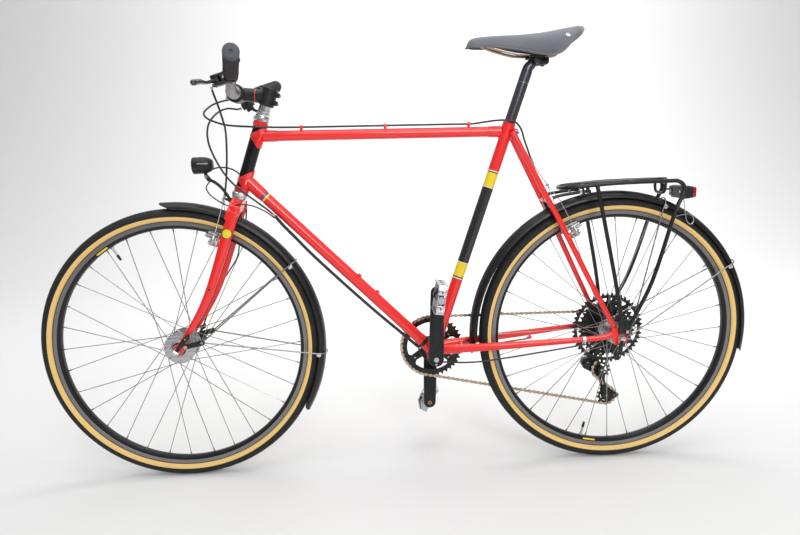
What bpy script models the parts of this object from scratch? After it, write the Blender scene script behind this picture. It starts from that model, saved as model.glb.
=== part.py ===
# Road bicycle with mudguards, rack and lights, as separate parts.
# Sizes are metres. Forward is -X, the rider's left is -Y, up is +Z,
# and the origin is where the rear tyre meets the ground.
import math

import bmesh
import bpy
from mathutils import Matrix, Vector

# Driving sizes
WHEELBASE = 1.110
WHEEL_R = 0.349
TYRE_W = 0.038
RIM_R = 0.317
RIM_INNER_R = 0.293
RIM_W = 0.024
BB_AHEAD = 0.469
BB_DROP = 0.038
SEAT_ANGLE = math.radians(71.2)
HEAD_ANGLE = math.radians(70.7)
FORK_RAKE = 0.0352
REAR_SPACING = 0.130
FRONT_SPACING = 0.100
CRANK_LENGTH = 0.170
CRANK_TILT = math.radians(1.5)
PITCH = 0.0127
CHAIN_Y = 0.042
GAP = 0.0003

# Tube sizes
HEAD_TUBE_R = 0.0159
HEAD_BORE_R = 0.0135
TOP_TUBE_R = 0.0127
MAIN_TUBE_R = 0.0143
POST_R = 0.0136
STEERER_R = 0.0127
STAY_R = 0.0070
CHAIN_STAY_R = 0.0110
SHELL_R = 0.0200
SHELL_HALF = 0.034
SPINDLE_R = 0.012
LUG_WALL = 0.0020

# Stations up the steering axis, from the foot of the front axle
CROWN_BOTTOM = 0.3695
RACE = 0.4030
HEAD_BOTTOM = 0.4210
HEAD_TOP = 0.5980
CUP_TOP = 0.6120
STEM_BOTTOM = 0.6365
STEM_TOP = 0.6800

# Stations up the seat tube, from the bottom bracket
SEAT_TOP = 0.608
POST_BOTTOM = 0.400
POST_TOP = 0.748
BORE_BOTTOM = 0.300
TOP_TUBE_Z = 0.867

# Colours as linear red, green and blue
RED = (0.72, 0.012, 0.012)
BLACK = (0.012, 0.012, 0.013)
DARK = (0.035, 0.036, 0.040)
SILVER = (0.60, 0.60, 0.62)
STEEL = (0.45, 0.45, 0.46)
RUBBER = (0.020, 0.019, 0.018)
SADDLE_GREY = (0.030, 0.030, 0.032)
LAMP_RED = (0.35, 0.01, 0.01)
CHAIN_BROWN = (0.28, 0.22, 0.15)

ACROSS = Vector((0, 1, 0))
FRONT_AXLE = Vector((-WHEELBASE, 0, WHEEL_R))
REAR_AXLE = Vector((0, 0, WHEEL_R))
BB = Vector((-BB_AHEAD, 0, WHEEL_R - BB_DROP))
STEER_UP = Vector((math.cos(HEAD_ANGLE), 0, math.sin(HEAD_ANGLE)))
STEER_AHEAD = Vector((-math.sin(HEAD_ANGLE), 0, math.cos(HEAD_ANGLE)))
STEER_FOOT = FRONT_AXLE - STEER_AHEAD * FORK_RAKE
SEAT_UP = Vector((math.cos(SEAT_ANGLE), 0, math.sin(SEAT_ANGLE)))
SEAT_BACK = Vector((math.sin(SEAT_ANGLE), 0, -math.cos(SEAT_ANGLE)))


def steer(along, ahead=0.0, side=0.0):
    """A point given up the steering axis, ahead of it and to one side."""
    return STEER_FOOT + STEER_UP * along + STEER_AHEAD * ahead + ACROSS * side


def seat(along, behind=0.0, side=0.0):
    """A point given up the seat tube, behind it and to one side."""
    return BB + SEAT_UP * along + SEAT_BACK * behind + ACROSS * side


def pitch_radius(teeth):
    return PITCH / (2 * math.sin(math.pi / teeth))


# Scene
for item in list(bpy.data.objects):
    bpy.data.objects.remove(item, do_unlink=True)
PARTS = bpy.data.collections.new("road_bike")
CUTTERS = bpy.data.collections.new("cutters")
bpy.context.scene.collection.children.link(PARTS)
bpy.context.scene.collection.children.link(CUTTERS)


# Making and joining solids
def basis(x_axis, y_axis, z_axis, place):
    """A matrix from three axes and a place."""
    matrix = Matrix((x_axis, y_axis, z_axis)).transposed().to_4x4()
    matrix.translation = place
    return matrix


def toward(place, direction):
    """A matrix whose Z axis points along a direction."""
    turn = Vector((0, 0, 1)).rotation_difference(Vector(direction))
    return Matrix.Translation(place) @ turn.to_matrix().to_4x4()


def mesh_object(name, shape, matrix):
    """An object from a bmesh, shaded smooth between its sharp edges."""
    mesh = bpy.data.meshes.new(name)
    shape.to_mesh(mesh)
    shape.free()
    mesh.shade_smooth()
    mesh.set_sharp_from_angle(angle=math.radians(40))
    item = bpy.data.objects.new(name, mesh)
    item.matrix_basis = matrix
    return item


def rod(name, start, end, radius, sides=12, end_radius=None):
    """A straight round bar, or a tapered one."""
    start = Vector(start)
    end = Vector(end)
    shape = bmesh.new()
    bmesh.ops.create_cone(
        shape, cap_ends=True, segments=sides, radius1=radius,
        radius2=radius if end_radius is None else end_radius, depth=(end - start).length)
    return mesh_object(name, shape, toward((start + end) / 2, end - start))


def box(name, centre, size, x_axis=(1, 0, 0), z_axis=(0, 0, 1)):
    """A box of a given size, turned to two of its axes."""
    shape = bmesh.new()
    bmesh.ops.create_cube(shape, size=1)
    bmesh.ops.scale(shape, vec=size, verts=shape.verts)
    x_axis = Vector(x_axis).normalized()
    z_axis = Vector(z_axis).normalized()
    return mesh_object(name, shape, basis(x_axis, z_axis.cross(x_axis), z_axis, centre))


def ball(name, centre, radius, sides=12):
    """A round knob."""
    shape = bmesh.new()
    bmesh.ops.create_uvsphere(shape, u_segments=sides, v_segments=sides // 2, radius=radius)
    return mesh_object(name, shape, Matrix.Translation(centre))


def spin(name, profile, matrix, steps, angle=math.tau, ring=True):
    """Turn a profile of (radius, height) about the Z axis of a matrix."""
    mesh = bpy.data.meshes.new(name)
    shape = bmesh.new()
    points = [shape.verts.new((radius, 0, height)) for radius, height in profile]
    for first, second in zip(points, points[1:]):
        shape.edges.new((first, second))
    if ring:
        shape.edges.new((points[-1], points[0]))
    shape.to_mesh(mesh)
    shape.free()
    item = bpy.data.objects.new(name, mesh)
    item.matrix_basis = matrix
    screw = item.modifiers.new("turn", "SCREW")
    screw.angle = angle
    screw.steps = steps
    screw.render_steps = steps
    screw.use_merge_vertices = angle == math.tau
    screw.merge_threshold = 0.00005
    screw.use_smooth_shade = True
    return item


def turned(name, start, axis, steps_up, bore=0.0, sides=16):
    """A turned piece: steps of (from, to, radius) up an axis, with or without a bore."""
    profile = []
    for low, high, radius in reversed(steps_up):
        profile += [(radius, high), (radius, low)]
    bottom = steps_up[0][0]
    top = steps_up[-1][1]
    if bore:
        profile += [(bore, bottom), (bore, top)]
    else:
        profile = [(0, top)] + profile + [(0, bottom)]
    return spin(name, profile, toward(start, axis), sides, ring=bool(bore))


def mesh_from(curve):
    """The welded mesh object of a curve."""
    holder = bpy.data.objects.new(curve.name, curve)
    CUTTERS.objects.link(holder)
    graph = bpy.context.evaluated_depsgraph_get()
    mesh = bpy.data.meshes.new_from_object(holder.evaluated_get(graph))
    shape = bmesh.new()
    shape.from_mesh(mesh)
    bmesh.ops.remove_doubles(shape, verts=shape.verts, dist=0.00001)
    matrix = holder.matrix_basis.copy()
    name = curve.name
    bpy.data.objects.remove(holder, do_unlink=True)
    bpy.data.curves.remove(curve)
    bpy.data.meshes.remove(mesh)
    return mesh_object(name, shape, matrix)


def tube(name, points, radius, sides=8, radii=None, squash=1.0):
    """A tube along points; squash flattens it across the bicycle."""
    return bundle(name, [points], radius, sides, radii, squash)


def bundle(name, routes, radius, sides=4, radii=None, squash=1.0):
    """Several tubes of one radius as one mesh."""
    curve = bpy.data.curves.new(name, "CURVE")
    curve.dimensions = "3D"
    curve.bevel_depth = radius
    curve.bevel_resolution = (sides - 4) // 2
    curve.use_fill_caps = True
    for route in routes:
        spline = curve.splines.new("POLY")
        spline.points.add(len(route) - 1)
        for index, (x, y, z) in enumerate(route):
            spline.points[index].co = (x, y / squash, z, 1)
            if radii:
                spline.points[index].radius = radii[index] / radius
    item = mesh_from(curve)
    item.data.transform(Matrix.Diagonal((1, squash, 1, 1)))
    return item


def plate(name, outline, thickness, matrix, holes=()):
    """A flat outline with holes, as thick as given, in the XY plane of a matrix."""
    curve = bpy.data.curves.new(name, "CURVE")
    curve.dimensions = "2D"
    curve.fill_mode = "BOTH"
    curve.extrude = thickness / 2
    for loop in (outline, *holes):
        spline = curve.splines.new("POLY")
        spline.points.add(len(loop) - 1)
        spline.use_cyclic_u = True
        for index, (x, y) in enumerate(loop):
            spline.points[index].co = (x, y, 0, 1)
    item = mesh_from(curve)
    item.matrix_basis = matrix
    return item


def side_plate(name, outline, thickness, y, centre, holes=()):
    """A plate in the plane of the wheels, its outline given from a centre."""
    matrix = basis((1, 0, 0), (0, 0, 1), (0, -1, 0), (centre[0], y, centre[2]))
    return plate(name, outline, thickness, matrix, holes)


def circle(radius, points=16, centre=(0, 0)):
    """Points round a circle."""
    return [(centre[0] + radius * math.cos(math.tau * k / points),
             centre[1] + radius * math.sin(math.tau * k / points)) for k in range(points)]


def capsule(start, end, start_r, end_r, points=6):
    """An outline round two circles, as a crank arm or a strap has."""
    start = Vector(start)
    end = Vector(end)
    heading = math.atan2(end.y - start.y, end.x - start.x)
    outline = []
    for centre, radius, first in ((end, end_r, heading - math.pi / 2),
                                  (start, start_r, heading + math.pi / 2)):
        for k in range(points + 1):
            angle = first + math.pi * k / points
            outline.append((centre.x + radius * math.cos(angle),
                            centre.y + radius * math.sin(angle)))
    return outline


def smooth_route(points, turn=0.45):
    """Points on a smooth curve through a few given ones, closer where it bends."""
    given = [Vector(point) for point in points]
    ends = [given[0] * 2 - given[1]] + given + [given[-1] * 2 - given[-2]]
    route = []
    for before, here, there, after in zip(ends, ends[1:], ends[2:], ends[3:]):
        bend = (here - before).angle(there - here) + (there - here).angle(after - there)
        parts = 1 + int(bend / turn)
        for part in range(parts):
            t = part / parts
            route.append(0.5 * (2 * here + (there - before) * t
                                + (2 * before - 5 * here + 4 * there - after) * t * t
                                + (3 * here - before - 3 * there + after) * t ** 3))
    route.append(given[-1])
    return route


def mirrored(points):
    """The same points on the other side of the bicycle."""
    return [Vector((point[0], -point[1], point[2])) for point in points]


def combine(base, operation, others):
    """Boolean modifiers on a base, with hidden wire operands."""
    for other in others:
        other.hide_render = True
        other.display_type = "WIRE"
        CUTTERS.objects.link(other)
        modifier = base.modifiers.new(operation.lower(), "BOOLEAN")
        modifier.operation = operation
        modifier.object = other
    return base


def join(base, *others):
    return combine(base, "UNION", others)


def cut(base, *others):
    return combine(base, "DIFFERENCE", others)


def node(name, item, colour, roughness, metallic=0.0, pivot=None):
    """Name a finished piece, give it a material and an origin on its joint."""
    item.name = name
    PARTS.objects.link(item)
    material = bpy.data.materials.new(name)
    material.use_nodes = True
    shader = material.node_tree.nodes["Principled BSDF"]
    shader.inputs["Base Color"].default_value = (*colour, 1)
    shader.inputs["Roughness"].default_value = roughness
    shader.inputs["Metallic"].default_value = metallic
    item.data.materials.append(material)
    if pivot is not None:
        shift = item.matrix_basis.inverted() @ Vector(pivot)
        item.data.transform(Matrix.Translation(-shift))
        item.matrix_basis = item.matrix_basis @ Matrix.Translation(shift)
    return item


def hang(name, place, children):
    """Hang the pieces that move together on an empty on their joint's axis."""
    axis = bpy.data.objects.new(name, None)
    axis.location = place
    axis.empty_display_size = 0.05
    PARTS.objects.link(axis)
    for child in children:
        PARTS.objects[child].parent = axis
        PARTS.objects[child].matrix_parent_inverse = Matrix.Translation(-Vector(place))


# Frame: every tube is its own piece, and the lugs belong to the tubes they hold
def make_head_tube():
    item = turned("head_tube", steer(0), STEER_UP,
                  [(HEAD_BOTTOM, HEAD_TOP, HEAD_TUBE_R)], HEAD_BORE_R, 16)
    node("head_tube", item, BLACK, 0.35)


def head_lug(low, high, cut_along, cut_tilt):
    """A sleeve round the head tube, cut slanting so that its front is short."""
    sleeve = turned("lug", steer(0), STEER_UP, [(low, high, HEAD_TUBE_R + GAP + LUG_WALL)],
                    HEAD_TUBE_R + GAP, 16)
    ahead = 0.030
    slant = (STEER_UP * math.cos(cut_tilt) + STEER_AHEAD * math.sin(cut_tilt)).normalized()
    front = slant.cross(ACROSS)
    knife = box("knife", steer(cut_along, ahead), (0.060, 0.080, 0.060), front, slant)
    return cut(sleeve, knife)


def head_space(low, high):
    """The room that the head tube takes out of a tube that meets it."""
    return rod("space", steer(low), steer(high), HEAD_TUBE_R + GAP + LUG_WALL / 2, 16)


def make_top_tube():
    start = Vector((steer(0.560).x, 0, TOP_TUBE_Z))
    end = Vector((-0.280, 0, TOP_TUBE_Z))
    item = rod("top_tube", start, end, TOP_TUBE_R, 16)
    cut(item, head_space(0.50, 0.64))
    cut(item, rod("space", seat(0.52), seat(0.66), MAIN_TUBE_R + 2 * GAP, 16))
    join(item, head_lug(0.542, HEAD_TOP - 0.0005, 0.528, math.radians(24)))
    for x in (-0.7836, -0.3751):
        guide = turned("guide", (x - 0.004, -0.004, 0.8866), (1, 0, 0),
                       [(0, 0.008, 0.0046)], 0.0031, 8)
        foot = box("foot", (x, -0.004, 0.8805), (0.006, 0.004, 0.0040))
        join(item, foot, guide)
    node("top_tube", item, RED, 0.3)


DOWN_TOP = Vector((-0.8284, 0, 0.6685))
DOWN_LOW = Vector((-0.5676, 0, 0.4096))
DOWN_DIR = (DOWN_LOW - DOWN_TOP).normalized()
DOWN_NORMAL = Vector((-DOWN_DIR.z, 0, DOWN_DIR.x))


def make_down_tube():
    item = rod("down_tube", DOWN_TOP - DOWN_DIR * 0.150, BB, MAIN_TUBE_R, 16)
    cut(item, head_space(0.40, 0.56))
    cut(item, rod("space", BB - ACROSS * 0.05, BB + ACROSS * 0.05, SHELL_R + GAP, 16))
    cut(item, rod("space", BB, seat(0.10), MAIN_TUBE_R + GAP, 16))
    join(item, head_lug(HEAD_BOTTOM + 0.0005, 0.497, 0.506, math.radians(-18)))
    for spot in (Vector((-0.6647, 0, 0.5060)), Vector((-0.6202, 0, 0.4618))):
        boss = turned("boss", spot, DOWN_NORMAL,
                      [(0.010, 0.0165, 0.0060), (0.0165, 0.0195, 0.0050)], 0, 8)
        join(item, boss)
    band = turned("band", DOWN_TOP + DOWN_DIR * 0.466, DOWN_DIR,
                  [(0, 0.010, MAIN_TUBE_R + 0.0012)], 0, 16)
    join(item, band)
    node("down_tube", item, RED, 0.3)


def make_seat_tube():
    item = rod("seat_tube", seat(0.012), seat(SEAT_TOP), MAIN_TUBE_R, 16)
    shell = rod("shell", BB - ACROSS * SHELL_HALF, BB + ACROSS * SHELL_HALF, SHELL_R, 16)
    lug = rod("lug", seat(0.566), seat(SEAT_TOP + 0.0005), MAIN_TUBE_R + LUG_WALL, 16)
    socket = rod("socket", (-0.322, 0, TOP_TUBE_Z), (-0.288, 0, TOP_TUBE_Z),
                 TOP_TUBE_R + GAP + LUG_WALL, 16)
    join(item, shell, lug, socket)
    ears = box("ears", (-0.2600, 0, 0.8640), (0.016, 0.020, 0.020), SEAT_BACK, SEAT_UP)
    bolt = rod("bolt", (-0.2565, -0.0108, 0.8635), (-0.2565, 0.0108, 0.8635), 0.0050, 8)
    join(item, ears, bolt)
    top_room = rod("space", (-0.36, 0, TOP_TUBE_Z), (-0.2800, 0, TOP_TUBE_Z),
                   TOP_TUBE_R + GAP, 16)
    cut(top_room, rod("wall", seat(0.52), seat(0.66), MAIN_TUBE_R + GAP, 16))
    cut(item, top_room)
    cut(item, rod("bore", seat(BORE_BOTTOM), seat(SEAT_TOP + 0.01), POST_R + GAP, 16))
    cut(item, rod("bore", BB - ACROSS * 0.04, BB + ACROSS * 0.04, SPINDLE_R + 0.0005, 16))
    node("seat_tube", item, RED, 0.3)


def chain_stay_route(side):
    points = [(-0.455, 0.0215, 0.3190), (-0.385, 0.0312, 0.3240), (-0.3665, 0.0345, 0.3253),
              (-0.300, 0.0430, 0.3300), (-0.2008, 0.0520, 0.3368), (-0.100, 0.0615, 0.3445),
              (-0.052, 0.0650, 0.3490), (-0.0285, 0.0672, 0.3545), (-0.0190, 0.0675, 0.3635),
              (-0.0172, 0.0675, 0.3755)]
    return [Vector((x, side * y, z)) for x, y, z in points]


def chain_stay(name, side, extra=0.0):
    radii = [0.0110, 0.0110, 0.0108, 0.0100, 0.0085, 0.0072, 0.0068, 0.0066, 0.0065, 0.0065]
    radii = [radius + extra for radius in radii]
    return tube(name, chain_stay_route(side), radii[0], 8, radii, 0.78)


def seat_stay_route(side):
    points = [(-0.2700, 0.0190, 0.8660), (-0.1809, 0.0340, 0.6957), (-0.1534, 0.0390, 0.6447),
              (-0.0923, 0.0510, 0.5222), (-0.0398, 0.0620, 0.4188), (-0.0185, 0.0672, 0.3780)]
    return [Vector((x, side * y, z)) for x, y, z in points]


def seat_stay(name, side, extra=0.0):
    """A seat stay, or with extra the room that it takes out of its neighbours."""
    radii = [STAY_R + extra] * 5 + [0.0065 + extra]
    route = seat_stay_route(side)
    route[-1] += (route[-1] - route[-2]).normalized() * extra
    return tube(name, route, radii[0], 8, radii)


DROPOUT_Y = REAR_SPACING / 2 + GAP + 0.0025
DROPOUT_OUT = DROPOUT_Y + 0.0025
SLOT_R = 0.0052
RACK_EYE = Vector((0.012, 0, 0.017))
FENDER_EYE = Vector((0.0185, 0, 0.003))


def dropout_outline(hanger):
    """Rear dropout round the axle, open at the bottom, with the hanger on the right."""
    outline = [(-0.0225, -0.006), (-0.0215, 0.012), (-0.012, 0.026), (0.008, 0.0265),
               (0.019, 0.022), (0.0255, 0.008), (0.0225, -0.004), (0.0150, -0.010)]
    if hanger:
        outline += [(0.0190, -0.026), (0.0160, -0.037), (0.0060, -0.038), (0.0030, -0.0240)]
    outline += [(SLOT_R, -0.020), (SLOT_R, 0.0)]
    outline += [(SLOT_R * math.cos(a), SLOT_R * math.sin(a))
                for a in (math.pi * k / 6 for k in range(1, 6))]
    outline += [(-SLOT_R, 0.0), (-SLOT_R, -0.0185), (-0.014, -0.0175)]
    return outline


def make_chain_stays():
    for name, side in (("left_chain_stay", -1), ("right_chain_stay", 1)):
        item = chain_stay(name, side)
        cut(item, rod("space", BB - ACROSS * 0.05, BB + ACROSS * 0.05, SHELL_R + GAP, 16))
        dropout = side_plate("dropout", dropout_outline(side > 0), 0.005,
                             side * DROPOUT_Y, REAR_AXLE)
        join(item, dropout)
        cut(item, seat_stay("space", side, 0.0004))
        if side < 0:
            bridge = rod("bridge", (-0.3955, -0.0300, 0.3232), (-0.3955, 0.0330, 0.3232),
                         0.0060, 8)
            cut(bridge, chain_stay("space", 1, 0.0004))
            join(item, bridge)
            clip = rod("clip", (-0.0955, -0.0615, 0.3449), (-0.0855, -0.0624, 0.3457),
                       0.0090, 8)
            join(item, clip)
        node(name, item, RED, 0.3)


# Cantilever brakes: a stud on each stay or blade, and an arm that swings on it
ARM_DEPTH = 0.0195
BRAKE_BORE = 0.0050
PAD_HEIGHT = 0.0185


def brake_frame(front):
    """A brake pivot, the directions up its tube and along its stud, and two distances."""
    if front:
        return steer(0.2870, -0.0030), STEER_UP, STEER_AHEAD, 0.0475, 0.0142
    up = Vector((-0.4463, 0, 0.8949))
    out = Vector((0.8949, 0, 0.4463))
    return Vector((-0.1333, 0, 0.6044)), up, out, 0.0430, 0.0095


def brake_point(front, side, up, out, along):
    """A point up from the pivot, outward from it, and along the stud from the arm's foot."""
    pivot, up_axis, stud_axis, offset, foot = brake_frame(front)
    return (pivot + up_axis * up + stud_axis * (foot + along)
            + ACROSS * side * (offset + out))


def stud(front, side):
    """The fixed stud and its bolt head."""
    start = brake_point(front, side, 0, 0, 0)
    foot = brake_frame(front)[4]
    return turned("stud", start, brake_frame(front)[2],
                  [(-foot, -0.0006, 0.0070), (-0.0006, ARM_DEPTH + 0.0004, 0.0045),
                   (ARM_DEPTH + 0.0004, ARM_DEPTH + 0.0040, 0.0065)], 0, 8)


def brake_arm(name, front, side):
    """Arm, pad holder and pad; the pad stops just short of the rim's side."""
    pivot, up_axis, stud_axis, offset, foot = brake_frame(front)
    mid = ARM_DEPTH / 2
    item = turned(name, brake_point(front, side, 0, 0, 0), stud_axis,
                  [(0, ARM_DEPTH, 0.0085)], BRAKE_BORE, 8)
    outer = [brake_point(front, side, up, out, mid)
             for up, out in ((0.0240, 0.0205), (0.0120, 0.0255), (0.0020, 0.0225),
                             (-0.0010, 0.0062))]
    inner = [brake_point(front, side, up, out, mid)
             for up, out in ((0.0030, -0.0060), (0.0110, -0.0095), (PAD_HEIGHT, -0.0105))]
    pad_y = RIM_W / 2 + 0.0022 + 0.0045
    holder = rod("holder", brake_point(front, side, PAD_HEIGHT, -0.0050, mid),
                 brake_point(front, side, PAD_HEIGHT, pad_y - offset, mid), 0.0040, 6)
    pad = box("pad", brake_point(front, side, PAD_HEIGHT, pad_y - offset, mid),
              (0.048, 0.0090, 0.0095), stud_axis - up_axis * (foot + mid) / 0.30, up_axis)
    anchor = rod("anchor", brake_point(front, side, 0.0240, 0.0205, 0.0030),
                 brake_point(front, side, 0.0240, 0.0205, ARM_DEPTH + 0.0100), 0.0042, 6)
    nut = rod("nut", brake_point(front, side, 0.0110, -0.0095, mid),
              brake_point(front, side, 0.0110, -0.0095, ARM_DEPTH + 0.0180), 0.0042, 6)
    join(item, tube("outer", outer, 0.0048, 6), tube("inner", inner, 0.0045, 6), holder, pad,
         anchor, nut)
    node(name, item, SILVER, 0.3, 1.0)


def make_seat_stays():
    tube_room = (seat(0.50), seat(0.66), MAIN_TUBE_R + LUG_WALL + GAP)
    for name, side in (("left_seat_stay", -1), ("right_seat_stay", 1)):
        item = seat_stay(name, side)
        cut(item, rod("space", *tube_room, 16))
        join(item, stud(False, side))
        if side < 0:
            bridge = rod("bridge", (-0.1820, -0.0340, 0.6965), (-0.1820, 0.0350, 0.6965),
                         0.0055, 8)
            cut(bridge, seat_stay("space", 1, 0.0004))
            join(item, bridge)
        node(name, item, RED, 0.3)


# Steering: fork, headset, stem and handlebar
FORK_Y = FRONT_SPACING / 2 + GAP + 0.0025


def fork_blade(side, extra=0.0):
    stations = [(0.3850, -0.0030, 0.0405, 0.0138), (0.3400, -0.0030, 0.0430, 0.0136),
                (0.2870, -0.0030, 0.0470, 0.0128), (0.2300, -0.0030, 0.0495, 0.0115),
                (0.1700, -0.0010, 0.0510, 0.0102), (0.1200, 0.0050, 0.0520, 0.0090),
                (0.0800, 0.0135, 0.0525, 0.0080), (0.0450, 0.0228, 0.0527, 0.0070),
                (0.0160, 0.0310, 0.0528, 0.0062)]
    route = [steer(along, ahead, side * y) for along, ahead, y, radius in stations]
    radii = [radius + extra for along, ahead, y, radius in stations]
    return tube("blade", route, radii[0], 8, radii, 0.72)


def make_fork():
    item = rod("fork", steer(0.380), steer(CUP_TOP - 0.0005), STEERER_R, 16)
    outline = [(-0.0530, 0.3500), (-0.0520, 0.3720), (-0.0360, 0.3930), (-0.0190, RACE - GAP),
               (0.0190, RACE - GAP), (0.0360, 0.3930), (0.0520, 0.3720), (0.0530, 0.3500),
               (0.0300, 0.3500), (0.0290, 0.3640), (0.0240, CROWN_BOTTOM),
               (-0.0240, CROWN_BOTTOM), (-0.0290, 0.3640), (-0.0300, 0.3500)]
    crown = plate("crown", outline, 0.028, basis(-ACROSS, STEER_UP, STEER_AHEAD, steer(0)))
    join(item, crown)
    for side in (-1, 1):
        join(item, fork_blade(side), stud(True, side))
        join(item, rod("boss", steer(0.1755, -0.001, side * 0.050),
                       steer(0.1755, -0.001, side * 0.0615), 0.0055, 8))
        tip = [(-0.0085, -0.004), (-0.0085, 0.0085), (0.0, 0.0160), (0.0150, 0.0220),
               (0.0280, 0.0190), (0.0300, 0.0080), (0.0140, -0.002), (0.0100, -0.0110),
               (SLOT_R, -0.0125), (SLOT_R, 0.0)]
        tip += [(SLOT_R * math.cos(a), SLOT_R * math.sin(a))
                for a in (math.pi * k / 6 for k in range(1, 6))]
        tip += [(-SLOT_R, 0.0), (-SLOT_R, -0.0105)]
        join(item, side_plate("tip", tip, 0.005, side * FORK_Y, FRONT_AXLE))
    node("fork", item, RED, 0.3)


def make_headset():
    lower = turned("lower_headset_cup", steer(0), STEER_UP,
                   [(RACE, RACE + 0.0060, 0.0190), (RACE + 0.0060, HEAD_BOTTOM - GAP, 0.0205)],
                   STEERER_R + 0.0004, 16)
    node("lower_headset_cup", lower, SILVER, 0.25, 1.0)
    upper = turned("upper_headset_cup", steer(0), STEER_UP,
                   [(HEAD_TOP + GAP, 0.6055, 0.0200), (0.6055, CUP_TOP, 0.0178)],
                   STEERER_R + 0.0004, 16)
    node("upper_headset_cup", upper, SILVER, 0.25, 1.0)


STEM_POST_R = 0.0143
BAR_R = 0.0159
BAR_END_R = 0.0111
STEM_AT = 0.6590
BAR_AT = Vector((-0.9340, 0, 0.9675))


def make_stem():
    adapter = turned("stem_adapter", steer(0), STEER_UP,
                     [(CUP_TOP + GAP, 0.6190, 0.0168), (0.6190, STEM_BOTTOM - GAP, 0.0150),
                      (STEM_BOTTOM - GAP, STEM_TOP - 0.0010, STEM_POST_R)], 0, 16)
    node("stem_adapter", adapter, SILVER, 0.25, 1.0)
    item = rod("stem", steer(STEM_BOTTOM), steer(STEM_TOP), 0.0190, 16)
    extension = rod("extension", steer(STEM_AT), BAR_AT, 0.0165, 12)
    clamp = rod("clamp", BAR_AT - ACROSS * 0.021, BAR_AT + ACROSS * 0.021, 0.0215, 16)
    ears = box("ears", steer(STEM_AT, -0.0200), (0.014, 0.022, 0.036), STEER_AHEAD, STEER_UP)
    join(item, extension, clamp, ears)
    cut(item, rod("bore", steer(0.60), steer(STEM_TOP + 0.01), STEM_POST_R + GAP, 16))
    cut(item, rod("bore", BAR_AT - ACROSS * 0.05, BAR_AT + ACROSS * 0.05, BAR_R + 2 * GAP, 16))
    node("stem", item, BLACK, 0.35)


BAR_POINTS = [(-0.9340, 0.0000, 0.9675), (-0.9340, 0.0300, 0.9675), (-0.9330, 0.0550, 0.9678),
              (-0.9300, 0.0800, 0.9690), (-0.9230, 0.1150, 0.9745), (-0.9120, 0.1620, 0.9850),
              (-0.9075, 0.1850, 0.9895), (-0.8860, 0.2780, 1.0110), (-0.8815, 0.2975, 1.0155)]
BAR_RADII = [BAR_R, BAR_R, BAR_R, 0.0125] + [BAR_END_R] * 5
GRIP_DIR = (Vector(BAR_POINTS[-1]) - Vector(BAR_POINTS[-3])).normalized()


def bar_point(side, y):
    """A point on the handlebar's axis at a distance from the middle."""
    for (x0, y0, z0), (x1, y1, z1) in zip(BAR_POINTS, BAR_POINTS[1:]):
        if y <= y1:
            t = (y - y0) / (y1 - y0)
            return Vector((x0 + (x1 - x0) * t, side * y, z0 + (z1 - z0) * t))


def beside(point, side):
    """A point or direction given for the right, on either side."""
    return Vector((point[0], side * point[1], point[2]))


def bar_room(side):
    """The room of the bar in the clamps and grips on one side of it."""
    points = [beside(point, side) for point in BAR_POINTS[3:]]
    points[-1] += grip_dir(side) * 0.0006
    return tube("bar room", points, BAR_END_R, 10, [radius + GAP for radius in BAR_RADII[3:]])


def grip_dir(side):
    return Vector((GRIP_DIR.x, side * GRIP_DIR.y, GRIP_DIR.z))


def make_handlebar():
    right = [Vector(point) for point in BAR_POINTS]
    route = mirrored(right[:0:-1]) + right
    radii = BAR_RADII[:0:-1] + BAR_RADII
    node("handlebar", tube("handlebar", route, BAR_R, 10, radii), DARK, 0.4, 0.6)
    for name, side in (("left_grip", -1), ("right_grip", 1)):
        start = bar_point(side, 0.1925)
        along = grip_dir(side)
        item = turned(name, start, along,
                      [(0, 0.008, 0.0170), (0.008, 0.070, 0.0158), (0.070, 0.1165, 0.0182)], 0, 12)
        behind = Vector((0.60, 0, 0.05))
        palm = tube("palm", [start + along * at + behind.normalized() * lift
                             for at, lift in ((0.030, 0.003), (0.065, 0.007), (0.100, 0.010),
                                              (0.114, 0.009))],
                    0.0100, 6, [0.0080, 0.0095, 0.0105, 0.0085])
        join(item, palm)
        cut(item, bar_room(side))
        node(name, item, DARK, 0.8)


LEVER_PIVOT = Vector((-0.9390, 0.1800, 0.9770))
LEVER_AXIS = Vector((-0.4637, -0.0962, 0.8807)).normalized()


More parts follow.
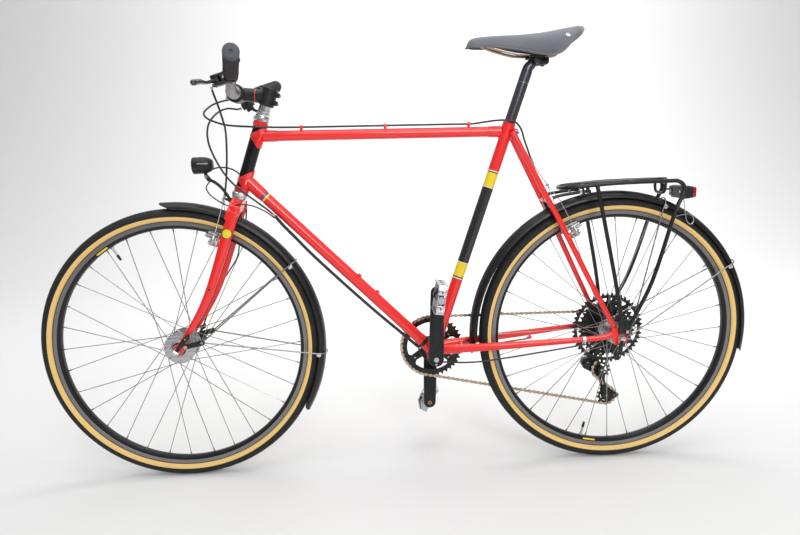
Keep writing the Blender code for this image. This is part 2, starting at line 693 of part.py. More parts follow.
def make_lever(side, word):
    """A brake lever, the body that it turns in and the body's clamp on the bar."""
    pivot = beside(LEVER_PIVOT, side)
    axis = beside(LEVER_AXIS, side)
    at_bar = bar_point(side, 0.1740)
    reach = (pivot - at_bar).normalized()
    item = turned(word + "_lever_body", at_bar - grip_dir(side) * 0.007, grip_dir(side),
                  [(0, 0.014, 0.0155)], 0, 12)
    block = box("block", at_bar + reach * ((pivot - at_bar).length / 2 + 0.005),
                ((pivot - at_bar).length + 0.010, 0.017, 0.0210), reach, axis)
    room = rod("room", pivot - axis * 0.0070, pivot + axis * 0.0070, 0.0115, 14)
    slit = box("slit", pivot + reach * 0.010, (0.022, 0.030, 0.0140), reach, axis)
    barrel = beside((-0.9510, 0.1590, 0.9690), side)
    adjuster = rod("adjuster", at_bar + reach * 0.018 + beside((0, -0.006, -0.003), side),
                   barrel, 0.0048, 6)
    join(item, block, adjuster)
    cut(item, room, slit)
    if side > 0:
        join(item, *shifter_body())
    cut(item, bar_room(side))
    join(item, rod("pin", pivot - axis * 0.0085, pivot + axis * 0.0085, 0.0025, 8))
    node(word + "_lever_body", item, BLACK, 0.4)

    blade_points = [LEVER_PIVOT, (-0.9470, 0.1930, 0.9738), (-0.9530, 0.2150, 0.9705),
                    (-0.9570, 0.2450, 0.9670), (-0.9605, 0.2800, 0.9620)]
    blade = tube("blade", [beside(point, side) for point in blade_points], 0.0055, 8,
                 [0.0052, 0.0055, 0.0058, 0.0055, 0.0050])
    lever = rod(word + "_brake_lever", pivot - axis * 0.0060, pivot + axis * 0.0060, 0.0080, 12)
    join(lever, blade, ball("knob", beside((-0.9608, 0.2830, 0.9615), side), 0.0066, 8))
    cut(lever, rod("bore", pivot - axis * 0.02, pivot + axis * 0.02, 0.0029, 8))
    node(word + "_brake_lever", lever, BLACK, 0.35)


SHIFT_PIVOT = Vector((-0.9290, 0.1180, 0.9500))


def shifter_body():
    """The gear shifter's clamp, its round case under the bar and the link to the lever body."""
    at_bar = bar_point(1, 0.134)
    clamp = rod("clamp", at_bar - grip_dir(1) * 0.006, at_bar + grip_dir(1) * 0.006, 0.0150, 12)
    case = rod("case", SHIFT_PIVOT - LEVER_AXIS * 0.0060, SHIFT_PIVOT + LEVER_AXIS * 0.0200,
               0.0165, 12)
    below = Vector((-0.0070, 0, -0.0125))
    link = rod("link", bar_point(1, 0.132) + below, bar_point(1, 0.172) + below, 0.0038, 6)
    neck = rod("neck", SHIFT_PIVOT + LEVER_AXIS * 0.0100, bar_point(1, 0.134) + below, 0.0060, 8)
    pin = rod("pin", SHIFT_PIVOT - LEVER_AXIS * 0.0150, SHIFT_PIVOT, 0.0030, 8)
    return clamp, case, neck, link, pin


def make_shift_lever():
    """The thumb paddle under the shifter's case."""
    low = SHIFT_PIVOT - LEVER_AXIS * 0.0105
    item = rod("shift_lever", low - LEVER_AXIS * 0.0040, low + LEVER_AXIS * 0.0040, 0.0100, 12)
    paddle = tube("paddle", [low, low + Vector((0.016, 0.020, -0.004)),
                             low + Vector((0.030, 0.034, -0.002))], 0.0040, 8,
                  [0.0038, 0.0038, 0.0055])
    join(item, paddle)
    cut(item, rod("bore", low - LEVER_AXIS * 0.01, low + LEVER_AXIS * 0.01, 0.0034, 8))
    node("shift_lever", item, BLACK, 0.4, pivot=low)


# Wheels: a corner of the rim's facets at each spoke's end
SPOKES = 32
WHEEL_STEPS = SPOKES


def make_tyre(name, axle):
    """A C-shaped casing whose beads sit inside the rim."""
    crown_r = WHEEL_R - TYRE_W / 2
    bead = RIM_W / 2 - 0.0018
    corner_r = TYRE_W / 2 / math.cos(math.radians(20))
    outer = [(crown_r + corner_r * math.cos(a), corner_r * math.sin(a))
             for a in (math.radians(degrees) for degrees in (118, 70, 20, -20, -70, -118))]
    inner = [(crown_r + (TYRE_W / 2 - 0.0032) * math.cos(a), (TYRE_W / 2 - 0.0032) * math.sin(a))
             for a in (math.radians(degrees) for degrees in (-95, 0, 95))]
    profile = [(RIM_R - 0.0080, bead), (RIM_R + 0.0010, bead)] + outer
    profile += [(RIM_R + 0.0010, -bead), (RIM_R - 0.0080, -bead),
                (RIM_R - 0.0080, -bead + 0.0026), (RIM_R + 0.0020, -bead + 0.0026)] + inner
    profile += [(RIM_R + 0.0020, bead - 0.0026), (RIM_R - 0.0080, bead - 0.0026)]
    item = spin(name, profile, toward(axle, ACROSS), WHEEL_STEPS)
    node(name, item, RUBBER, 0.8)


def make_rim(name, axle):
    """A channel section with the tyre's well in its outer side."""
    half = RIM_W / 2
    wall = half - 0.0015
    profile = [(RIM_R, wall), (0.3060, wall), (0.3060, -wall), (RIM_R, -wall), (RIM_R, -half),
               (0.3020, -half), (RIM_INNER_R, -0.0070), (RIM_INNER_R, 0.0070),
               (0.3020, half), (RIM_R, half)]
    item = spin(name, profile, toward(axle, ACROSS), WHEEL_STEPS)
    node(name, item, STEEL, 0.35, 1.0)


SPOKE_R = 0.0010
SPOKE_END_R = RIM_INNER_R - 0.0004


def spoke_routes(axle, flanges):
    """Three-cross lacing: pairs of points from each flange to the rim."""
    routes = []
    step = math.tau / (SPOKES // 2)
    for index, (flange_y, hole_r) in enumerate(flanges):
        side = 1 if flange_y > 0 else -1
        for k in range(SPOKES // 2):
            turn = 1 if k % 2 else -1
            start = step * k + index * step / 2
            end = start + turn * 3 * step
            y = flange_y + turn * 0.0012
            rim_y = side * 0.0030 + turn * 0.0012
            points = []
            for angle, radius, across in ((start, hole_r, y), (end, SPOKE_END_R, rim_y)):
                points.append(axle + Vector((radius * math.cos(angle), across,
                                             radius * math.sin(angle))))
            routes.append(points)
    return routes


def make_hubs():
    front = turned("front_hub", FRONT_AXLE, ACROSS,
                   [(-0.0440, -0.0284, 0.0140), (-0.0284, -0.0236, 0.0445),
                    (-0.0236, 0.0236, 0.0360), (0.0236, 0.0284, 0.0445),
                    (0.0284, 0.0440, 0.0140)], 0.0067, 16)
    join(front, bundle("spokes", spoke_routes(FRONT_AXLE, ((-0.026, 0.0405), (0.026, 0.0405))),
                       SPOKE_R))
    node("front_hub", front, SILVER, 0.3, 1.0)
    rear = turned("rear_hub", REAR_AXLE, ACROSS,
                  [(-0.0560, -0.0354, 0.0120), (-0.0354, -0.0306, 0.0260),
                   (-0.0306, 0.0171, 0.0155), (0.0171, 0.0219, 0.0260)], 0.0067, 16)
    join(rear, bundle("spokes", spoke_routes(REAR_AXLE, ((-0.033, 0.0225), (0.0195, 0.0225))),
                      SPOKE_R))
    node("rear_hub", rear, SILVER, 0.3, 1.0)


def make_axle(name, axle, spacing, out, left_in, right_in):
    """Axle, locknuts, the skewer's nut on the right and its washer on the left."""
    half = spacing / 2
    item = turned(name, axle, ACROSS,
                  [(-out - 0.0036, -out - GAP, 0.0085), (-out - GAP, -half, 0.0046),
                   (-half, left_in, 0.0090), (left_in, right_in, 0.0062),
                   (right_in, half, 0.0090), (half, out + GAP, 0.0046),
                   (out + GAP, out + 0.0120, 0.0090)], 0, 12)
    node(name, item, STEEL, 0.35, 1.0)


def make_lever_cam(name, axle, y, pointing, length):
    """A quick-release lever on its cam, which lies across the skewer's end."""
    pointing = Vector(pointing).normalized()
    hinge = pointing.cross(ACROSS).normalized()
    centre = axle + ACROSS * y
    item = rod(name, centre - hinge * 0.0065, centre + hinge * 0.0065, 0.0058, 12)
    points = [centre, centre + pointing * length * 0.35 - ACROSS * 0.0030,
              centre + pointing * length * 0.7 - ACROSS * 0.0035, centre + pointing * length]
    arm = tube("arm", points, 0.0050, 6, [0.0048, 0.0045, 0.0052, 0.0048])
    join(item, arm)
    node(name, item, SILVER if "front" in name else BLACK, 0.35, 0.8)


# Drivetrain
GEARS = (11, 13, 15, 17, 19, 21, 24, 28, 32, 37, 46)
GEAR_STEP = 0.0037
GEAR_HALF = 0.0009
GEAR_IN_USE = 21
CHAIN_HALF = 0.0024
CHAIN_DEEP = 0.0042
CHAINRING_TEETH = 40
PULLEY_TEETH = 12
GUIDE_AT = Vector((-0.0060, CHAIN_Y, 0.2270))
TENSION_AT = Vector((0.0105, CHAIN_Y, 0.1530))
KNUCKLE_AT = Vector((-0.0400, 0.0600, 0.2420))
HANGER_AT = REAR_AXLE + Vector((0.0115, 0, -0.0300))


def make_cassette():
    """Eleven sprockets, the largest inside, with bare rings beside the one in use."""
    in_use = GEARS.index(GEAR_IN_USE)
    floor = pitch_radius(GEAR_IN_USE) - CHAIN_DEEP - 0.0008
    steps_up = []
    for index in reversed(range(len(GEARS))):
        low = CHAIN_Y + (in_use - index) * GEAR_STEP - GEAR_HALF
        high = low + GEAR_STEP
        radius = pitch_radius(GEARS[index]) + 0.0030
        if index in (in_use, in_use + 1, 0):
            high = low + 2 * GEAR_HALF
        steps_up.append((low, high, radius))
        if index in (in_use, in_use + 1):
            steps_up.append((high, low + GEAR_STEP, floor))
    item = turned("cassette", REAR_AXLE, ACROSS, steps_up, 0.0067, 16)
    node("cassette", item, BLACK, 0.5, 0.5)


def toothed(teeth, root_drop, tip_rise):
    """The outline of a toothed wheel, from root to tip and back."""
    radius = pitch_radius(teeth)
    half = math.pi / teeth
    outline = []
    for k in range(teeth):
        middle = math.tau * k / teeth
        for offset, r in ((-half, radius - root_drop), (0, radius + tip_rise)):
            outline.append((r * math.cos(middle + offset), r * math.sin(middle + offset)))
    return outline


def make_chainring():
    hole = []
    for k in range(24):
        angle = math.tau * k / 24
        near_bolt = abs(math.degrees(angle) % 90 - 45) < 8
        radius = 0.0490 if near_bolt else 0.0600
        hole.append((radius * math.cos(angle), radius * math.sin(angle)))
    item = side_plate("chainring", toothed(CHAINRING_TEETH, 0.0040, 0.0030), 0.0020,
                      CHAIN_Y, BB, [hole])
    node("chainring", item, BLACK, 0.4, 0.4, pivot=(BB.x, CHAIN_Y, BB.z))


ARM_IN = 0.0680
ARM_OUT = 0.0800
PEDAL_AXLE_R = 0.0060


def crank_end(side):
    """The pedal end of a crank: left up, right down."""
    tilt = CRANK_TILT
    up = -side
    return BB + Vector((math.sin(tilt) * up, 0, math.cos(tilt) * up)) * CRANK_LENGTH


def make_cranks():
    for name, side in (("left_crank", -1), ("right_crank", 1)):
        end = crank_end(side)
        outline = capsule((0, 0), (end.x - BB.x, end.z - BB.z), 0.0180, 0.0150)
        item = side_plate(name, outline, ARM_OUT - ARM_IN, side * (ARM_IN + ARM_OUT) / 2, BB)
        boss = rod("boss", BB + ACROSS * side * 0.0460, BB + ACROSS * side * 0.0740, 0.0172, 16)
        spindle = rod("pedal spindle", end + ACROSS * side * 0.0740, end + ACROSS * side * 0.1660,
                      PEDAL_AXLE_R, 12)
        join(item, boss, spindle)
        if side > 0:
            for k in range(4):
                angle = math.pi / 4 + math.pi / 2 * k
                tip = (0.0545 * math.cos(angle), 0.0545 * math.sin(angle))
                arm = side_plate("spider", capsule((0, 0), tip, 0.0110, 0.0075, 4), 0.0045,
                                 CHAIN_Y + 0.0010 + GAP + 0.00225, BB)
                join(item, arm)
            join(item, rod("hub", BB + ACROSS * 0.0440, BB + ACROSS * 0.0590, 0.0166, 16))
            join(item, rod("spindle", BB - ACROSS * 0.0780, BB + ACROSS * 0.0600, SPINDLE_R, 16))
        else:
            cut(item, rod("bore", BB - ACROSS * 0.0950, BB - ACROSS * 0.02, SPINDLE_R + GAP, 16))
        node(name, item, BLACK, 0.4, 0.2, pivot=(BB.x, side * 0.0740, BB.z))


def make_pedal(name, side, turn):
    """A cage pedal: a ring of flat plates and a body that turns on the crank's spindle."""
    end = crank_end(side)
    centre = end + ACROSS * side * 0.1270
    along = Vector((math.sin(turn), 0, math.cos(turn)))
    outer = [(-0.0360, -0.0430), (0.0360, -0.0430), (0.0360, 0.0330), (0.0250, 0.0410),
             (-0.0250, 0.0410), (-0.0360, 0.0330)]
    inner = [(-0.0320, -0.0390), (0.0320, -0.0390), (0.0320, 0.0315), (0.0235, 0.0370),
             (-0.0235, 0.0370), (-0.0320, 0.0315)]
    item = plate(name, outer, 0.0240, basis(along, ACROSS * side, along.cross(ACROSS * side),
                                            centre), [inner])
    body = turned("body", centre, ACROSS * side,
                  [(-0.0448, -0.0210, 0.0122), (-0.0210, 0.0388, 0.0096)], 0, 12)
    join(item, body)
    cut(item, rod("bore", end + ACROSS * side * 0.0805, end + ACROSS * side * 0.1664,
                  PEDAL_AXLE_R + GAP, 12))
    node(name, item, SILVER, 0.35, 1.0, pivot=centre)


def belt(circles):
    """Tangent points and arcs of a belt round circles, each (x, z, radius, turn)."""
    count = len(circles)
    spans = []
    for first, second in zip(circles, circles[1:] + circles[:1]):
        start = Vector(first[:2])
        line = Vector(second[:2]) - start
        lean = math.asin((first[3] * first[2] - second[3] * second[2]) / line.length)
        heading = math.atan2(line.y, line.x) - lean
        normal = Vector((-math.sin(heading), math.cos(heading)))
        spans.append((start + normal * first[3] * first[2],
                      Vector(second[:2]) + normal * second[3] * second[2]))
    route = []
    for index in range(count):
        x, z, radius, turn = circles[index]
        arrive = spans[index - 1][1] - Vector((x, z))
        leave = spans[index][0] - Vector((x, z))
        first = math.atan2(arrive.y, arrive.x)
        sweep = (first - math.atan2(leave.y, leave.x)) * turn % math.tau
        parts = max(2, round(sweep * radius / 0.013))
        for part in range(parts + 1):
            angle = first - turn * sweep * part / parts
            route.append((x + radius * math.cos(angle), z + radius * math.sin(angle)))
    return route


def chain_loop(offset):
    """The chain's path, moved outward by an offset."""
    ring = pitch_radius(CHAINRING_TEETH)
    gear = pitch_radius(GEAR_IN_USE)
    pulley = pitch_radius(PULLEY_TEETH)
    return belt([(BB.x, BB.z, ring + offset, 1), (0, WHEEL_R, gear + offset, 1),
                 (GUIDE_AT.x, GUIDE_AT.z, pulley - offset, -1),
                 (TENSION_AT.x, TENSION_AT.z, pulley + offset, 1)])


def make_chain():
    item = side_plate("chain", chain_loop(CHAIN_DEEP), CHAIN_HALF * 2, CHAIN_Y, (0, 0, 0),
                      [chain_loop(-CHAIN_DEEP)])
    for centre, teeth in ((BB, CHAINRING_TEETH), (REAR_AXLE, GEAR_IN_USE),
                          (GUIDE_AT, PULLEY_TEETH), (TENSION_AT, PULLEY_TEETH)):
        middle = Vector((centre.x, CHAIN_Y, centre.z))
        cut(item, rod("teeth", middle - ACROSS * 0.0013, middle + ACROSS * 0.0013,
                      pitch_radius(teeth) + 0.0037, 8 + 4 * (teeth // 7)))
    node("chain", item, CHAIN_BROWN, 0.4, 0.9)


def make_derailleur():
    bolt = HANGER_AT
    out = DROPOUT_OUT + GAP
    item = turned("derailleur_knuckle", bolt, ACROSS,
                  [(out, out + 0.0120, 0.0105)], 0, 12)
    ear = box("ear", bolt + Vector((-0.0100, out + 0.0060, -0.0110)), (0.012, 0.010, 0.012))
    join(item, ear)
    node("derailleur_knuckle", item, BLACK, 0.4, 0.3)

    hinge = derailleur_hinge()
    link_axis = derailleur_axis()
    arm = rod("derailleur_arm", hinge - link_axis * 0.0070, hinge + link_axis * 0.0070,
              0.0060, 10)
    body = rod("body", KNUCKLE_AT - ACROSS * 0.0090, KNUCKLE_AT + ACROSS * 0.0110, 0.0150, 16)
    strap = tube("strap", [hinge, hinge.lerp(KNUCKLE_AT, 0.35) + ACROSS * 0.004,
                           hinge.lerp(KNUCKLE_AT, 0.7) + ACROSS * 0.003, KNUCKLE_AT],
                 0.0085, 8, [0.0060, 0.0095, 0.0100, 0.0090])
    join(arm, strap, body)
    cut(arm, rod("bore", KNUCKLE_AT - ACROSS * 0.03, KNUCKLE_AT + ACROSS * 0.0060, 0.0053, 12))
    node("derailleur_arm", arm, BLACK, 0.4, 0.3)

    outer = [(-0.0470, 0.0150), (-0.0480, 0.0050), (-0.0300, -0.0120), (-0.0080, -0.0560),
             (-0.0030, -0.0860), (0.0150, -0.0900), (0.0480, -0.0790), (0.0500, -0.0700),
             (0.0300, -0.0620), (0.0180, -0.0450), (0.0140, 0.0060), (0.0040, 0.0150),
             (-0.0150, 0.0140), (-0.0300, 0.0240)]
    inner = [(-0.0130, 0.0100), (-0.0140, -0.0100), (-0.0060, -0.0560), (0.0000, -0.0860),
             (0.0150, -0.0890), (0.0290, -0.0800), (0.0280, -0.0660), (0.0170, -0.0450),
             (0.0130, 0.0060), (0.0030, 0.0140)]
    cage = side_plate("derailleur_cage", outer, 0.0015, CHAIN_Y + 0.0052, GUIDE_AT)
    join(cage, side_plate("inner", inner, 0.0015, CHAIN_Y - 0.0052, GUIDE_AT))
    for centre in (GUIDE_AT, TENSION_AT):
        join(cage, rod("bolt", centre - ACROSS * 0.0056, centre + ACROSS * 0.0056, 0.0030, 8))
    join(cage, rod("pivot", (KNUCKLE_AT.x, CHAIN_Y + 0.0050, KNUCKLE_AT.z),
                   (KNUCKLE_AT.x, KNUCKLE_AT.y + 0.0050, KNUCKLE_AT.z), 0.0050, 12))
    node("derailleur_cage", cage, BLACK, 0.4, 0.3, pivot=KNUCKLE_AT)

    for name, centre in (("guide_pulley", GUIDE_AT), ("tension_pulley", TENSION_AT)):
        wheel = turned(name, centre, ACROSS, [(-0.0038, 0.0038, 0.0075)], 0.0034, 8)
        join(wheel, side_plate("teeth", toothed(PULLEY_TEETH, 0.0042, 0.0028), 0.0019,
                               CHAIN_Y, centre, [circle(0.0054, 8)]))
        node(name, wheel, BLACK, 0.5)


def derailleur_hinge():
    return HANGER_AT + Vector((-0.0170, DROPOUT_OUT + 0.0050, -0.0250))


def derailleur_axis():
    """The arm's swing axis, square to the arm and to the wheel's axle."""
    return (KNUCKLE_AT - derailleur_hinge()).cross(ACROSS).normalized()


# Mudguards and their wire stays
FRONT_ARCH = (FRONT_AXLE, 0.3662, math.radians(94), math.radians(-30), 0.0470)
REAR_ARCH = (Vector((-0.0080, 0, 0.3530)), 0.3700, math.radians(190), math.radians(-10), 0.0460)
ARCH_DROP = 0.0120
SHEET = 0.0015
WIRE_R = 0.0018


def arch_point(arch, angle, around, lift=0.0):
    """A point on the outside of a mudguard: an angle along it, another across it."""
    centre, radius, first, last, width = arch
    r = radius + lift - (ARCH_DROP + lift) * (1 - math.cos(around))
    y = (width / 2 + lift) * math.sin(around)
    return centre + Vector((r * math.cos(angle), y, r * math.sin(angle)))


def mudguard(name, arch):
    """A curved section swept round the wheel, as sheet."""
    centre, radius, first, last, width = arch
    profile = []
    for k in range(5):
        around = -math.pi / 2 + math.pi * k / 4
        profile.append((radius - SHEET / 2 - ARCH_DROP * (1 - math.cos(around)),
                        width / 2 * math.sin(around)))
    matrix = basis((math.cos(last), 0, math.sin(last)), (-math.sin(last), 0, math.cos(last)),
                   (0, -1, 0), centre)
    sweep = first - last
    item = spin(name, profile, matrix, round(sweep / math.radians(8.5)), sweep, ring=False)
    sheet = item.modifiers.new("sheet", "SOLIDIFY")
    sheet.thickness = SHEET
    sheet.offset = 0
    return item


def stay_wire(arch, angle, start):
    """A wire from one eye, over the mudguard and back to the other side's eye."""
    lift = WIRE_R + 0.0013
    low = arch_point(arch, angle, -math.pi / 2, lift)
    centre = arch[0]
    radial = Vector((math.cos(angle), 0, math.sin(angle)))
    side = [start, low - radial * 0.012]
    over = [arch_point(arch, angle, -math.pi / 2 + math.pi * k / 6, lift) for k in range(7)]
    return side + over + mirrored(reversed(side))


def make_mudguards():
    front = mudguard("front_fender", FRONT_ARCH)
    tab = box("tab", steer(0.3664, 0.0010), (0.024, 0.018, 0.0055), STEER_AHEAD, STEER_UP)
    join(front, tab)
    node("front_fender", front, BLACK, 0.35)
    rear = mudguard("rear_fender", REAR_ARCH)
    hook = box("hook", (-0.1788, 0, 0.6848), (0.012, 0.016, 0.0120), (0.895, 0, 0.446),
               (-0.446, 0, 0.895))
    lug = box("lug", (-0.3825, 0, 0.3232), (0.0130, 0.014, 0.010))
    join(rear, hook, lug)
    node("rear_fender", rear, BLACK, 0.35)

    link_start = FRONT_AXLE + Vector((0.0240, 0, 0.0120))
    link_end = FRONT_AXLE + Vector((0.0640, 0, 0.0210))
    y = FORK_Y + 0.0025 + GAP + 0.0020
    base = None
    for side in (-1, 1):
        outline = capsule((0, 0), (link_end.x - link_start.x, link_end.z - link_start.z),
                          0.0060, 0.0070)
        link = side_plate("link", outline, 0.0040, side * y, link_start)
        bolt = rod("bolt", link_start + ACROSS * side * y, link_start + ACROSS * side * (y + 0.0055),
                   0.0045, 8)
        if base is None:
            base = link
            join(base, bolt)
        else:
            join(base, link, bolt)
    for angle in (35.5, -4.5):
        start = link_end - ACROSS * y
        join(base, tube("wire", stay_wire(FRONT_ARCH, math.radians(angle), start), WIRE_R, 6))
    node("front_fender_stays", base, SILVER, 0.3, 1.0)

    y = DROPOUT_OUT + GAP + 0.0020
    eye = REAR_AXLE + FENDER_EYE
    base = None
    for side in (-1, 1):
        ring = rod("eye", eye + ACROSS * side * (y - 0.0020), eye + ACROSS * side * (y + 0.0045),
                   0.0055, 8)
        if base is None:
            base = ring
        else:
            join(base, ring)
    for angle in (69.0, 29.0):
        start = eye - ACROSS * (y + 0.0020)
        join(base, tube("wire", stay_wire(REAR_ARCH, math.radians(angle), start), WIRE_R, 6))
    node("rear_fender_stays", base, SILVER, 0.3, 1.0)


# Rack and lights
RACK_R = 0.0050
RACK_FOOT = REAR_AXLE + RACK_EYE


def make_rack():
    """Two rails joined at the front tip, bent down at the back into the rear legs."""
    foot_y = DROPOUT_OUT + GAP + RACK_R + 0.0002
    half = [(-0.1445, 0.0000, 0.7247), (-0.1430, 0.0160, 0.7250), (-0.1370, 0.0330, 0.7262),
            (-0.1210, 0.0450, 0.7282), (-0.0950, 0.0500, 0.7305), (-0.0106, 0.0550, 0.7361),
            (0.1150, 0.0560, 0.7385), (0.1340, 0.0565, 0.7370), (0.1455, 0.0575, 0.7290),
            (0.1482, 0.0590, 0.7153), (0.1430, 0.0610, 0.7000), (0.1241, 0.0640, 0.6560),
            (0.0749, 0.0700, 0.4945), (0.0250, 0.0755, 0.3930),
            (RACK_FOOT.x, foot_y, RACK_FOOT.z)]
    half = [Vector(point) for point in half]
    route = mirrored(half[:0:-1]) + half
    item = tube("rack", route, RACK_R, 6)
    for side in (-1, 1):
        front_leg = [(-0.0690, side * 0.0520, 0.7320), (-0.0640, side * 0.0600, 0.7100),
                     (-0.0197, side * 0.0680, 0.4997), (-0.0005, side * 0.0758, 0.3900),
                     (RACK_FOOT.x, side * foot_y, RACK_FOOT.z)]
        strut = [(-0.0850, side * 0.0440, 0.7170), (-0.1000, side * 0.0450, 0.7160),
                 (-0.1500, side * 0.0460, 0.7095), (-0.1780, side * 0.0450, 0.7020)]
        post = rod("post", (-0.0880, side * 0.0480, 0.7310), (-0.0880, side * 0.0450, 0.7160),
                   0.0045, 6)
        foot = rod("foot", RACK_FOOT + ACROSS * side * (DROPOUT_OUT + GAP),
                   RACK_FOOT + ACROSS * side * (foot_y + 0.0060), 0.0070, 8)
        stay_room = seat_stay("space", side, 0.0004)
        strut_tube = cut(tube("strut", strut, 0.0042, 6), stay_room)
        join(item, tube("front leg", front_leg, RACK_R, 6), post, foot, strut_tube)
    for x, y, z in ((-0.0950, 0.0500, 0.7305), (0.0300, 0.0555, 0.7370), (0.1150, 0.0560, 0.7385)):
        join(item, rod("bar", (x, -y, z), (x, y, z), 0.0045, 6))
    strip = box("strip", (0.0100, 0, 0.7390), (0.230, 0.030, 0.0050), (1, 0, 0.038),
                (-0.038, 0, 1))
    hoop = [Vector((0.1150, side * y, z)) for side, y, z in
            ((-1, 0.030, 0.7375), (-1, 0.027, 0.7160), (-1, 0.016, 0.7080), (1, 0.016, 0.7080),
             (1, 0.027, 0.7160), (1, 0.030, 0.7375))]
    lamp_plate = box("lamp plate", (0.1585, 0, 0.7100), (0.0030, 0.0900, 0.0320))
    brackets = [box("bracket", (0.1540, side * 0.0480, 0.7130), (0.0120, 0.0240, 0.0040))
                for side in (-1, 1)]
    join(item, strip, tube("hoop", hoop, 0.0035, 6), lamp_plate, *brackets)
    node("rack", item, BLACK, 0.4)


def make_tail_light():
    item = box("tail_light", (0.1780, 0, 0.7080), (0.0350, 0.0920, 0.0320))
    edge = item.modifiers.new("edge", "BEVEL")
    edge.width = 0.0040
    edge.segments = 2
    edge.limit_method = "ANGLE"
    lens = box("lens", (0.1965, 0, 0.7080), (0.0060, 0.0800, 0.0240))
    join(item, lens)
    node("tail_light", item, LAMP_RED, 0.25)


LAMP_HINGE = Vector((-1.0190, 0, 0.7732))
LAMP_CENTRE = Vector((-1.0270, 0, 0.8004))


def make_headlight():
    """Lamp on a stalk from the fork crown, with the brake cable's hanger beside it."""
    base = steer(0.3900, 0.0140 + GAP)
    item = box("headlight_bracket", base + STEER_AHEAD * 0.0025, (0.0050, 0.020, 0.020),
               STEER_AHEAD, STEER_UP)
    stalk = [base + STEER_AHEAD * 0.0045 + STEER_UP * 0.002, Vector((-0.9780, 0.0080, 0.7330)),
             Vector((-0.9899, 0.0085, 0.7480)), Vector((-1.0030, 0.0050, 0.7595)),
             Vector((-1.0120, 0.0000, 0.7648))]
    join(item, tube("stalk", smooth_route(stalk), 0.0038, 6))
    down = Vector((0.60, 0, -0.80)).normalized()
    ears = [box("ear", LAMP_HINGE + ACROSS * side * 0.0058 + down * 0.0045,
                (0.0160, 0.0028, 0.0090), down, down.cross(ACROSS)) for side in (-1, 1)]
    yoke = box("yoke", LAMP_HINGE + down * 0.0105, (0.0040, 0.0136, 0.0084), down,
               down.cross(ACROSS))
    pin = rod("pin", LAMP_HINGE - ACROSS * 0.0064, LAMP_HINGE + ACROSS * 0.0064, 0.0020, 8)
    join(item, yoke, *ears, pin)
    hanger_arm = tube("hanger", [base + STEER_AHEAD * 0.0040 - ACROSS * 0.0045,
                                 Vector((-0.9720, -0.0030, 0.7160)),
                                 Vector((-0.9765, -0.0010, 0.7175))], 0.0030, 6)
    ring = turned("ring", (-0.9812, 0, 0.7160), (0.15, 0, 1), [(0, 0.0030, 0.0060)], 0.0017, 8)
    join(item, hanger_arm, ring)
    node("headlight_bracket", item, BLACK, 0.4)

    beam = Vector((-1, 0, -0.03)).normalized()
    lamp = turned("headlight", LAMP_CENTRE - beam * 0.0250, beam,
                  [(0, 0.0060, 0.0120), (0.0060, 0.0160, 0.0175), (0.0160, 0.0460, 0.0203),
                   (0.0460, 0.0500, 0.0190)], 0, 16)
    lug = rod("lug", LAMP_HINGE - ACROSS * 0.0040, LAMP_HINGE + ACROSS * 0.0040, 0.0050, 8)
    neck = box("neck", LAMP_HINGE.lerp(LAMP_CENTRE, 0.35) + Vector((0.001, 0, 0)),
               (0.0070, 0.0074, 0.0160))
    join(lamp, lug, neck)
    cut(lamp, rod("bore", LAMP_HINGE - ACROSS * 0.006, LAMP_HINGE + ACROSS * 0.006, 0.0024, 8))
    node("headlight", lamp, BLACK, 0.3)


# Saddle and seatpost
RAIL_R = 0.0035
RAIL_Z = 1.0460
RAIL_Y = 0.0215
CLAMP_AT = Vector((-0.2110, 0, RAIL_Z))


def make_seatpost():
    top = seat(POST_TOP)
    item = rod("seatpost", seat(POST_BOTTOM), top, POST_R, 16)
    neck = tube("neck", [seat(POST_TOP - 0.010), top, Vector((-0.2190, 0, 1.0300)),
                         Vector((-0.2120, 0, 1.0350))], 0.0125, 8, [0.0125, 0.0125, 0.0120, 0.0110])
    yoke = rod("yoke", (CLAMP_AT.x, -0.0265, 1.0325), (CLAMP_AT.x, 0.0265, 1.0325), 0.0086, 12)
    join(item, neck, yoke)
    for side in (-1, 1):
        jaw = box("jaw", CLAMP_AT + ACROSS * side * RAIL_Y, (0.0380, 0.0120, 0.0150))
        cut(jaw, rod("groove", CLAMP_AT + Vector((-0.03, side * RAIL_Y, 0)),
                     CLAMP_AT + Vector((0.03, side * RAIL_Y, 0)), RAIL_R + GAP, 8))
        join(item, jaw)
    node("seatpost", item, BLACK, 0.4)


def saddle_line(x, table):
    """A value between the two stations of a table that x lies between."""
    for (x0, v0), (x1, v1) in zip(table, table[1:]):
        if x <= x1:
            return v0 + (v1 - v0) * (x - x0) / (x1 - x0)
    return table[-1][1]


SADDLE_TOP = [(-0.3789, 1.0790), (-0.3690, 1.0865), (-0.3300, 1.0925), (-0.2480, 1.0965),
              (-0.1900, 1.1000), (-0.1300, 1.1090), (-0.0955, 1.1120)]
SADDLE_HALF = [(-0.3789, 0.0120), (-0.3690, 0.0190), (-0.3300, 0.0215), (-0.2600, 0.0310),
               (-0.2000, 0.0520), (-0.1500, 0.0740), (-0.1200, 0.0775), (-0.0955, 0.0600)]
SADDLE_SKIRT = [(-0.3789, 0.0140), (-0.3690, 0.0240), (-0.3300, 0.0300), (-0.2600, 0.0420),
                (-0.1965, 0.0540), (-0.1400, 0.0420), (-0.0955, 0.0240)]


